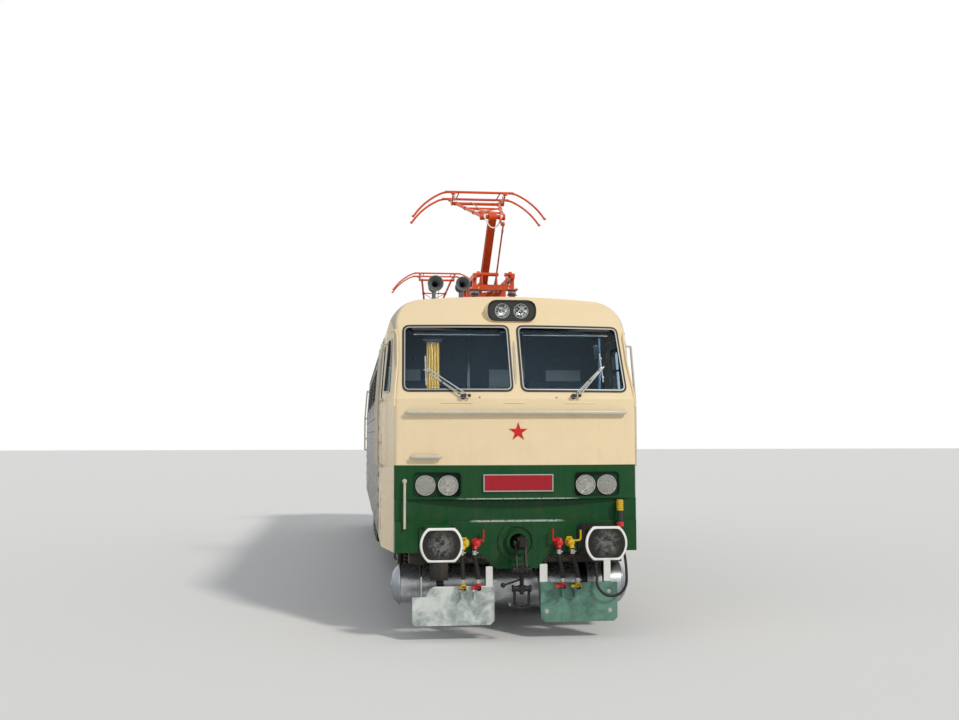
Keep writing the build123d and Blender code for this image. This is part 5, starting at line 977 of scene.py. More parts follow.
class LOCO_PG_fittings(bpy.types.PropertyGroup):
    """Sizes of the small fittings."""
    bolt: bpy.props.FloatProperty(name="Bolt", description="Radius of a bolt's head", default=0.012,
                                  min=0.004, max=0.03, unit="LENGTH")
    rivet: bpy.props.FloatProperty(name="Rivet", description="Radius of a rivet's head", default=0.006,
                                   min=0.003, max=0.02, unit="LENGTH")
    trim: bpy.props.FloatProperty(name="Trim", description="Width of the bright trim in the windows' rubber",
                                  default=0.011, min=0.004, max=0.02, unit="LENGTH")
    coil_wire: bpy.props.FloatProperty(name="Coil wire", description="Radius of the primary springs' wire",
                                       default=0.015, min=0.008, max=0.02, unit="LENGTH")


class LOCO_PG_stage(bpy.types.PropertyGroup):
    """Light and floor."""
    floor: bpy.props.FloatVectorProperty(name="Floor", description="Floor colour", subtype="COLOR", size=4,
                                         default=(0.80, 0.80, 0.79, 1.0), min=0.0, max=1.0)
    key: bpy.props.FloatProperty(name="Key light", description="Strength of the key lamp in W/m2",
                                 default=1.86, min=0.0, max=20.0)
    sky: bpy.props.FloatProperty(name="Sky light", description="Strength of the light from all round",
                                 default=0.46, min=0.0, max=4.0)


FINISH = {}


def finish_of(name):
    """A finish by name, made when the paint is mixed."""
    if name not in FINISH:
        raise RuntimeError("mix the paint first: there is no finish " + name)
    return FINISH[name]


# Stage and camera, solved from the photograph

LENS = 40.96
CAMERA_SPOT = (-1.792, -19.779, 2.232)
CAMERA_TURN = (-6.576, 90 + 3.938, -0.048)
FLOOR_HALF = 150.0
SUN_WAY = (-0.50, 0.80, -0.68)
FILL_WAY = (0.9, 0.5, -0.5)
FILL_SHARE = 0.16


class LOCO_OT_stage(bpy.types.Operator):
    """Set up the floor, the lamps, the world and the camera"""
    bl_idname = "loco.stage"
    bl_label = "Stage and camera"

    def execute(self, context):
        settings = context.scene.loco_stage
        scene = context.scene
        scene.view_settings.view_transform = "Standard"
        data = bpy.data.cameras.new("camera")
        data.lens = LENS
        data.sensor_width = 36.0
        data.clip_end = 500.0
        camera = bpy.data.objects.new("camera", data)
        scene.collection.objects.link(camera)
        yaw, pitch, roll = (radians(angle) for angle in CAMERA_TURN)
        turn = Matrix.Rotation(yaw, 4, "Z") @ Matrix.Rotation(pitch, 4, "X") @ Matrix.Rotation(roll, 4, "Z")
        camera.matrix_world = Matrix.Translation(CAMERA_SPOT) @ turn
        scene.camera = camera

        floor_shape = bmesh.new()
        bmesh.ops.create_grid(floor_shape, x_segments=1, y_segments=1, size=FLOOR_HALF)
        floor_data = bpy.data.meshes.new("floor")
        floor_shape.to_mesh(floor_data)
        floor_shape.free()
        floor = bpy.data.objects.new("floor", floor_data)
        scene.collection.objects.link(floor)
        floor_data.materials.append(self.floor_finish(settings.floor))

        world = bpy.data.worlds.new("studio")
        world.use_nodes = True
        scene.world = world
        tree = world.node_tree
        tree.nodes.clear()
        light, seen = (add_node(tree, "ShaderNodeBackground",
                                {"Color": color, "Strength": strength}).outputs[0]
                       for color,
                       strength in (((0.93, 0.96, 1.0, 1.0), settings.sky), ((1.0, 1.0, 1.0, 1.0), 1.0)))
        # The camera, mirrors and glass see a white studio, and the light comes from a fainter one
        path = add_node(tree, "ShaderNodeLightPath").outputs
        direct = calc(tree, "MAXIMUM", path["Is Camera Ray"], path["Is Glossy Ray"])
        through = calc(tree, "MAXIMUM", direct, path["Is Transmission Ray"])
        mixer = add_node(tree, "ShaderNodeMixShader", {0: through, 1: light, 2: seen})
        add_node(tree, "ShaderNodeOutputWorld", {"Surface": mixer.outputs[0]})

        self.add_sun(scene, "key", settings.key, 6.0, SUN_WAY, (1.0, 0.965, 0.90))
        self.add_sun(scene, "fill", settings.key * FILL_SHARE, 50.0, FILL_WAY, (0.88, 0.93, 1.0))
        return {"FINISHED"}

    @staticmethod
    def add_sun(scene, name, strength, spread, towards, color):
        """A wide, soft lamp far away."""
        data = bpy.data.lights.new(name, "SUN")
        data.energy = strength
        data.angle = radians(spread)
        data.color = color
        lamp = bpy.data.objects.new(name, data)
        lamp.matrix_world = Vector(towards).to_track_quat("-Z", "Y").to_matrix().to_4x4()
        scene.collection.objects.link(lamp)

    @staticmethod
    def floor_finish(color):
        """A plain pale floor."""
        material, tree, shader = new_material("stage_floor")
        tune(tree, shader, {"Base Color": color, "Roughness": 0.9})
        return material


# Paint

class LOCO_OT_paint(bpy.types.Operator):
    """Mix the finishes and give each of the frame's pieces its own"""
    bl_idname = "loco.paint"
    bl_label = "Paint"

    def execute(self, context):
        FINISH.update(make_finishes(context.scene.loco_paint))
        for name, node in NODES.items():
            finish = finish_of(node_finish(name))
            node.data.materials.clear()
            node.data.materials.append(finish)
            for face in node.data.polygons:
                face.material_index = 0
        return {"FINISHED"}


# Cords: route points in metres, as in the part's source

HOSE_Y = -7.960
HOSES = (("hose_red_left", -0.485, -0.445), ("hose_yellow_left", -0.623, -0.608),
         ("hose_red_right", 0.441, 0.480), ("hose_yellow_right", 0.589, 0.646))
HOSE_Z = (0.9947, 0.910, 0.765, 0.6353)
HOSE_HEAD_Z = 0.594
COCK_X = (-0.580, -0.455, 0.455, 0.580)
COCK_Z = RAIL + 1.030
TANK_Z = RAIL + 0.515
CLIP_Z = RAIL + 0.845
JUMPER_ROUTE = ((1.138, -7.905, 1.2197), (1.138, -7.905, 1.135), (1.163, -7.919, 1.005),
                (1.186, -7.935, 0.870),
                (1.193, -7.949, 0.725), (1.190, -7.959, 0.578), (1.093, -7.965, 0.480),
                (0.957, -7.965, 0.480),
                (0.860, -7.949, 0.578), (0.868, -7.919, 0.702), (0.860, -7.905, 0.790),
                (0.860, -7.905, 0.8747))


class LOCO_OT_cords(bpy.types.Operator):
    """Hang the brake hoses and the jumper cable"""
    bl_idname = "loco.cords"
    bl_label = "Hoses and cable"

    def execute(self, context):
        for name, x_top, x_end in HOSES:
            route = [(x_top, HOSE_Y, HOSE_Z[0]), (x_top, HOSE_Y, HOSE_Z[1]), (x_end, HOSE_Y, HOSE_Z[2]),
                     (x_end, HOSE_Y, HOSE_Z[3])]
            hose = self.lay(name + "_rubber", route, 0.045)
            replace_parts(hose, name)
        cable = self.lay("jumper_cable_sheath", JUMPER_ROUTE, 0.030)
        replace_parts(cable, "jumper_cable")
        return {"FINISHED"}

    @staticmethod
    def lay(name, route, diameter):
        """A smooth flexible line through a route's control points."""
        data = bpy.data.curves.new(name, "CURVE")
        data.dimensions = "3D"
        line = data.splines.new("NURBS")
        line.points.add(len(route) - 1)
        for point, spot in zip(line.points, route):
            point.co = (*spot, 1.0)
        line.order_u = 3
        line.use_endpoint_u = True
        data.resolution_u = 10
        data.bevel_depth = diameter / 2
        data.bevel_resolution = 5
        data.use_fill_caps = True
        data.materials.append(finish_of("hose"))
        cord = bpy.data.objects.new(name, data)
        bpy.context.scene.collection.objects.link(cord)
        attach(cord, "loco_body")
        return cord


# Windows

SCREEN_INNER_X = 0.052
SCREEN_LOW_Z = RAIL + 2.690
SCREEN_OUTER_LOW = 1.254
SCREEN_OUTER_TOP = 1.236
SCREEN_CORNER = 0.070
SIDE_WINDOW_Y = (-7.470, -7.190)
SIDE_WINDOW_Z = (RAIL + 2.690, RAIL + 3.300)
DOOR_FRONT_Y = -7.046
DOOR_BACK_Y = -6.426
DOOR_SILL_Z = RAIL + 1.666
DOOR_WINDOW_Y = (-6.926, -6.546)
DOOR_WINDOW_Z = (RAIL + 2.660, RAIL + 3.230)
BAND_Z = (RAIL + 2.720, RAIL + 3.240)
WALL_WINDOW_Y = (-4.300, -1.450, 1.450, 4.300)
WALL_WINDOW_HALF = 0.380
OUTLINE_STEP = 0.06


def screen_outline(side, grow):
    """Outline of one windscreen as (x, z) points, grown outwards."""
    points = [(SCREEN_INNER_X - grow, SCREEN_LOW_Z - grow), (SCREEN_OUTER_LOW + grow, SCREEN_LOW_Z - grow),
              (SCREEN_OUTER_TOP + grow, SCREEN_TOP_Z + grow), (SCREEN_INNER_X - grow, SCREEN_TOP_Z + grow)]
    return rounded([(side * x, z) for x, z in points], SCREEN_CORNER + grow)


def cab_side_x(y, z):
    """Half width of the cab at y and z, where it narrows to the mask."""
    share = max(0.0, (-7.110 - y) / 0.900)
    nose = 1.306 - max(0.0, z - WAIST_Z) * 0.206 / 0.760
    return wall_x(z) * (1 - share) + nose * share


def even_pair(outer, inner):
    """Two outlines divided alike, point for point, in short steps that can follow the bowed mask."""
    first, second = [], []
    count = len(outer)
    for n in range(count):
        m = (n + 1) % count
        parts = max(1, int(hypot(outer[m][0] - outer[n][0], outer[m][1] - outer[n][1]) / OUTLINE_STEP))
        for k in range(parts):
            share = k / parts
            first.append(tuple(a + (b - a) * share for a, b in zip(outer[n], outer[m])))
            second.append(tuple(a + (b - a) * share for a, b in zip(inner[n], inner[m])))
    return first, second


class LOCO_OT_windows(bpy.types.Operator):
    """Fit the windows' bright trims, the door panes and the rubber of the side windows"""
    bl_idname = "loco.windows"
    bl_label = "Windows"

    def execute(self, context):
        trim = context.scene.loco_fittings.trim
        shape = bmesh.new()
        for side in (-1, 1):
            outer = screen_outline(side, -0.010)
            inner = screen_outline(side, -0.010 - trim)
            pair = even_pair(outer, inner)
            add_frame(shape, *pair, lambda u, v, out: on_mask(u, v, 0.0078 + out), 0.0022)
            for off in (0.0, 0.004):
                edge = rounded([(SIDE_WINDOW_Y[0] - 0.008 + off, SIDE_WINDOW_Z[0] - 0.008 + off),
                                (SIDE_WINDOW_Y[1] + 0.008 - off, SIDE_WINDOW_Z[0] - 0.008 + off),
                                (SIDE_WINDOW_Y[1] + 0.008 - off, SIDE_WINDOW_Z[1] + 0.008 - off),
                                (SIDE_WINDOW_Y[0] + 0.175 + off, SIDE_WINDOW_Z[1] + 0.008 - off)], 0.02)
            low = rounded([(SIDE_WINDOW_Y[0] + 0.012, SIDE_WINDOW_Z[0] + 0.012),
                           (SIDE_WINDOW_Y[1] - 0.012, SIDE_WINDOW_Z[0] + 0.012),
                           (SIDE_WINDOW_Y[1] - 0.012, SIDE_WINDOW_Z[1] - 0.012),
                           (SIDE_WINDOW_Y[0] + 0.190, SIDE_WINDOW_Z[1] - 0.012)], 0.02)
            add_frame(shape, *even_pair(edge, low), lambda u, v, out,
                      side=side: Vector((side * (cab_side_x(u, v) + 0.0078 + out), u, v)),
                      0.0022)
        finish_both(shape, "windscreen_trims", "silver")

        seal = bmesh.new()
        for side in (-1, 1):
            add_frame(seal, *even_pair(screen_outline(side, 0.012), screen_outline(side, -0.012)),
                      lambda u, v, out: on_mask(u, v, 0.0015 + out), 0.0065)
        finish_both(seal, "windscreen_rubbers", "rubber")

        rubber = bmesh.new()
        for y in WALL_WINDOW_Y:
            for side in (-1, 1):
                edge = oblong((y - WALL_WINDOW_HALF, y + WALL_WINDOW_HALF), (BAND_Z[0], BAND_Z[1]))
                outer = rounded([(u + (0.022 if u > y else -0.022),
                                  v + (0.022 if v > BAND_Z[0] + 0.1 else -0.022))
                                 for u, v in edge], 0.075)
                inner = rounded([(u - (0.016 if u > y else -0.016),
                                  v - (0.016 if v > BAND_Z[0] + 0.1 else -0.016))
                                 for u, v in edge], 0.045)
                add_frame(rubber, outer, inner, lambda u, v, out,
                          side=side: Vector((side * (wall_x(v) - 0.014 + out), u, v)), 0.022)
        finish_piece(rubber, "room_window_rubbers", "rubber")

        for end, end_name in ((1, "front"), (-1, "rear")):
            for side, side_name in ((-1, "left"), (1, "right")):
                self.door(end, side, f"{end_name}_{side_name}_door")
        return {"FINISHED"}

    @staticmethod
    def door(end, side, name):
        """The glass and rubber of one door, which move with its leaf."""
        def spot(u, v, out):
            return Vector((side * (wall_x(v) - 0.003 + out), end * u, v))

        corners = oblong((DOOR_WINDOW_Y[0], DOOR_WINDOW_Y[1]), (DOOR_WINDOW_Z[0], DOOR_WINDOW_Z[1]))
        middle = (sum(DOOR_WINDOW_Y) / 2, sum(DOOR_WINDOW_Z) / 2)

        def grown(amount, corner):
            return rounded([(u + (amount if u > middle[0] else -amount),
                             v + (amount if v > middle[1] else -amount))
                            for u, v in corners], corner)

        rubber = bmesh.new()
        add_frame(rubber, grown(0.022, 0.06), grown(-0.014, 0.05), lambda u, v,
                  out: spot(u, v, 0.0005 + out), 0.0055)
        add_frame(rubber, grown(-0.0005, 0.055), grown(-0.014, 0.05), lambda u, v,
                  out: spot(u, v, -0.048 + out), 0.048)
        add_frame(rubber, grown(0.018, 0.06), grown(-0.014, 0.05), lambda u, v,
                  out: spot(u, v, -0.0555 + out), 0.005)
        bar = middle[1] + 0.03
        add_slab(rubber, oblong((DOOR_WINDOW_Y[0] + 0.012, DOOR_WINDOW_Y[1] - 0.012), (bar, bar + 0.022)),
                 lambda u, v, out: spot(u, v, -0.036 + out), 0.024)
        body = name + "_leaf"
        finish_piece(rubber, name + "_rubber", "rubber", body)
        glass = bmesh.new()
        add_slab(glass, grown(-0.008, 0.05), lambda u, v, out: spot(u, v, -0.030 + out), 0.006)
        finish_piece(glass, name + "_pane", "glass", body)
        leaf = bmesh.new()
        field = [(DOOR_FRONT_Y + 0.07, DOOR_BACK_Y - 0.07), (DOOR_SILL_Z + 0.06, WAIST_Z - 0.06)]
        outline, shrunk = (rounded(oblong(*((low + inset, high - inset) for low, high in field)), corner)
                           for inset, corner in ((0.0, 0.06), (0.012, 0.05)))
        add_frame(leaf, outline, shrunk, lambda u, v, out: spot(u, v, -0.001 + out), 0.004)
        add_slab(leaf, rounded(oblong((DOOR_FRONT_Y + 0.045, DOOR_FRONT_Y + 0.110), (2.105, 2.245)), 0.02),
                 lambda u, v, out: spot(u, v, -0.001 + out), 0.008)
        finish_piece(leaf, name + "_pressing", "door", body)


# Lamps

LAMP_X = (0.761, 1.009)
LAMP_Z = RAIL + 1.655
LAMP_FACE_Y = -7.862
TRAY_X = (0.622, 1.148)
TRAY_Z = (RAIL + 1.527, RAIL + 1.800)
HEAD_LAMP_X = 0.108
HEAD_LAMP_Z = RAIL + 3.6225
HEAD_LAMP_FACE_Y = -7.460
BEZEL_Y = -7.472


class LOCO_OT_lamps(bpy.types.Operator):
    """Fit the round lamps with their rims, reflectors, bulbs and ribbed glasses"""
    bl_idname = "loco.lamps"
    bl_label = "Lamps"

    def execute(self, context):
        rims, bowls, glasses, trays, clear = (bmesh.new() for _ in range(5))
        for side in (-1, 1):
            for x in LAMP_X:
                self.lamp(rims, bowls, glasses, (side * x, LAMP_FACE_Y + (x - LAMP_X[0]) * 0.12, LAMP_Z),
                          0.113)
            self.lamp(rims, bowls, clear, (side * HEAD_LAMP_X, HEAD_LAMP_FACE_Y, HEAD_LAMP_Z), 0.090)
            corners = oblong((side * TRAY_X[0], side * TRAY_X[1]), (TRAY_Z[0], TRAY_Z[1]))
            add_slab(trays, rounded(corners, 0.060), lambda u, v,
                     out: Vector((u, LAMP_FACE_Y + 0.060 - out, v)), 0.014)
            middle = side * sum(TRAY_X) / 2
            outer = rounded([(middle + (x - middle) * 0.999, z) for x, z in corners], 0.060)
            inner = rounded([(middle + (x - middle) * 0.970, LAMP_Z + (z - LAMP_Z) * 0.945) for x,
                             z in corners], 0.050)
            add_frame(trays, *even_pair(outer, inner), lambda u, v,
                      out: Vector((u, mask_y(u, v, -0.058 + out), v)), 0.056)
        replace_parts(finish_both(rims, "lamp_rims", "chrome"), "lamps")
        finish_both(bowls, "lamp_reflectors", "reflector", smooth=50)
        finish_both(glasses, "lamp_glasses", "lens", smooth=50)
        finish_both(clear, "head_lamp_glasses", "head_lens", smooth=50)
        finish_both(trays, "lamp_trays", "tray")
        screws = []
        for side in (-1, 1):
            for x in LAMP_X:
                for angle in (45, 165, 285):
                    reach = 0.1075
                    spot = (side * x + reach * cos(radians(angle)),
                            LAMP_FACE_Y + (x - LAMP_X[0]) * 0.12 - 0.003,
                            LAMP_Z + reach * sin(radians(angle)))
                    screws.append((spot, AHEAD))
        repeat_both("lamp_rim_screws", screws, "rivets", {"Radius": 0.0045, "Rise": 0.5}, "bright")
        return {"FINISHED"}

    @staticmethod
    def lamp(rims, bowls, glasses, place, radius):
        """One lamp facing the front."""
        back = (0, 1, 0)
        r = radius
        add_lathe(rims,
                  [(0.050, r * 0.78), (0.012, r - 0.001), (0.002, r), (-0.001, r - 0.002),
                   (-0.003, r - 0.005),
                         (-0.0025, r - 0.010), (0.001, r - 0.0125), (0.012, r - 0.013), (0.046, r * 0.74),
                         (0.050, r * 0.78)],
                  place, back, 48)
        add_lathe(bowls,
                  [(0.010, r - 0.0135), (0.022, r * 0.74), (0.034, r * 0.50), (0.042, r * 0.26),
                   (0.044, r * 0.16),
                          (0.030, r * 0.15), (0.022, r * 0.11), (0.018, 0.0)], place, back, 40)
        add_lathe(glasses,
                  [(0.006, 0.0), (0.006, r - 0.0140), (0.002, r - 0.0135), (-0.003, r * 0.62),
                   (-0.0055, r * 0.30),
                            (-0.0062, 0.0)], place, back, 48)


# Trim of the mask

class LOCO_OT_mask_trim(bpy.types.Operator):
    """Fit the small trims of both masks: gutters, ridges, washer jets and plate borders"""
    bl_idname = "loco.mask_trim"
    bl_label = "Mask trims"

    def execute(self, context):
        cream = bmesh.new()
        for side in (-1, 1):
            run = [(-7.790, WAIST_Z - 0.085), (-7.775, WAIST_Z + 0.02), (-7.60, RAIL + 3.02),
                   (-7.44, RAIL + 3.33),
                   (-7.36, RAIL + 3.40), (-7.20, RAIL + 3.395), (-6.02, RAIL + 3.385)]
            points = [(side * (cab_side_x(y, z) + 0.004), y, z) for y, z in run]
            add_tube(cream, points, 0.011, 10)
        for x0, x1 in ((-0.845, -0.505), (-0.155, 0.075), (0.535, 0.860)):
            z = RAIL + 2.554
            count = 6
            top = [on_mask(x0 + (x1 - x0) * n / count, z, 0.0015) for n in range(count + 1)]
            add_tube(cream, top, 0.006, 8)
        finish_both(cream, "mask_gutters", "cream")

        green = bmesh.new()
        for side in (-1, 1):
            corners = oblong((side * TRAY_X[0], side * TRAY_X[1]), (TRAY_Z[0], TRAY_Z[1]))
            middle = side * sum(TRAY_X) / 2
            outer = rounded([(middle + (x - middle) * 1.045, LAMP_Z + (z - LAMP_Z) * 1.09) for x,
                             z in corners], 0.068)
            inner = rounded(corners, 0.060)
            add_frame(green, *even_pair(outer, inner), lambda u, v, out: on_mask(u, v, -0.001 + out), 0.006)
        finish_both(green, "lamp_recess_lips", "green")

        silver = bmesh.new()
        outer = rounded(oblong((-0.385, 0.385), (RAIL + 1.587, RAIL + 1.776)), 0.012)
        inner = rounded(oblong((-0.373, 0.373), (RAIL + 1.599, RAIL + 1.764)), 0.008)
        add_frame(silver, *even_pair(outer, inner), lambda u, v, out: Vector((u, NOSE_Y - 0.0155 - out, v)),
                  0.0045)
        pillar = [on_mask(-0.012 + 0.012 * n / 6, RAIL + 2.765 + 0.5 * n / 6, 0.004) for n in range(7)]
        add_tube(silver, pillar, [0.004, 0.013, 0.014, 0.014, 0.013, 0.012, 0.003], 10)
        for x in (-0.421, 0.433):
            add_lathe(silver, [(-0.004, 0.013), (0.004, 0.013), (0.010, 0.009), (0.016, 0.004), (0.017, 0.0)],
                      on_mask(x, RAIL + 2.615), (0, -1, 0.3), 14)
        finish_both(silver, "mask_silver_trims", "silver")

        marks = [((x * 0.985, NOSE_Y - 0.020, z), AHEAD) for x in (-0.374, 0.374)
                 for z in (PLATE_MIDDLE_Z - 0.0715, PLATE_MIDDLE_Z + 0.0715)]
        marks += [((side * (0.30 + 0.11 * n), BEAM_FACE_Y - 0.001, RAIL + 1.245), AHEAD) for side in (-1, 1)
                  for n in range(9)]
        repeat_both("mask_rivets", marks, "rivets",
                    {"Radius": context.scene.loco_fittings.rivet, "Rise": 0.45},
                    "green")

        dark = bmesh.new()
        corners = oblong((-0.273, 0.273), (HEAD_LAMP_Z - 0.1145, HEAD_LAMP_Z + 0.1145))
        small = [(x * 0.974, HEAD_LAMP_Z + (z - HEAD_LAMP_Z) * 0.94) for x, z in corners]
        add_frame(dark, *even_pair(rounded(corners, 0.110, 10), rounded(small, 0.104, 10)),
                  lambda u, v, out: Vector((u, -7.4800 + 0.064 - out, v)), 0.064)
        self.bezel(dark,
                   rounded([(x * 0.97, HEAD_LAMP_Z + (z - HEAD_LAMP_Z) * 0.93) for x, z in corners], 0.104,
                           10))
        ring = rounded([(x * 1.036, HEAD_LAMP_Z + (z - HEAD_LAMP_Z) * 1.09) for x, z in corners], 0.120, 10)
        add_frame(dark, *even_pair(ring, rounded(corners, 0.110, 10)), lambda u, v,
                  out: Vector((u, -7.4795 - out, v)), 0.0010)
        finish_both(dark, "forehead_recess", "rubber")
        return {"FINISHED"}

    @staticmethod
    def bezel(shape, outline):
        """The plate between the two head lamps, with a round hole for each."""
        def closed(points):
            verts = [shape.verts.new((x, BEZEL_Y, z)) for x, z in points]
            return [shape.edges.new((one, two)) for one, two in zip(verts, verts[1:] + verts[:1])]

        edges = closed(outline)
        for side in (-1, 1):
            edges += closed([(side * HEAD_LAMP_X + 0.0915 * cos(2 * pi * n / 36),
                              HEAD_LAMP_Z + 0.0915 * sin(2 * pi * n / 36))
                             for n in range(36)])
        made = bmesh.ops.triangle_fill(shape, use_beauty=True, use_dissolve=False, edges=edges,
                                       normal=(0, -1, 0))["geom"]
        faces = [item for item in made if isinstance(item, bmesh.types.BMFace)]
        deep = bmesh.ops.extrude_face_region(shape, geom=faces)["geom"]
        bmesh.ops.translate(shape, vec=(0, 0.020, 0),
                            verts=[item for item in deep if isinstance(item, bmesh.types.BMVert)])


# Draw and buffing gear

HOOK_Z = RAIL + 1.040
TRUNNION_Y = -8.140
TRUNNION_Z = (HOOK_Z - 0.270, HOOK_Z - 0.470)
FLANGE_FACE_Y = -7.8563


class LOCO_OT_buffing_gear(bpy.types.Operator):
    """Add the collars, ribs, bolts, screw thread and pins of the buffers and couplings"""
    bl_idname = "loco.buffing_gear"
    bl_label = "Buffers and couplings"

    def execute(self, context):
        stock = bmesh.new()
        bolts = [((side * BUFFER_X + dx, FLANGE_FACE_Y, BUFFER_Z + dz), AHEAD) for side in (-1, 1)
                 for dx in (-0.165, 0.165) for dz in (-0.135, 0.135)]
        for side in (-1, 1):
            x = side * BUFFER_X
            add_lathe(stock,
                      [(0.0, 0.090), (0.0, 0.100), (0.004, 0.104), (0.030, 0.104), (0.034, 0.100),
                       (0.034, 0.086)],
                      (x, -8.098, BUFFER_Z), AHEAD, 40)
            add_lathe(stock, [(0.0, 0.086), (0.004, 0.100), (0.016, 0.104), (0.026, 0.092), (0.026, 0.086)],
                      (x, -8.320, BUFFER_Z), AHEAD, 40)
            add_lathe(stock, [(0.0, 0.110), (0.0, 0.126), (0.010, 0.126), (0.026, 0.114), (0.026, 0.108)],
                      (x, FLANGE_FACE_Y, BUFFER_Z), AHEAD, 40)
            for angle in range(4):
                way = Vector((cos(pi / 4 + angle * pi / 2), 0, sin(pi / 4 + angle * pi / 2)))
                corner = Vector((x, FLANGE_FACE_Y, BUFFER_Z))
                thick = Vector((0, 1, 0)).cross(way) * 0.006
                rib = (corner + way * 0.150, corner + way * 0.098,
                       corner + way * 0.098 + Vector((0, -0.120, 0)))
                low, top = ([stock.verts.new(spot + half) for spot in rib] for half in (thick, -thick))
                stock.faces.new(low)
                stock.faces.new(list(reversed(top)))
                for n in range(3):
                    m = (n + 1) % 3
                    stock.faces.new((low[m], low[n], top[n], top[m]))
        finish_both(stock, "buffer_stock_ribs", "black")
        repeat_both("buffer_flange_bolts", bolts, "bolts", bolt_size(0.016, 0.014), "hook")
        ring = [((0.190 * cos(pi / 8 + n * pi / 4), -7.8520, HOOK_Z + 0.190 * sin(pi / 8 + n * pi / 4)),
                 AHEAD)
                for n in range(8)]
        repeat_both("hook_ring_bolts", ring, "bolts", bolt_size(0.011, 0.009), "green")

        screw = bmesh.new()
        low, high, pitch = TRUNNION_Z[1] + 0.034, TRUNNION_Z[0] - 0.034, 0.009
        profile = [(0.0, 0.0215)]
        for n in range(int((high - low) / pitch)):
            profile += [(n * pitch + pitch * 0.3, 0.0220), (n * pitch + pitch * 0.5, 0.0262),
                        (n * pitch + pitch * 0.8, 0.0220)]
        add_lathe(screw, profile + [(high - low, 0.0215)], (0, TRUNNION_Y, low), UPWARDS, 28)
        for z in TRUNNION_Z:
            for side in (-1, 1):
                add_lathe(screw, [(0.0, 0.030), (0.0, 0.040), (0.012, 0.040), (0.016, 0.034), (0.016, 0.0)],
                          (side * 0.084, TRUNNION_Y, z), (side, 0, 0), 24)
                add_tube(screw,
                         [(side * 0.104, TRUNNION_Y, z - 0.036), (side * 0.104, TRUNNION_Y, z + 0.036)],
                         0.004, 8)
            add_lathe(screw,
                      [(-0.036, 0.0), (-0.036, 0.036), (-0.030, 0.042), (0.030, 0.042), (0.036, 0.036),
                       (0.036, 0.0)],
                      (0, TRUNNION_Y, z), UPWARDS, 28)
        for side in (-1, 1):
            add_lathe(screw, [(0.0, 0.022), (0.0, 0.034), (0.010, 0.034), (0.014, 0.028), (0.014, 0.0)],
                      (side * 0.062, -8.040, HOOK_Z), (side, 0, 0), 20)
        finish_both(screw, "coupling_screws", "hook")
        return {"FINISHED"}


# Brake hoses, jumpers and ploughs

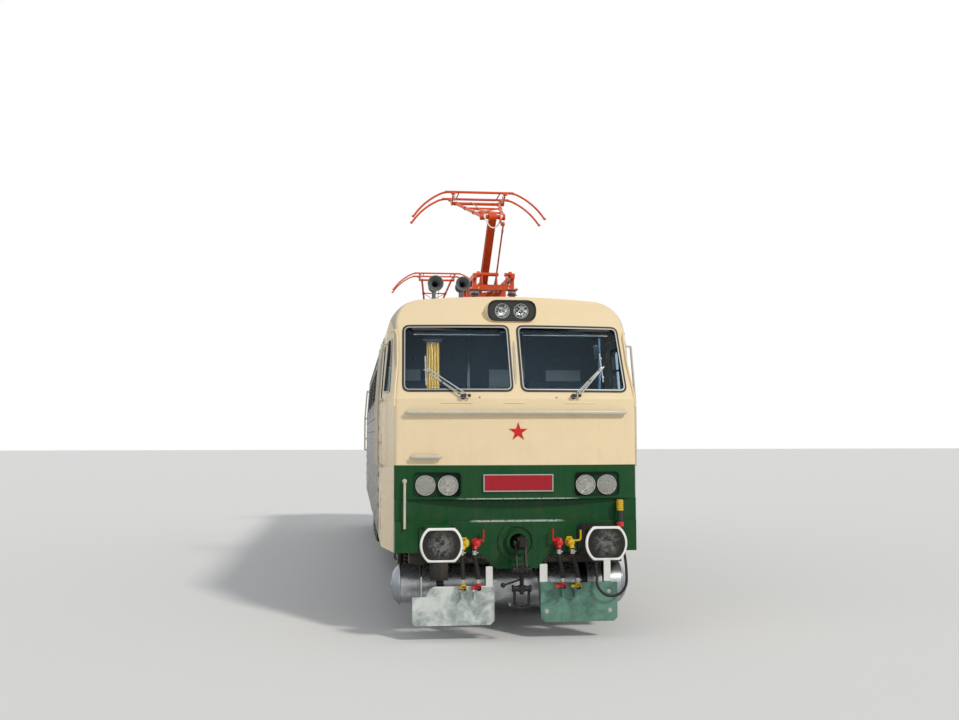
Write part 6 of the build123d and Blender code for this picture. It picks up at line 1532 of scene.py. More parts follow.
class LOCO_OT_front_fittings(bpy.types.Operator):
    """Add the hoses' clamps, the plough bolts, the beam's box and pipes, and the reservoirs' seams"""
    bl_idname = "loco.front_fittings"
    bl_label = "Hoses, ploughs and reservoirs"

    def execute(self, context):
        clamps, heads = bmesh.new(), bmesh.new()
        for _, top_x, low_x in HOSES:
            for x, z0, z1 in ((top_x, HOSE_Z[0] - 0.052, HOSE_Z[0] - 0.004),
                              (low_x, HOSE_Z[3] + 0.004, HOSE_Z[3] + 0.046)):
                height = z1 - z0
                add_lathe(clamps,
                          [(0.0, 0.0226), (0.0, 0.0268), (height * 0.3, 0.0272), (height * 0.34, 0.0252),
                                   (height * 0.62, 0.0252), (height * 0.66, 0.0272), (height, 0.0268),
                                   (height, 0.0226)],
                          (x, HOSE_Y, z0), UPWARDS, 24)
                add_box(clamps, (x + 0.022, HOSE_Y - 0.010, z0 + height * 0.36),
                        (x + 0.040, HOSE_Y + 0.010, z0 + height * 0.60),
                        0.002)
        finish_piece(clamps, "hose_clamps", "bright")

        for _, _, low_x in HOSES:
            add_lathe(heads,
                      [(0.0, 0.0), (0.0, 0.030), (0.006, 0.033), (0.020, 0.033), (0.024, 0.028),
                       (0.040, 0.026)],
                      (low_x, HOSE_Y - 0.024, HOSE_HEAD_Z), AHEAD, 24)
            add_tube(heads,
                     [(low_x - 0.030, HOSE_Y - 0.040, HOSE_HEAD_Z),
                      (low_x + 0.030, HOSE_Y - 0.040, HOSE_HEAD_Z)], 0.006, 8)
            add_box(heads, (low_x - 0.036, HOSE_Y + 0.018, 0.576), (low_x + 0.036, HOSE_Y + 0.030, 0.612),
                    0.003)
        finish_piece(heads, "hose_head_faces", "head")

        cock_nuts = bmesh.new()
        for x in COCK_X:
            add_lathe(cock_nuts, [(0.0, 0.036), (0.0, 0.044), (0.010, 0.046), (0.030, 0.046), (0.034, 0.036)],
                      (x, -7.872, COCK_Z), AHEAD, 6)
            add_lathe(cock_nuts, [(0.0, 0.034), (0.004, 0.031), (0.010, 0.029), (0.014, 0.018), (0.015, 0.0)],
                      (x, -7.954, COCK_Z), AHEAD, 24)
            add_lathe(cock_nuts, [(0.0, 0.0), (0.0, 0.010), (0.012, 0.010), (0.014, 0.0)],
                      (x, -7.968, COCK_Z), AHEAD, 6)
        finish_both(cock_nuts, "brake_cock_nuts", "head")

        levers = bmesh.new()
        for side in (-1, 1):
            lever = [(0.594, 1.052), (0.652, 1.054), (0.676, 1.060), (0.684, 1.078), (0.684, 1.168)]
            add_tube(levers, [(side * x, -7.945, RAIL + z) for x, z in lever], 0.0105, 12)
        finish_both(levers, "yellow_cock_levers", "yellow")

        plug = bmesh.new()
        jumper, clip = JUMPER_ROUTE[0], JUMPER_ROUTE[-1]
        low, top = RAIL + 1.190, RAIL + 1.490
        profile = [(low, 0.0), (low, 0.030), (low + 0.010, 0.030), (low + 0.010, 0.039), (low + 0.056, 0.039),
                   (low + 0.056, 0.030), (low + 0.150, 0.030), (low + 0.152, 0.027), (low + 0.180, 0.027),
                   (low + 0.182, 0.036)]
        for ring in range(5):
            base = low + 0.184 + ring * 0.022
            profile += [(base, 0.037), (base + 0.012, 0.037), (base + 0.014, 0.029), (base + 0.020, 0.029)]
        profile += [(top - 0.004, 0.037), (top, 0.032), (top, 0.0)]
        add_lathe(plug, [(along - low, radius) for along, radius in profile], (jumper[0], jumper[1], low),
                  UPWARDS, 28)
        add_box(plug, (jumper[0] - 0.020, jumper[1] + 0.020, top - 0.090),
                (jumper[0] + 0.020, APRON_Y - 0.0005, top - 0.020), 0.004)
        add_box(plug, (clip[0] - 0.030, clip[1], CLIP_Z + 0.010),
                (clip[0] + 0.030, BEAM_FACE_Y, CLIP_Z + 0.040), 0.004)
        add_lathe(plug,
                  [(0.0, 0.0), (0.0, 0.024), (0.003, 0.026), (0.057, 0.026), (0.060, 0.024), (0.060, 0.0)],
                  (clip[0], clip[1], CLIP_Z), UPWARDS, 24)
        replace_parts(finish_piece(plug, "jumper_connector", "plug"), "jumper_plug")

        bolts = [((x, PLOUGH_FACE_Y - 0.0005, z), AHEAD) for x, z in PLOUGH_BOLTS]
        repeat_both("plough_bolts", bolts, "bolts", bolt_size(0.017, 0.012), "bright")

        dark = bmesh.new()
        add_box(dark, (-0.962, -7.930, 0.670), (-0.767, -7.834, 0.870), 0.008)
        add_box(dark, (-0.950, -7.938, 0.690), (-0.779, -7.929, 0.850), 0.006)
        for x in (-0.935, -0.794):
            add_tube(dark, [(x, -7.880, 0.868), (x, -7.880, 0.960), (x, -7.850, 1.000)], 0.010, 10)
        for side in (-1, 1):
            run = [(side * 0.700, -7.860, 0.905), (side * 0.360, -7.860, 0.905),
                   (side * 0.300, -7.850, 0.850),
                   (side * 0.300, -7.800, 0.790), (side * 0.300, -7.650, 0.790)]
            add_tube(dark, run, 0.013, 12)
            for x in (0.655, 0.505, 0.390):
                add_box(dark, (side * x - 0.012, -7.878, 0.889), (side * x + 0.012, -7.832, 0.921), 0.003)
        finish_both(dark, "beam_boxes_and_pipes", "frame")

        seams = bmesh.new()
        for x in (-1.262, -0.42, 0.42, 1.262):
            add_lathe(seams,
                      [(-0.008, 0.2285), (-0.005, 0.2312), (0.0, 0.2322), (0.005, 0.2312), (0.008, 0.2285),
                       (-0.008, 0.2285)],
                      (x, TANK_Y, TANK_Z), (1, 0, 0), 72)
        for x in (-1.05, 0.0, 1.05):
            add_lathe(seams,
                      [(0.0, 0.022), (0.010, 0.022), (0.014, 0.014), (0.040, 0.012), (0.044, 0.008),
                       (0.050, 0.0)],
                      (x, TANK_Y, RAIL + 0.290), (0, 0, -1), 16)
            add_tube(seams, [(x, TANK_Y, RAIL + 0.262), (x + 0.050, TANK_Y, RAIL + 0.262)], 0.005, 8)
        for side in (-1, 1):
            add_lathe(seams, [(-0.004, 0.060), (0.006, 0.058), (0.014, 0.040), (0.020, 0.022), (0.026, 0.0)],
                      (side * 1.345, TANK_Y, TANK_Z), (side, 0, 0), 24)
            add_tube(seams, [(side * 1.02, TANK_Y, RAIL + 0.740), (side * 1.02, TANK_Y, RAIL + 0.900),
                             (side * 0.96, -7.200, RAIL + 1.000), (side * 0.96, -7.000, RAIL + 1.060)],
                             0.014, 12)
        finish_both(seams, "reservoir_fittings", "tank")
        straps = [((side * 0.82 + dx, TANK_Y + way * 0.061, RAIL + 0.800), (0, way, 0)) for side in (-1, 1)
                  for dx in (-0.026, 0.026) for way in (-1, 1)]
        repeat_both("reservoir_strap_bolts", straps, "bolts", bolt_size(0.011, 0.009), "hook")
        return {"FINISHED"}


# Wipers and handrails

WIPERS = ((-0.590, RAIL + 2.620, -1.000, RAIL + 2.920), (0.638, RAIL + 2.624, 0.995, RAIL + 2.958))
MASK_RAIL_Z = RAIL + 2.453


class LOCO_OT_wiper_trim(bpy.types.Operator):
    """Add the wipers' spindles, blade holders and rubbers, and the feet of the handrails"""
    bl_idname = "loco.wiper_trim"
    bl_label = "Wipers and handrails"

    def execute(self, context):
        dark = bmesh.new()
        bright = bmesh.new()
        for x0, z0, x1, z1 in WIPERS:
            # The guide rod beside the arm keeps the blade upright
            add_tube(bright,
                     [on_mask(x0 + 0.050, z0 + 0.012, 0.045), on_mask(x1 + 0.024, z1 + 0.016, 0.045)],
                     0.008, 10)
            for shift in (-0.050, 0.0, 0.026):
                add_lathe(dark,
                          [(0.044, 0.012), (0.044, 0.017), (0.050, 0.019), (0.060, 0.019), (0.064, 0.014),
                           (0.065, 0.0)],
                          on_mask(x0 - shift, z0), (0, -1, 0.25), 18)
            add_lathe(dark, [(-0.002, 0.030), (0.006, 0.030), (0.012, 0.026), (0.016, 0.016)],
                      on_mask(x0 - 0.013, z0), (0, -1, 0.25), 28)
            for share in (0.12, 0.55, 0.9):
                spot = [on_mask(x0 + (x1 - x0) * share - shift * (1 - share * 0.4), z0 + (z1 - z0) * share,
                                0.045)
                        for shift in (-0.002, 0.028)]
                add_tube(dark, spot, 0.0072, 8)
            for dz in (-0.110, 0.0, 0.110):
                lift = on_mask(x1, z1 + dz, 0.004)
                add_box(bright, (lift.x - 0.0125, lift.y - 0.012, lift.z - 0.009),
                        (lift.x + 0.0125, lift.y + 0.004, lift.z + 0.009),
                        0.002)
        rims = bmesh.new()
        for x in (-1.215, -0.610, 0.0, 0.610, 1.215, -1.160, -0.855):
            z = MASK_RAIL_Z if x not in (-1.160, -0.855) else RAIL + 1.967
            add_lathe(rims, [(-0.002, 0.024), (0.003, 0.024), (0.006, 0.020), (0.008, 0.013)],
                      on_mask(x, z), AHEAD, 20)
        for z in (RAIL + 1.210, RAIL + 1.700):
            add_lathe(rims, [(0.0, 0.026), (0.006, 0.026), (0.010, 0.014)],
                      (-1.236, APRON_Y if z < LEDGE_Z else NOSE_Y + 0.106, z),
                      (0, -1, 0), 20)
        for y in (-7.150, -6.330):
            for side in (-1, 1):
                for z in (RAIL + 1.850, WAIST_Z, RAIL + 3.250):
                    x = side * cab_side_x(y, z)
                    add_lathe(rims, [(-0.002, 0.026), (0.004, 0.026), (0.008, 0.020), (0.012, 0.013)],
                              (x, y, z), (side, 0, 0), 20)
        grips = bmesh.new()
        for low, high, z in ((-1.222, 1.222, MASK_RAIL_Z), (-1.168, -0.847, RAIL + 1.967)):
            count = max(6, round((high - low) / 0.1))
            ends = ((low, 0.014), (low + 0.006, 0.021), (low + 0.018, 0.025))
            middle = [(low + 0.018 + (high - low - 0.036) * n / count, 0.025) for n in range(1, count)]
            line = [*ends, *middle, *[(low + high - x, radius) for x, radius in reversed(ends)]]
            add_tube(grips, [on_mask(x, z, 0.050) for x, radius in line], [radius for x, radius in line], 20)
        finish_both(grips, "mask_rail_grips", "rail")
        finish_both(dark, "wiper_spindles", "rubber")
        finish_both(bright, "wiper_blade_holders", "wiper")
        finish_both(rims, "handrail_feet", "rail")
        return {"FINISHED"}


# Cab interiors

SEAT_X = 0.480
SEAT_Z = RAIL + 2.150
SEAT_MIDDLE_Y = -6.755
FLOOR_Z = RAIL + 1.6203
DESK_TOP_Z = RAIL + 2.560
BULKHEAD_Y = -6.0485
BLIND_Y = -7.440
CUSHION_ROUND = 0.34
PLEAT_DEPTH = 0.007
PIPING_RADIUS = 0.005


def add_cushion(shape, middle, half, lean, pleats):
    """A stuffed cushion with drawn-in pleats across its upper face, leaned about the X axis."""
    def eased(value):
        return (1 if value >= 0 else -1) * abs(value) ** CUSHION_ROUND
    rows, columns = 22, 56
    turn = Matrix.Rotation(lean, 3, "X")
    middle = Vector(middle)
    rings = []
    for row in range(rows + 1):
        rise = -pi / 2 + pi * row / rows
        if row in (0, rows):
            rings.append([shape.verts.new(middle + turn @ Vector((0, 0, half[2] * (1 if row else -1))))])
            continue
        ring = []
        for column in range(columns):
            around = 2 * pi * column / columns
            x = half[0] * eased(cos(rise)) * eased(cos(around))
            y = half[1] * eased(cos(rise)) * eased(sin(around))
            z = half[2] * eased(sin(rise))
            if z > 0:
                inner = max(0.0, 1 - (abs(x) / half[0]) ** 4) * max(0.0, 1 - (abs(y) / half[1]) ** 4)
                z -= PLEAT_DEPTH * inner * abs(cos(pleats * pi * y / (2 * half[1]))) ** 12
                z += half[2] * 0.18 * inner
            ring.append(shape.verts.new(middle + turn @ Vector((x, y, z))))
        rings.append(ring)
    for one, two in zip(rings, rings[1:]):
        for n in range(columns):
            m = (n + 1) % columns
            corners = list(dict.fromkeys((one[n % len(one)], one[m % len(one)], two[m % len(two)],
                                          two[n % len(two)])))
            shape.faces.new(corners)


def add_piping(shape, middle, half, lean):
    """The round piping that closes a cushion's seam."""
    turn = Matrix.Rotation(lean, 3, "X")
    corners = rounded(oblong((-half[0], half[0]), (-half[1], half[1])),
                      min(half[0], half[1]) * 0.25, 6)
    add_tube(shape, [Vector(middle) + turn @ Vector((x * 1.004, y * 1.004, 0)) for x, y in corners],
             PIPING_RADIUS, 8, closed=True)


class LOCO_OT_interiors(bpy.types.Operator):
    """Furnish both cabs: padded seats, desks with instruments, blinds, cupboards and the back doors"""
    bl_idname = "loco.interiors"
    bl_label = "Cab interiors"

    def execute(self, context):
        self.seats()
        self.desks()
        self.fittings()
        return {"FINISHED"}

    @staticmethod
    def seats():
        """Seats: a turned pillar and pan, with a stuffed seat, back and head pad."""
        frames, cushions, seams = bmesh.new(), bmesh.new(), bmesh.new()
        back_lean = radians(-82)
        for side in (-1, 1):
            x = side * SEAT_X
            add_lathe(frames,
                      [(0.0, 0.0), (0.0, 0.190), (0.012, 0.188), (0.022, 0.150), (0.034, 0.060),
                       (0.050, 0.048),
                               (0.300, 0.048), (0.304, 0.040), (0.400, 0.040), (0.404, 0.110),
                               (0.420, 0.110), (0.420, 0.0)],
                      (x, SEAT_MIDDLE_Y, FLOOR_Z), UPWARDS, 36)
            add_box(frames, (x - 0.200, -6.975, SEAT_Z - 0.106), (x + 0.200, -6.545, SEAT_Z - 0.076), 0.010)
            add_box(frames, (x - 0.030, -6.580, SEAT_Z - 0.100), (x + 0.030, -6.540, SEAT_Z + 0.180), 0.008)
            add_tube(frames, [(x - 0.150, -6.700, SEAT_Z - 0.110), (x - 0.205, -6.800, SEAT_Z - 0.130)],
                     0.007, 8)
            for arm in (-1, 1):
                add_tube(frames,
                         [(x + arm * 0.196, -6.560, SEAT_Z - 0.070),
                          (x + arm * 0.204, -6.560, SEAT_Z + 0.205),
                                  (x + arm * 0.204, -6.840, SEAT_Z + 0.215)], 0.010, 10)
                add_box(cushions, (x + arm * 0.204 - 0.010, -6.850, SEAT_Z + 0.212),
                        (x + arm * 0.204 + 0.010, -6.580, SEAT_Z + 0.240),
                        0.008)
            add_cushion(cushions, (x, -6.765, SEAT_Z - 0.036), (0.208, 0.220, 0.038), 0.0, 5)
            add_piping(seams, (x, -6.765, SEAT_Z - 0.036), (0.208, 0.220), 0.0)
            add_cushion(cushions, (x, -6.528, SEAT_Z + 0.270), (0.200, 0.250, 0.036), back_lean, 5)
            add_piping(seams, (x, -6.528, SEAT_Z + 0.270), (0.200, 0.250), back_lean)
            add_cushion(cushions, (x, -6.490, SEAT_Z + 0.560), (0.120, 0.052, 0.030), back_lean, 1)
            add_tube(frames, [(x, -6.498, SEAT_Z + 0.500), (x, -6.492, SEAT_Z + 0.560)], 0.008, 8)
        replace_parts(finish_both(frames, "seat_frames", "bogie"), "cab_seats")
        stuffed = finish_both(cushions, "seat_cushions", "seat", smooth=50)
        piping = finish_both(seams, "seat_piping", "rubber")
        piping.parent = stuffed

    @staticmethod
    def desks():
        """Instruments and levers on the desks."""
        dark, dials, bright = bmesh.new(), bmesh.new(), bmesh.new()
        slope = Vector((0, -0.11, 0.23)).normalized()
        add_box(dark, (-0.760, -7.600, DESK_TOP_Z - 0.045), (-0.140, -7.420, DESK_TOP_Z + 0.150), 0.020)
        add_box(dark, (0.260, -7.640, DESK_TOP_Z - 0.030), (0.640, -7.520, DESK_TOP_Z + 0.110), 0.016)
        add_box(dark, (0.700, -7.640, DESK_TOP_Z - 0.020), (0.980, -7.500, DESK_TOP_Z + 0.055), 0.012)
        add_box(dark, (-1.080, -7.660, DESK_TOP_Z - 0.020), (-0.860, -7.500, DESK_TOP_Z + 0.120), 0.016)
        for x in (-0.680, -0.560, -0.440, -0.320, -0.210):
            add_lathe(bright, [(0.0, 0.046), (0.006, 0.048), (0.010, 0.044), (0.010, 0.040)],
                      (x, -7.419, DESK_TOP_Z + 0.075), (0, 1, 0), 28)
            add_lathe(dials, [(0.004, 0.0), (0.004, 0.041), (0.008, 0.040)],
                      (x, -7.419, DESK_TOP_Z + 0.075), (0, 1, 0), 28)
        for x, reach in ((-0.860, 0.100), (-0.170, 0.130), (0.180, 0.090)):
            foot = Vector((x, -7.430, DESK_TOP_Z - 0.060))
            add_lathe(dark, [(-0.02, 0.046), (0.010, 0.044), (0.022, 0.030), (0.028, 0.0)], foot, slope, 24)
            add_tube(bright, [foot, foot + slope * reach, foot + slope * reach + Vector((0.045, 0, 0.012))],
                     0.007, 8)
            add_lathe(dark, [(0.0, 0.0), (0.004, 0.012), (0.016, 0.018), (0.030, 0.012), (0.034, 0.0)],
                      foot + slope * reach + Vector((0.045, 0, 0.012)), (1, 0, 0.25), 18)
        finish_both(dark, "desk_hoods", "desk")
        finish_both(dials, "desk_dials", "white")
        finish_both(bright, "desk_levers", "bright")
        keys = [((x / 100, -7.372, DESK_TOP_Z - 0.0880), (0, 0.43, 0.9)) for x in range(-66, 100, 8)]
        repeat_both("desk_keys", keys, "bolts", bolt_size(0.012, 0.012), "white")

    @staticmethod
    def fittings():
        """Posts, blinds, cupboards, lights and back doors."""
        cloth, pale, metal, dark, boards = (bmesh.new() for _ in range(5))
        # The gathered curtain beside the left windscreen
        count = 40
        outline = []
        for n in range(count + 1):
            share = n / count
            outline.append((-0.965 + 0.145 * share, -7.310 + 0.011 * sin(share * 9 * pi)))
        outline += [(x, y + 0.006) for x, y in reversed(outline)]
        add_slab(cloth, outline, lambda u, v,
                 out: Vector((u + 0.02 * (out - 0.45) ** 2, v, RAIL + 2.720 + out)), 0.560)
        add_box(pale, (-0.985, -7.335, RAIL + 3.270), (-0.795, -7.285, RAIL + 3.300), 0.006)
        add_tube(metal, [(-1.010, -7.312, RAIL + 3.300), (-0.780, -7.312, RAIL + 3.300)], 0.008, 10)
        # The post with its mirror behind the right windscreen
        add_tube(pale, [(1.035, -7.400, DESK_TOP_Z - 0.10), (1.035, -7.380, RAIL + 3.330)], 0.016, 12)
        add_box(dark, (0.960, -7.420, RAIL + 3.080), (1.015, -7.400, RAIL + 3.240), 0.008)
        add_tube(dark, [(1.035, -7.400, RAIL + 3.16), (0.988, -7.408, RAIL + 3.16)], 0.007, 8)
        for side in (-1, 1):
            # Roller blinds over the windscreens
            low, high = sorted((side * 0.110, side * 1.140))
            add_tube(dark, [(low, BLIND_Y, RAIL + 3.400), (high, BLIND_Y, RAIL + 3.400)], 0.022, 16)
            add_box(dark, (low + 0.02, -7.436, RAIL + 3.345), (high - 0.02, -7.432, RAIL + 3.400), 0.001)
            add_tube(metal, [(low + 0.02, -7.434, RAIL + 3.343), (high - 0.02, -7.434, RAIL + 3.343)],
                     0.006, 8)
            # Cupboards and hooks on the bulkhead
            low, high = sorted((side * 0.400, side * 1.180))
            add_box(pale, (low, -6.200, FLOOR_Z + 0.002), (high, BULKHEAD_Y, RAIL + 2.880), 0.010)
            for z0, z1 in ((FLOOR_Z + 0.060, RAIL + 2.150), (RAIL + 2.180, RAIL + 2.840)):
                for x0, x1 in ((low + 0.03, (low + high) / 2 - 0.008),
                               ((low + high) / 2 + 0.008, high - 0.03)):
                    add_box(pale, (x0, -6.206, z0), (x1, -6.199, z1), 0.003)
                    add_box(metal, (x1 - 0.045, -6.216, (z0 + z1) / 2 - 0.03),
                            (x1 - 0.033, -6.205, (z0 + z1) / 2 + 0.03), 0.002)
            for n in range(3):
                hook_x = low + 0.15 + n * 0.24
                add_tube(metal,
                         [(hook_x, -6.049, RAIL + 3.150), (hook_x, -6.085, RAIL + 3.145),
                          (hook_x, -6.095, RAIL + 3.175)], 0.006, 8)
        # Boards on the bulkhead
        for low, high in ((-1.170, -0.960), (-0.090, 0.180), (0.640, 1.090)):
            add_box(boards, (low, -6.058, RAIL + 2.800), (high, BULKHEAD_Y, RAIL + 3.030), 0.002)
        # Ceiling light
        add_box(pale, (-0.300, -6.900, RAIL + 3.690), (0.300, -6.760, RAIL + 3.722), 0.010)
        # Door casing
        for side in (-1, 1):
            add_box(metal, (side * 0.350 - 0.018, -6.056, FLOOR_Z + 0.002),
                    (side * 0.350 + 0.018, BULKHEAD_Y, RAIL + 3.500), 0.002)
        add_box(metal, (-0.368, -6.056, RAIL + 3.502), (0.368, BULKHEAD_Y, RAIL + 3.530), 0.002)
        # Fire bottle
        add_lathe(dark,
                  [(0.0, 0.0), (0.0, 0.055), (0.010, 0.060), (0.360, 0.060), (0.400, 0.040), (0.415, 0.018),
                   (0.450, 0.018), (0.450, 0.0)],
                  (1.215, -6.320, FLOOR_Z + 0.004), UPWARDS, 28)
        finish_both(cloth, "cab_curtains", "curtain", smooth=60)
        finish_both(boards, "cab_boards", "white")
        finish_both(pale, "cab_cupboards", "interior")
        finish_both(metal, "cab_metal_fittings", "silver")
        finish_both(dark, "cab_blinds_and_mirrors", "rubber")


# Pantographs and roof

PAN_PIVOT = Vector((0, -4.640, 4.310))
PAN_KNEE = Vector((0, -5.730, 5.090))
PAN_HEAD = Vector((0, -3.990, 5.630))
ROD_FOOT = Vector((0.118, -5.025, 4.240))
ROD_TOP = Vector((0.118, -5.920, 4.960))
CARBON_TOP_Z = 5.760


class LOCO_OT_pantographs(bpy.types.Operator):
    """Add the pantographs' springs, carbons, braids, clamps and bolts"""
    bl_idname = "loco.pantographs"
    bl_label = "Pantographs"

    def execute(self, context):
        for end, turned in (("front", False), ("rear", True)):
            self.base(end, turned)
            self.arms(end, turned)
            self.head(end, turned)
        return {"FINISHED"}

    @staticmethod
    def place(shape, name, finish, body, turned, smooth=35):
        """Finish a piece made for the front pantograph, turned for the rear one."""
        if turned:
            bmesh.ops.rotate(shape, cent=(0, 0, 0), matrix=Matrix.Rotation(pi, 3, "Z"), verts=shape.verts)
        return finish_piece(shape, name, finish, body, smooth)

    def base(self, end, turned):
        """Lift springs, damper and clamps on the base frame."""
        steel, paint = bmesh.new(), bmesh.new()
        for side in (-1, 1):
            x = side * 0.080
            start, stop = Vector((x, -5.340, 4.205)), Vector((x, -4.760, 4.225))
            along = (stop - start).normalized()
            first, second = frame_along(along)
            turns, steps, reach = 15, 12, (stop - start).length
            coil = [start + along * reach * n / (turns * steps)
                    + (first * cos(2 * pi * n / steps) + second * sin(2 * pi * n / steps)) * 0.030
                    for n in range(turns * steps + 1)]
            add_tube(steel, coil, 0.006, 6)
            add_tube(steel, [start - along * 0.035, stop + along * 0.035], 0.011, 10)
            for spot in (start - along * 0.030, stop + along * 0.012):
                add_lathe(paint, drum(0.0, 0.018, 0.036), spot, along, 20)
        add_tube(paint, [(-0.150, -5.010, 4.215), (-0.150, -4.720, 4.260)], 0.021, 16)
        add_tube(steel, [(-0.150, -4.720, 4.260), (-0.150, -4.640, 4.272)], 0.009, 10)
        for y in INSULATOR_Y:
            for side in (-1, 1):
                for dx in (-0.050, 0.050):
                    for dy in (-0.050, 0.050):
                        add_lathe(steel,
                                  [(0.0, 0.013), (0.010, 0.013), (0.012, 0.008), (0.018, 0.008),
                                   (0.018, 0.0)],
                                  (side * 0.245 + dx, y + dy, 4.124), UPWARDS, 6)
        for side in (-1, 1):
            add_lathe(paint, [(0.0, 0.036), (0.0, 0.056), (0.012, 0.058), (0.020, 0.052), (0.020, 0.036)],
                      (side * 0.190, PAN_PIVOT.y, PAN_PIVOT.z), (side, 0, 0), 28)
        self.place(steel, end + "_base_springs", "bright", "loco_body", turned)
        self.place(paint, end + "_base_clamps", "pantograph", "loco_body", turned)

    def arms(self, end, turned):
        """Collars, ribs, brackets and the white braid under the knee."""
        lower, upper, braid, rods = (bmesh.new() for _ in range(4))
        run = PAN_KNEE - PAN_PIVOT
        across = Vector((0, -run.z, run.y)).normalized()
        for share in (0.16, 0.38, 0.60, 0.82):
            spot = PAN_PIVOT + run * share
            half = 0.058 - 0.014 * share
            for lift in (-1, 1):
                add_box_on(lower, spot + across * lift * (half + 0.002), run.normalized(),
                           (0.040, 0.030, 0.004))
        for side in (-1, 1):
            add_tube(lower,
                     [PAN_PIVOT + run * 0.08 + Vector((side * 0.051, 0, 0)),
                      PAN_PIVOT + run * 0.92 + Vector((side * 0.051, 0, 0))],
                     0.007, 8)
            add_lathe(lower, [(0.0, 0.034), (0.0, 0.048), (0.010, 0.048), (0.014, 0.040), (0.014, 0.034)],
                      PAN_PIVOT + Vector((side * 0.062, 0, 0)), (side, 0, 0), 24)
        self.place(lower, end + "_lower_arm_ribs", "pantograph", end + "_pantograph_lower_arm", turned)
        reach = PAN_HEAD - PAN_KNEE
        for side in (-1, 1):
            add_lathe(upper, [(0.0, 0.031), (0.0, 0.044), (0.014, 0.046), (0.022, 0.036), (0.024, 0.0)],
                      PAN_KNEE + Vector((side * 0.145, 0, 0)), (side, 0, 0), 24)
            for share in (0.30, 0.62):
                spot = PAN_KNEE + reach * share + Vector((side * (0.132 + 0.190 * share), 0, 0))
                add_lathe(upper, [(-0.030, 0.024), (-0.026, 0.028), (0.026, 0.028), (0.030, 0.024)], spot,
                          reach.normalized(), 20)
            add_lathe(upper, [(-0.030, 0.023), (-0.024, 0.030), (0.024, 0.030), (0.030, 0.023)],
                      PAN_HEAD + Vector((side * 0.322, 0, 0)), (1, 0, 0), 20)
        for side in (-1, 1):
            add_tube(upper, [PAN_KNEE + reach * 0.30 + Vector((side * 0.189, 0, 0)),
                             PAN_KNEE + reach * 0.62 + Vector((-side * 0.250, 0, 0))], 0.007, 8)
        add_tube(upper,
                 [PAN_KNEE + Vector((-0.098, 0.02, 0.045)), PAN_HEAD + Vector((-0.098, -0.03, 0.02))],
                 0.006, 8)
        self.place(upper, end + "_upper_arm_clamps", "pantograph", end + "_pantograph_upper_arm", turned)
        # A white braid hangs in a loop from the upper arm's knee tube, in front of the lower arm
        loop = []
        for n in range(25):
            share = n / 24
            x = -0.112 + 0.224 * share
            sag = 1 - abs(2 * share - 1) ** 2.2
            loop.append((x, PAN_KNEE.y - 0.062 - 0.018 * sag, PAN_KNEE.z - 0.010 - 0.150 * sag))
        add_tube(braid, loop, 0.0085, 10)
        for x in (-0.112, 0.112):
            add_box(braid, (x - 0.014, PAN_KNEE.y - 0.074, PAN_KNEE.z - 0.024),
                    (x + 0.014, PAN_KNEE.y - 0.040, PAN_KNEE.z + 0.016), 0.004)
        self.place(braid, end + "_knee_braid", "white", end + "_pantograph_upper_arm", turned)
        for spot in (ROD_FOOT, ROD_TOP):
            add_lathe(rods, [(0.0, 0.0), (0.0, 0.016), (0.008, 0.016), (0.010, 0.0)],
                      spot + Vector((0.012, 0, 0)), (1, 0, 0), 6)
        way = (ROD_TOP - ROD_FOOT).normalized()
        for share in (0.10, 0.90):
            add_lathe(rods, [(-0.030, 0.011), (-0.028, 0.017), (0.028, 0.017), (0.030, 0.011)],
                      ROD_FOOT + (ROD_TOP - ROD_FOOT) * share, way, 6)
        self.place(rods, end + "_thrust_rod_nuts", "bright", end + "_pantograph_thrust_rod", turned)

    def head(self, end, turned):
        """Contact carbons, horn tips, suspension springs and braids of the head."""
        carbon, paint, steel = bmesh.new(), bmesh.new(), bmesh.new()
        for side in (-1, 1):
            y = PAN_HEAD.y + side * 0.240
            add_box(carbon, (-0.490, y - 0.018, CARBON_TOP_Z - 0.004), (0.490, y + 0.018, CARBON_TOP_Z),
                    0.001)
            for x in (-0.38, 0.38):
                add_box(paint, (x - 0.030, y - 0.032, 5.716), (x + 0.030, y + 0.032, 5.740), 0.004)
                turns, steps = 6, 12
                coil = [(x - 0.020 * (1 if x > 0 else -1) + 0.016 * cos(2 * pi * n / steps),
                         y - side * 0.070 + 0.016 * sin(2 * pi * n / steps),
                         5.640 + 0.075 * n / (turns * steps))
                        for n in range(turns * steps + 1)]
                add_tube(steel, coil, 0.0035, 6)
            for x in (-0.965, 0.965):
                way = Vector((0.53 if x > 0 else -0.53, 0, -0.85))
                add_lathe(paint,
                          [(-0.016, 0.015), (-0.004, 0.019), (0.006, 0.018), (0.012, 0.010), (0.013, 0.0)],
                          Vector((x, y, 5.378)), way, 18)
        for x in (-0.300, 0.300):
            add_tube(paint, [(x, PAN_HEAD.y - 0.225, 5.735), (x, PAN_HEAD.y + 0.225, 5.735)], 0.010, 10)
        self.place(carbon, end + "_contact_carbons", "carbon", end + "_pantograph_head", turned)
        self.place(paint, end + "_head_brackets", "pantograph", end + "_pantograph_head", turned)
        self.place(steel, end + "_head_springs", "bright", end + "_pantograph_head", turned)


def add_box_on(shape, middle, along, half):
    """A box about a point whose long side runs along a direction in the YZ plane."""
    along = Vector(along)
    across = Vector((0, -along.z, along.y))
    corners = []
    for lift in (-1, 1):
        for x, u in ((-1, -1), (1, -1), (1, 1), (-1, 1)):
            corners.append(shape.verts.new(Vector(middle) + Vector((x * half[0], 0, 0)) + along
                                           * (u * half[1]) + across * (lift * half[2])))
    low, top = corners[:4], corners[4:]
    shape.faces.new(list(reversed(low)))
    shape.faces.new(top)
    for n in range(4):
        m = (n + 1) % 4
        shape.faces.new((low[n], low[m], top[m], top[n]))


# Ploughs

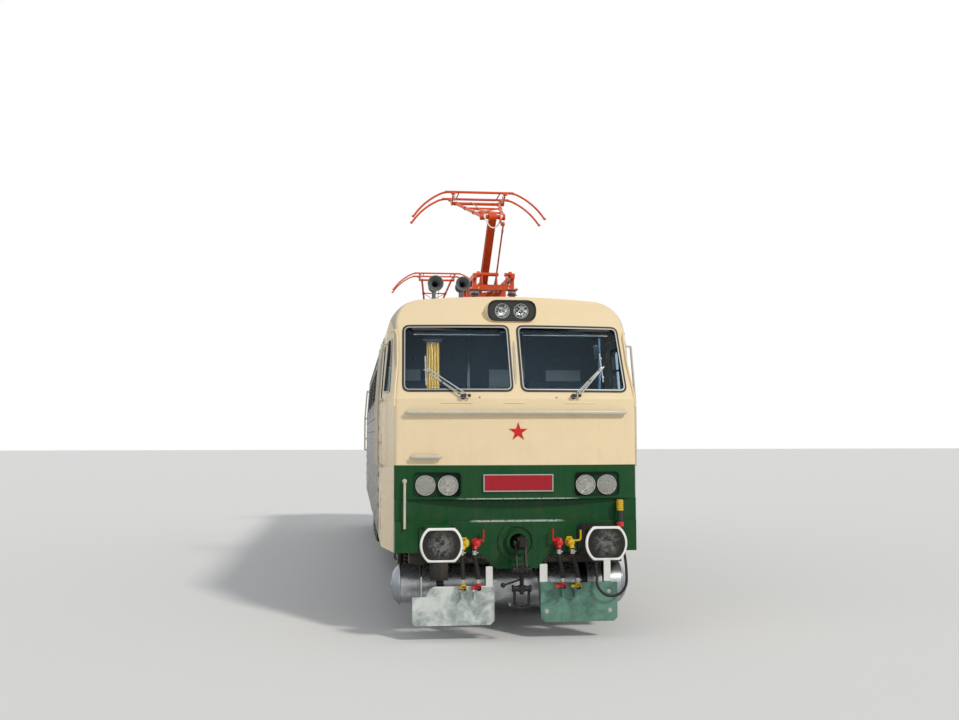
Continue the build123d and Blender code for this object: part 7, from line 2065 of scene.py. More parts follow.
PLOUGH_FACE_Y = -7.862
PLOUGH_DEPTH = 0.012
BEAM_BOTTOM_Z = RAIL + 0.800
PLOUGH_LEFT = ((-1.150, 0.212), (-1.118, 0.177), (-0.302, 0.177), (-0.256, 0.220), (-0.256, 0.594),
               (-0.275, 0.598),
               (-0.275, 0.805), (-0.350, 0.805), (-0.350, 0.596), (-0.905, 0.596), (-0.960, 0.575),
               (-1.000, 0.488),
               (-1.150, 0.486))
PLOUGH_RIGHT = ((0.255, 0.240), (0.300, 0.195), (1.070, 0.195), (1.109, 0.234), (1.109, 0.617),
                (1.034, 0.617),
                (1.034, 0.864), (0.959, 0.864), (0.959, 0.617), (0.328, 0.617), (0.328, 0.824),
                (0.244, 0.824),
                (0.244, 0.617), (0.255, 0.610))
PLOUGH_BOLTS = ((-1.058, 0.311), (-0.339, 0.311), (0.319, 0.312), (1.024, 0.312), (1.012, 0.516))


class LOCO_OT_ploughs(bpy.types.Operator):
    """Make the two unlike plough plates with their gussets, feet and hose rests"""
    bl_idname = "loco.ploughs"
    bl_label = "Snow ploughs"

    def execute(self, context):
        shape = bmesh.new()
        for outline, gussets in ((PLOUGH_LEFT, (-0.345, -1.060)), (PLOUGH_RIGHT, (0.250, 0.980))):
            add_slab(shape, rounded(outline, 0.010, 3), lambda u, v,
                     out: Vector((u, PLOUGH_FACE_Y + out, v)), PLOUGH_DEPTH)
            low = outline[0][1] + 0.080
            web = [(PLOUGH_FACE_Y + PLOUGH_DEPTH - 0.001, low),
                   (PLOUGH_FACE_Y + PLOUGH_DEPTH - 0.001, BEAM_BOTTOM_Z - 0.130),
                   (-7.700, BEAM_BOTTOM_Z - 0.001), (-7.602, BEAM_BOTTOM_Z - 0.001),
                   (-7.602, BEAM_BOTTOM_Z - 0.060)]
            for x in gussets:
                add_slab(shape, web, lambda u, v, out, x=x: Vector((x + out, u, v)), 0.014)
                add_box(shape, (x - 0.050, -7.718, BEAM_BOTTOM_Z - 0.016),
                        (x + 0.064, -7.602, BEAM_BOTTOM_Z - 0.001), 0.003)
        for x in (-0.622, -0.484, 0.484, 0.622):
            add_box(shape, (x - 0.026, -7.990, 0.551), (x + 0.026, PLOUGH_FACE_Y + 0.002, 0.5747), 0.003)
            add_box(shape, (x - 0.008, -7.950, 0.466), (x + 0.008, PLOUGH_FACE_Y + 0.002, 0.562), 0.002)
        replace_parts(finish_both(shape, "plough_plates", "plough"), "snow_ploughs")
        return {"FINISHED"}


# Bogies

BOGIE_Y = 4.150
AXLE_REACH = 1.600
AXLE_Z = RAIL + 0.625
BOX_X = (0.990, 1.185)
BOX_HALF = (0.160, 0.150)
BOX_MIDDLE_X = 1.080
WING_Z = (0.530, 0.595)
PRIMARY_REACH = 0.272
PRIMARY_TOP_Z = 0.8597
SECONDARY_REACH = 0.350
SECONDARY_Z = (1.0003, 1.365)
FRAME_OUT_X = 1.160
FRAME_Z = (RAIL + 0.830, RAIL + 0.970)
TREAD_RADIUS = 0.625
BRAKE_X = 0.763
PULL_ROD_Z = AXLE_Z - 0.050
HANGER_TOP_Z = FRAME_Z[0] + 0.070
DAMPER_X = 1.205
CABLE_X = 1.168
WHEEL_FACE_X = 0.815
HUB_BOLTS_RADIUS = 0.530
COVER_BOLTS_RADIUS = 0.107


class LOCO_OT_bogies(bpy.types.Operator):
    """Build the coil springs, axleboxes, dampers, brake gear and sand pipes of both bogies"""
    bl_idname = "loco.bogies"
    bl_label = "Bogies"

    def execute(self, context):
        wire = context.scene.loco_fittings.coil_wire
        for name, middle in (("front", -BOGIE_Y), ("rear", BOGIE_Y)):
            self.axleboxes(name, middle)
            self.springs(name, middle, wire)
            self.brakes(name, middle)
            self.trims(name, middle)
        for number, y in enumerate((-5.750, -2.550, 2.550, 5.750), 1):
            self.wheels(number, y)
        return {"FINISHED"}

    @staticmethod
    def corners(middle):
        """Side, axle place and the way outwards along the bogie, for each of its four wheels."""
        return [(side, middle + way * AXLE_REACH, way) for side in (-1, 1) for way in (-1, 1)]

    def axleboxes(self, name, middle):
        """Boxes with their spring wings and stepped covers, and the caps of all springs."""
        shape = bmesh.new()
        for side, y, way in self.corners(middle):
            body = rounded(oblong((y - BOX_HALF[0], y + BOX_HALF[0]),
                                  (AXLE_Z - BOX_HALF[1], AXLE_Z + BOX_HALF[1])), 0.070)
            add_slab(shape, body, lambda u, v, out: Vector((side * (BOX_X[0] + out), u, v)),
                     BOX_X[1] - BOX_X[0], 0.05)
            wing = rounded(oblong((BOX_MIDDLE_X - 0.080, BOX_MIDDLE_X + 0.080), (y - 0.370, y + 0.370)),
                           0.060)
            add_slab(shape, wing, lambda u, v, out: Vector((side * u, v, WING_Z[0] + out)),
                     WING_Z[1] - WING_Z[0])
            for reach in (-1, 1):
                for out in (-0.060, 0.060):
                    web = [(y + reach * 0.150, WING_Z[1] - 0.004), (y + reach * 0.360, WING_Z[0] + 0.004),
                           (y + reach * 0.150, WING_Z[0] - 0.030)]
                    add_slab(shape, web, lambda u, v, thick,
                             out=out: Vector((side * (BOX_MIDDLE_X + out) + thick, u, v)), 0.010)
            add_lathe(shape,
                      [(0.0, 0.0), (0.0, 0.122), (0.012, 0.122), (0.018, 0.116), (0.018, 0.098),
                       (0.020, 0.094),
                              (0.022, 0.060), (0.022, 0.0)], (side * (BOX_X[1] - 0.001), y, AXLE_Z),
                              (side, 0, 0), 40)
            add_lathe(shape, [(0.0, 0.036), (0.012, 0.036), (0.018, 0.030), (0.018, 0.0)],
                      (side * (BOX_X[1] + 0.020), y, AXLE_Z), (side, 0, 0), 24)
            for reach in (-1, 1):
                spot = (side * BOX_MIDDLE_X, y + reach * PRIMARY_REACH)
                for z, way, thick in ((WING_Z[1] - 0.001, 1, 0.010), (PRIMARY_TOP_Z, -1, 0.008)):
                    cap = [(0.0, 0.0), (0.0, 0.084), (thick, 0.084), (thick + 0.004, 0.080),
                           (thick + 0.004, 0.046),
                           (0.034, 0.042), (0.034, 0.0)]
                    add_lathe(shape, cap, (*spot, z), (0, 0, way), 32)
        for side in (-1, 1):
            for reach in (-1, 1):
                for z, way in zip(SECONDARY_Z, (1, -1)):
                    add_lathe(shape,
                              [(0.0, 0.0), (0.0, 0.108), (0.012, 0.108), (0.018, 0.102), (0.018, 0.060),
                                      (0.040, 0.056), (0.040, 0.0)],
                              (side * BOX_MIDDLE_X, middle + reach * SECONDARY_REACH, z), (0, 0, way), 36)
        piece = finish_piece(shape, name + "_axleboxes", "bogie", name + "_bogie")
        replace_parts(piece, name + "_bogie_suspension")

    def springs(self, name, middle, wire):
        """Coil springs over the axleboxes and under the body."""
        primary = [(BOX_MIDDLE_X * side, y + reach * PRIMARY_REACH) for side, y, _ in self.corners(middle)
                   for reach in (-1, 1)]
        secondary = [(BOX_MIDDLE_X * side, middle + reach * SECONDARY_REACH) for side in (-1, 1)
                     for reach in (-1, 1)]
        for kind, spots, low, top, radius, thick in (
                ("primary", primary, WING_Z[1] + 0.013, PRIMARY_TOP_Z - 0.012, 0.080, wire),
                ("secondary", secondary, SECONDARY_Z[0] + 0.018, SECONDARY_Z[1] - 0.018, 0.103, wire * 1.35)):
            values = {"Coil radius": radius - thick, "Wire radius": thick, "Height": top - low - 2 * thick,
                      "Turns": 4.5}
            repeat_on(f"{name}_{kind}_springs", [(x, y, low + thick) for x, y in spots], "springs", values,
                      "spring", name + "_bogie", smooth=60)

    def brakes(self, name, middle):
        """Brake shoes, hangers and beams beside each wheel, with the cylinders on the frame."""
        shape, shoes = bmesh.new(), bmesh.new()
        for side, y, way in self.corners(middle):
            for face in (-1, 1):
                arc = []
                for reach, steps in ((TREAD_RADIUS + 0.008, range(-5, 6)),
                                     (TREAD_RADIUS + 0.052, range(5, -6, -1))):
                    arc += [(y + face * reach * cos(radians(3.2 * n - 4)),
                             AXLE_Z + reach * sin(radians(3.2 * n - 4))) for n in steps]
                add_slab(shoes, arc, lambda u, v, out: Vector((side * (0.722 + out), u, v)), 0.082)
                far = y + face * 0.716
                add_box(shape, (side * BRAKE_X - 0.030, far - 0.046, AXLE_Z - 0.120),
                        (side * BRAKE_X + 0.030, far + 0.010, AXLE_Z + 0.060), 0.006)
                add_tube(shape,
                         [(side * BRAKE_X, far + face * 0.012, PULL_ROD_Z),
                          (side * BRAKE_X, far + face * 0.030, HANGER_TOP_Z)],
                         0.017, 10)
                add_tube(shape,
                         [(side * 0.725, far + face * 0.030, HANGER_TOP_Z),
                          (side * 1.002, far + face * 0.030, HANGER_TOP_Z)],
                         0.020, 12)
                add_lathe(shape, drum(0.0, 0.012, 0.026),
                          (side * 0.800, far + face * 0.012, PULL_ROD_Z), (side, 0, 0), 16)
        for way in (-1, 1):
            y = middle + way * (AXLE_REACH + 0.728)
            add_tube(shape, [(-BRAKE_X, y, PULL_ROD_Z), (BRAKE_X, y, PULL_ROD_Z)], 0.024, 12)
        for side in (-1, 1):
            for way in (-1, 1):
                y = middle + way * 0.800
                add_lathe(shape,
                          [(0.0, 0.0), (0.0, 0.086), (0.010, 0.096), (0.150, 0.096), (0.160, 0.102),
                           (0.172, 0.102), (0.172, 0.0)],
                          (side * 0.985, y, FRAME_Z[0] + 0.030), (-side, 0, 0), 28)
        finish_piece(shape, name + "_brake_gear", "bogie", name + "_bogie")
        finish_piece(shoes, name + "_brake_shoes", "shoe", name + "_bogie")

    def trims(self, name, middle):
        """Dampers, sand pipes, axle cables, weld seams and bolts of the frame."""
        dampers, pipes, cables = bmesh.new(), bmesh.new(), bmesh.new()
        spots, ways = [], []
        for side, y, way in self.corners(middle):
            foot = Vector((side * DAMPER_X, y + way * 0.330, 0.566))
            top = Vector((side * DAMPER_X, y + way * 0.385, 0.952))
            lift = (top - foot).normalized()
            reach = (top - foot).length
            add_lathe(dampers,
                      [(0.018, 0.0), (0.018, 0.030), (0.024, 0.033), (reach * 0.52, 0.033),
                       (reach * 0.53, 0.038), (reach * 0.88, 0.038),
                                (reach * 0.90, 0.030), (reach * 0.90, 0.0)], foot, lift, 24)
            for spot in (foot, top):
                add_lathe(dampers, drum(-0.020, 0.020, 0.026), spot, (1, 0, 0), 20)
                add_tube(dampers, [(side * 1.150, spot.y, spot.z), (side * 1.236, spot.y, spot.z)], 0.012, 10)
            pipe_y = y + way * 0.790
            add_tube(pipes,
                     [(side * 0.930, pipe_y, FRAME_Z[0] + 0.010), (side * 0.900, pipe_y, 0.620),
                      (side * 0.800, pipe_y - way * 0.060, 0.320),
                             (side * 0.768, pipe_y - way * 0.190, 0.140)], 0.019, 12)
            add_box(pipes, (side * 0.925 - 0.040, pipe_y - 0.030, FRAME_Z[0] - 0.002),
                    (side * 0.925 + 0.078, pipe_y + 0.030, FRAME_Z[0] + 0.022), 0.003)
            cable = [(side * 1.238, y, AXLE_Z), (side * 1.262, y, AXLE_Z + 0.030),
                     (side * 1.250, y + way * 0.050, AXLE_Z + 0.130),
                     (side * DAMPER_X, y + way * 0.080, AXLE_Z + 0.210),
                     (side * 1.166, y + way * 0.090, FRAME_Z[0] + 0.030)]
            add_tube(cables, cable, 0.011, 10)
            for angle in range(8):
                turn = radians(22.5 + 45 * angle)
                spots.append((side * (BOX_X[1] + 0.017), y + COVER_BOLTS_RADIUS * cos(turn),
                              AXLE_Z + COVER_BOLTS_RADIUS * sin(turn)))
                ways.append((side, 0, 0))
            for reach in (-0.340, -0.204, 0.204, 0.340):
                spots.append((side * BOX_MIDDLE_X, y + reach, WING_Z[0]))
                ways.append((0, 0, -1))
        for side in (-1, 1):
            for n in range(-5, 6):
                if n not in (-2, 2):
                    spots.append((side * FRAME_OUT_X, middle + n * 0.115, FRAME_Z[1] - 0.030))
                    ways.append((side, 0, 0))
            for z in (FRAME_Z[0] + 0.012, FRAME_Z[1] - 0.012):
                for way in (-1, 1):
                    add_tube(dampers,
                             [(side * FRAME_OUT_X, middle + way * 1.020, z),
                              (side * FRAME_OUT_X, middle + way * 2.330, z)], 0.006, 6)
            run = [(side * CABLE_X, middle - 2.300, FRAME_Z[1] - 0.045),
                   (side * CABLE_X, middle + 2.300, FRAME_Z[1] - 0.045)]
            add_tube(cables, run, 0.009, 8)
            for n in range(-8, 9):
                y = middle + n * 0.275
                add_box(dampers, (side * CABLE_X - 0.010, y - 0.012, FRAME_Z[1] - 0.062),
                        (side * CABLE_X + 0.014, y + 0.012, FRAME_Z[1] - 0.028), 0.002)
        finish_piece(dampers, name + "_dampers", "frame", name + "_bogie")
        finish_piece(pipes, name + "_sand_pipes", "bogie", name + "_bogie")
        finish_piece(cables, name + "_bogie_cables", "hose", name + "_bogie")
        repeat_on(name + "_bogie_bolts", spots, "bolts", bolt_size(0.011, 0.009), "hook",
                  name + "_bogie", ways)

    @staticmethod
    def wheels(number, y):
        """Bright treads and tyre faces of one wheelset."""
        bright, hubs = bmesh.new(), bmesh.new()
        spots, ways = [], []
        for side in (-1, 1):
            add_lathe(bright,
                      [(0.722, TREAD_RADIUS - 0.003), (0.724, TREAD_RADIUS + 0.0006),
                       (0.806, TREAD_RADIUS + 0.0006), (0.8145, TREAD_RADIUS - 0.006),
                               (0.8160, TREAD_RADIUS - 0.010), (0.8160, TREAD_RADIUS - 0.030),
                               (0.8140, TREAD_RADIUS - 0.032)],
                      (0, y, AXLE_Z), (side, 0, 0), 96)
            add_lathe(hubs, oblong((0.0, 0.0012), (0.545, 0.553)), (side * WHEEL_FACE_X, y, AXLE_Z),
                      (side, 0, 0), 72)
            for n in range(12):
                turn = 2 * pi * n / 12
                spots.append((side * WHEEL_FACE_X, y + HUB_BOLTS_RADIUS * cos(turn),
                              AXLE_Z + HUB_BOLTS_RADIUS * sin(turn)))
                ways.append((side, 0, 0))
        body = f"wheelset_{number}_body"
        finish_piece(bright, f"wheelset_{number}_treads", "tread", body, 30)
        finish_piece(hubs, f"wheelset_{number}_tyre_marks", "white", body)


# Body sides and underfloor

WALL_END_Y = 6.095
CAB_END_Y = -6.060
POCKET_BACK_X = 1.300
POCKET_FRONT_X = 1.409
JACKING_Y = (-5.300, -3.600, 3.600, 5.300)
SEAM_Y = (-WALL_END_Y + 0.055, -3.580, -2.020, -0.870, 0.870, 2.020, 3.580, WALL_END_Y - 0.055)
LOUVRE_Y = (-2.875, 0.0, 2.875)
NICHE_Y = (-6.930, -6.700)
NICHE_Z = (RAIL + 1.165, RAIL + 1.410)
NICHE_HEIGHT = 0.135


class LOCO_OT_sides(bpy.types.Operator):
    """Add the step pockets, seams, rivets, gutters and louvre frames of the body sides"""
    bl_idname = "loco.sides"
    bl_label = "Body sides"

    def execute(self, context):
        pockets, treads, trims = bmesh.new(), bmesh.new(), bmesh.new()
        for side in (-1, 1):
            for z in NICHE_Z:
                inner, outer = sorted((side * POCKET_BACK_X, side * POCKET_FRONT_X))
                for low, high in (((inner, NICHE_Y[0] - 0.012, z - 0.012),
                                   (outer, NICHE_Y[0], z + NICHE_HEIGHT + 0.012)),
                                  ((inner, NICHE_Y[1], z - 0.012),
                                   (outer, NICHE_Y[1] + 0.012, z + NICHE_HEIGHT + 0.012)),
                                  ((inner, NICHE_Y[0], z - 0.012), (outer, NICHE_Y[1], z - 0.001)),
                                  ((inner, NICHE_Y[0], z + NICHE_HEIGHT + 0.001),
                                   (outer, NICHE_Y[1], z + NICHE_HEIGHT + 0.012))):
                    add_box(pockets, low, high)
                back = sorted((side * 1.296, side * 1.302))
                add_box(pockets, (back[0], NICHE_Y[0], z), (back[1], NICHE_Y[1], z + NICHE_HEIGHT))
                for n in range(4):
                    x = side * (1.370 + 0.024 * n)
                    add_box(treads, (x - 0.004, NICHE_Y[0] + 0.006, z - 0.001),
                            (x + 0.004, NICHE_Y[1] - 0.006, z + 0.006), 0.001)
                rim = rounded(oblong((NICHE_Y[0] - 0.012, NICHE_Y[1] + 0.012),
                                     (z - 0.012, z + NICHE_HEIGHT + 0.012)), 0.020)
                hole = rounded(oblong((NICHE_Y[0] - 0.001, NICHE_Y[1] + 0.001),
                                      (z - 0.001, z + NICHE_HEIGHT + 0.001)), 0.012)
                add_frame(trims, rim, hole, lambda u, v,
                          out: Vector((side * (HALF_WIDTH - 0.001 + out), u, v)), 0.004)
            # Lower sill strip of the cab side, and the joint where the cab meets the machine room
            add_tube(trims,
                     [(side * (HALF_WIDTH + 0.001), CAB_END_Y, RAIL + 0.940),
                      (side * (HALF_WIDTH + 0.001), CAB_END_Y, WAIST_Z),
                             (side * (wall_x(SHOULDER_Z) + 0.001), CAB_END_Y, SHOULDER_Z)], 0.0045, 8)
            add_tube(trims,
                     [(side * (HALF_WIDTH + 0.001), -7.060, RAIL + 0.990),
                      (side * (HALF_WIDTH + 0.001), CAB_END_Y, RAIL + 0.990)], 0.0040, 8)
        finish_both(pockets, "step_pockets", "frame")
        finish_both(treads, "step_treads", "bright")
        finish_both(trims, "cab_side_trims", "cream")

        grey, dark = bmesh.new(), bmesh.new()
        for side in (-1, 1):
            for y in LOUVRE_Y:
                outer = rounded(oblong((y - 0.845, y + 0.845), (RAIL + 2.675, RAIL + 3.285)), 0.03)
                inner = rounded(oblong((y - 0.805, y + 0.805), (RAIL + 2.715, RAIL + 3.245)), 0.02)
                add_frame(grey, outer, inner, lambda u, v,
                          out: Vector((side * (wall_x(v) - 0.001 + out), u, v)), 0.008)
            for y in SEAM_Y:
                add_tube(grey,
                         [(side * (wall_x(z) + 0.0015), y, z)
                          for z in (RAIL + 2.520, WAIST_Z, RAIL + 3.370)], 0.005, 8)
            add_tube(grey,
                     [(side * (HALF_WIDTH + 0.0015), y, RAIL + 1.250)
                      for y in (-WALL_END_Y + 0.03, WALL_END_Y - 0.03)], 0.005, 8)
            add_tube(grey,
                     [(side * (wall_x(SHOULDER_Z) + 0.004), y, SHOULDER_Z + 0.010)
                      for y in (-WALL_END_Y, WALL_END_Y)], 0.013, 10)
            for y in JACKING_Y:
                add_box(dark, (side * (HALF_WIDTH - 0.004) - 0.006, y - 0.060, RAIL + 1.000),
                        (side * (HALF_WIDTH - 0.004) + 0.006, y + 0.060, RAIL + 1.110), 0.003)
        finish_piece(grey, "side_frames_and_seams", "sides")
        finish_piece(dark, "jacking_plates", "frame")

        spots, ways = [], []
        for side in (-1, 1):
            for y in LOUVRE_Y:
                for n in range(9):
                    for z in (RAIL + 2.695, RAIL + 3.265):
                        spots.append((side * (wall_x(z) + 0.006), y - 0.800 + 0.200 * n, z))
                        ways.append((side, 0, 0))
            for n in range(61):
                y = -6.000 + 0.200 * n
                for z in (RAIL + 1.280, RAIL + 0.965):
                    spots.append((side * HALF_WIDTH, y, z))
                    ways.append((side, 0, 0))
        repeat_on("side_rivets", spots, "rivets",
                  {"Radius": context.scene.loco_fittings.rivet, "Rise": 0.4}, "sides",
                  facings=ways)
        return {"FINISHED"}


class LOCO_OT_underfloor(bpy.types.Operator):
    """Add the latches, hinges, pipes and cooling ribs under the floor"""
    bl_idname = "loco.underfloor"
    bl_label = "Underfloor"

    def execute(self, context):
        dark, bright, pipes = bmesh.new(), bmesh.new(), bmesh.new()
        top = RAIL + 0.890
        for side in (-1, 1):
            for y0, y1 in ((-1.550, -0.420), (-0.380, 0.480), (0.520, 1.550)):
                a, b = (y0, y1) if side > 0 else (-y1, -y0)
                for n in range(3):
                    z = RAIL + 0.520 + 0.130 * n
                    add_box(dark, (side * 1.396 - 0.004, a + 0.060, z),
                            (side * 1.396 + 0.006, b - 0.060, z + 0.010), 0.002)
                for y in (a + 0.130, (a + b) / 2, b - 0.130):
                    add_tube(dark,
                             [(side * 1.402, y - 0.035, RAIL + 0.475),
                              (side * 1.402, y + 0.035, RAIL + 0.475)], 0.010, 10)
                for y in (a + 0.200, b - 0.200):
                    add_box(bright, (side * 1.400 - 0.006, y - 0.014, top - 0.110),
                            (side * 1.400 + 0.008, y + 0.014, top - 0.040), 0.003)
                    add_tube(bright, [(side * 1.410, y, top - 0.100), (side * 1.418, y, top - 0.060)],
                             0.006, 8)
            for n in range(11):
                y = -1.100 + 0.220 * n
                add_box(dark, (side * 0.850 - 0.025, y - 0.006, RAIL + 0.430),
                        (side * 0.850 + 0.025, y + 0.006, RAIL + 0.780), 0.002)
            for x, z, radius in ((0.720, RAIL + 0.905, 0.020), (0.640, RAIL + 0.905, 0.014),
                                 (0.600, RAIL + 0.935, 0.010)):
                for way in (-1, 1):
                    add_tube(pipes, [(side * x, way * 1.230, z), (side * x, way * 1.640, z)], radius, 12)
        for n in range(13):
            x = -0.720 + 0.120 * n
            for way in (-1, 1):
                add_box(dark, (x - 0.006, way * 1.200 - 0.025, RAIL + 0.440),
                        (x + 0.006, way * 1.200 + 0.025, RAIL + 0.800), 0.002)
        finish_piece(dark, "underfloor_ribs", "frame")
        finish_piece(bright, "underfloor_latches", "bright")
        finish_piece(pipes, "underfloor_pipes", "bogie")
        return {"FINISHED"}


# Roof

ROOF_TOP_Z = RAIL + 3.830
CROWN_DROP = 0.050
CROWN_X = 1.060
BUSBAR_Z = 4.140
FAN_Y = -2.300
INSULATOR_Y = (-5.800, -4.400)
BUSBAR_END_Y = (-3.600, -1.200)
PLANK_X = 0.850
BRACKET_X = 0.925
HORN_Z = RAIL + 4.000
HORNS = ((-0.837, 0.094), (-0.510, 0.085))


def roof_z(x):
    """Top of the roof at a distance from its middle."""
    return ROOF_TOP_Z - CROWN_DROP * (x / CROWN_X) ** 2


WALKWAY_Z = roof_z(0.9)


class LOCO_OT_roof(bpy.types.Operator):
    """Add the insulators' caps, roof hatches' bolts and grilles, walkways, straps and the horns' bodies"""
    bl_idname = "loco.roof"
    bl_label = "Roof"

    def execute(self, context):
        steel, grey, dark, copper, wood = (bmesh.new() for _ in range(5))
        bolts = []
        posts = [(side * 0.245, y, 4.110) for side in (-1, 1)
                 for y in INSULATOR_Y] + [(0.0, y, 4.120) for y in BUSBAR_END_Y]
        for x, y, top in posts:
            low = roof_z(x)
            add_lathe(steel,
                      [(0.0, 0.0), (0.0, 0.086), (0.012, 0.086), (0.016, 0.078), (0.030, 0.060),
                       (0.030, 0.0)], (x, y, low - 0.004), UPWARDS, 32)
            add_lathe(steel, [(0.0, 0.0), (0.0, 0.052), (0.018, 0.056), (0.026, 0.050), (0.026, 0.0)],
                      (x, y, top - 0.040), UPWARDS, 28)
            for n in range(4):
                turn = radians(45 + 90 * n)
                bolts.append(((x + 0.072 * cos(turn), y + 0.072 * sin(turn), low + 0.008), UPWARDS))
        # The strap from the pantograph to the busbar, and the busbar's clamps
        add_tube(copper,
                 [(0.060, -4.400, 4.262), (0.070, -4.250, 4.225), (0.050, -4.000, 4.155),
                  (0.015, -3.760, 4.135), (0.0, -3.660, BUSBAR_Z)], 0.012, 10)
        for y in BUSBAR_END_Y:
            add_box(copper, (-0.030, y - 0.030, BUSBAR_Z - 0.026), (0.030, y + 0.030, BUSBAR_Z + 0.026),
                    0.004)
        # Walkway planks on their brackets
        for side in (-1, 1):
            for n in range(3):
                x = side * (PLANK_X + 0.075 * n)
                add_box(wood, (x - 0.033, -5.900, WALKWAY_Z + 0.055),
                        (x + 0.033, -0.005, WALKWAY_Z + 0.075), 0.003)
            for n in range(8):
                y = -5.800 + 0.810 * n
                add_box(steel, (side * BRACKET_X - 0.115, y - 0.020, WALKWAY_Z + 0.040),
                        (side * BRACKET_X + 0.115, y + 0.020, WALKWAY_Z + 0.0555), 0.002)
                for x in (0.830, 1.020):
                    add_box(steel, (side * x - 0.010, y - 0.018, roof_z(x) - 0.004),
                            (side * x + 0.010, y + 0.018, WALKWAY_Z + 0.048), 0.002)
        for side in (-1, 1):
            self.fan(grey, dark, steel, (side * 0.380, FAN_Y, roof_z(0.38) + 0.012))
        # Lifting eyes and bolts of the hatches
        for y in (FAN_Y, 0.0):
            for side in (-1, 1):
                for dy in (-0.880, 0.880):
                    x = side * 0.700
                    z = roof_z(x) + 0.020
                    add_tube(steel,
                             [(x, y + dy - 0.050, z), (x, y + dy - 0.046, z + 0.038),
                              (x, y + dy + 0.046, z + 0.038), (x, y + dy + 0.050, z)], 0.008, 8)
            bolts += [((side * 0.745, y - 0.900 + 0.200 * n, roof_z(0.745) + 0.021), UPWARDS)
                      for n in range(10)
                      for side in (-1, 1)]
            bolts += [((-0.600 + 0.200 * n, y + dy, roof_z(-0.600 + 0.200 * n) + 0.021), UPWARDS)
                      for n in range(7)
                      for dy in (-0.965, 0.965)]
        # Horns: the rolled rims, drivers' bodies, feet and air pipes
        for x, radius in HORNS:
            z = HORN_Z
            add_tube(dark,
                     [(x + (radius - 0.003) * cos(2 * pi * n / 40), -6.957,
                       z + (radius - 0.003) * sin(2 * pi * n / 40)) for n in range(40)],
                     0.005, 8, closed=True)
            add_lathe(dark,
                      [(0.0, 0.0), (0.0, 0.050), (0.010, 0.066), (0.095, 0.066), (0.110, 0.056),
                       (0.120, 0.030), (0.130, 0.026), (0.130, 0.0)],
                      (x, -6.700, z), (0, 1, 0), 28)
            add_box(dark, (x - 0.060, -6.720, roof_z(x) - 0.004), (x + 0.060, -6.600, roof_z(x) + 0.014),
                    0.004)
            add_box(dark, (x - 0.022, -6.690, roof_z(x) + 0.010), (x + 0.022, -6.630, z - 0.040), 0.006)
            add_tube(dark,
                     [(x, -6.572, z), (x, -6.535, z), (x, -6.515, z - 0.030),
                      (x, -6.515, roof_z(x) - 0.004)], 0.011, 10)
        finish_both(steel, "roof_steelwork", "bright")
        finish_both(grey, "roof_fan_rings", "roof")
        finish_both(dark, "horn_bodies_and_fans", "horn")
        finish_both(copper, "roof_straps", "copper")
        finish_both(wood, "roof_walkways", "plank")
        repeat_both("roof_bolts", bolts, "bolts", bolt_size(0.010, 0.008), "hook")
        return {"FINISHED"}

    @staticmethod
    def fan(grey, dark, steel, spot):
        """A fan in its ring, with a dished floor, a hub, six blades and a round guard."""
        x, y, z = spot
        add_lathe(grey,
                  [(0.0, 0.325), (0.030, 0.325), (0.044, 0.312), (0.044, 0.296), (0.020, 0.290),
                   (0.012, 0.290),
                         (0.0, 0.325)], spot, UPWARDS, 56)
        add_lathe(dark, [(0.010, 0.0), (0.012, 0.292)], spot, UPWARDS, 56)
        add_lathe(grey, [(0.012, 0.0), (0.012, 0.070), (0.034, 0.066), (0.040, 0.050), (0.040, 0.0)], spot,
                  UPWARDS, 28)
        for n in range(6):
            turn = 2 * pi * n / 6
            add_slab(dark, [(0.065, -0.030), (0.280, -0.060), (0.280, 0.060), (0.065, 0.030)],
                     lambda u, v,
                     out: Vector(spot) + Vector((u * cos(turn) - v * sin(turn), u * sin(turn) + v * cos(turn),
                                                              0.024 + v * 0.18 + out)), 0.003)
        for n in range(-6, 7):
            reach = sqrt(max(0.0, 0.300 ** 2 - (n * 0.046) ** 2))
            add_tube(steel, [(x + n * 0.046, y - reach, z + 0.044), (x + n * 0.046, y + reach, z + 0.044)],
                     0.0035, 6)
        for radius in (0.110, 0.200, 0.290):
            ring = [(x + radius * cos(2 * pi * n / 32), y + radius * sin(2 * pi * n / 32), z + 0.049)
                    for n in range(32)]
            add_tube(steel, ring, 0.0035, 6, closed=True)


class LOCO_PT_panel(bpy.types.Panel):
    """Buttons for each group of pieces"""
    bl_idname = "LOCO_PT_panel"
    bl_label = "Locomotive"
    bl_space_type = "VIEW_3D"
    bl_region_type = "UI"
    bl_category = "Locomotive"

    def draw(self, context):
        scene = context.scene
        for group in (scene.loco_paint, scene.loco_fittings, scene.loco_stage):
            box = self.layout.box()
            for item in group.bl_rna.properties:
                if item.identifier not in ("rna_type", "name"):
                    box.prop(group, item.identifier)
        column = self.layout.column()
        for operator in OPERATORS:
            column.operator(operator.bl_idname)


OPERATORS = (LOCO_OT_stage, LOCO_OT_paint, LOCO_OT_cords, LOCO_OT_windows, LOCO_OT_lamps, LOCO_OT_mask_trim,
             LOCO_OT_buffing_gear, LOCO_OT_front_fittings, LOCO_OT_wiper_trim, LOCO_OT_interiors,
             LOCO_OT_pantographs, LOCO_OT_ploughs, LOCO_OT_bogies, LOCO_OT_sides, LOCO_OT_underfloor,
             LOCO_OT_roof)
GROUP_CLASSES = (LOCO_PG_paint, LOCO_PG_fittings, LOCO_PG_stage)


def register():
    """Register the classes and their settings."""
    for kind in GROUP_CLASSES + OPERATORS + (LOCO_PT_panel,):
        bpy.utils.register_class(kind)
    bpy.types.Scene.loco_paint = bpy.props.PointerProperty(type=LOCO_PG_paint)
    bpy.types.Scene.loco_fittings = bpy.props.PointerProperty(type=LOCO_PG_fittings)
    bpy.types.Scene.loco_stage = bpy.props.PointerProperty(type=LOCO_PG_stage)


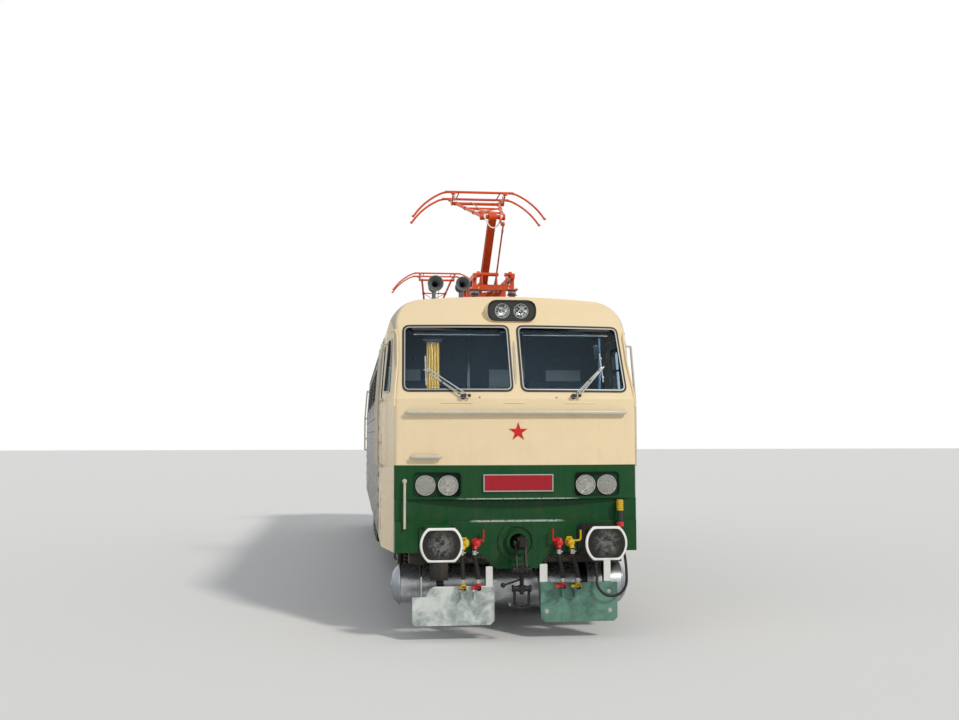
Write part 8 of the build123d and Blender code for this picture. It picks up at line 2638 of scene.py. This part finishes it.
def unregister():
    """Take the settings and classes out again."""
    del bpy.types.Scene.loco_stage
    del bpy.types.Scene.loco_fittings
    del bpy.types.Scene.loco_paint
    for kind in reversed(GROUP_CLASSES + OPERATORS + (LOCO_PT_panel,)):
        bpy.utils.unregister_class(kind)


def main():
    """Build everything in order."""
    register()
    for operator in OPERATORS:
        group, name = operator.bl_idname.split(".")
        getattr(getattr(bpy.ops, group), name)()


if __name__ == "__main__":
    main()
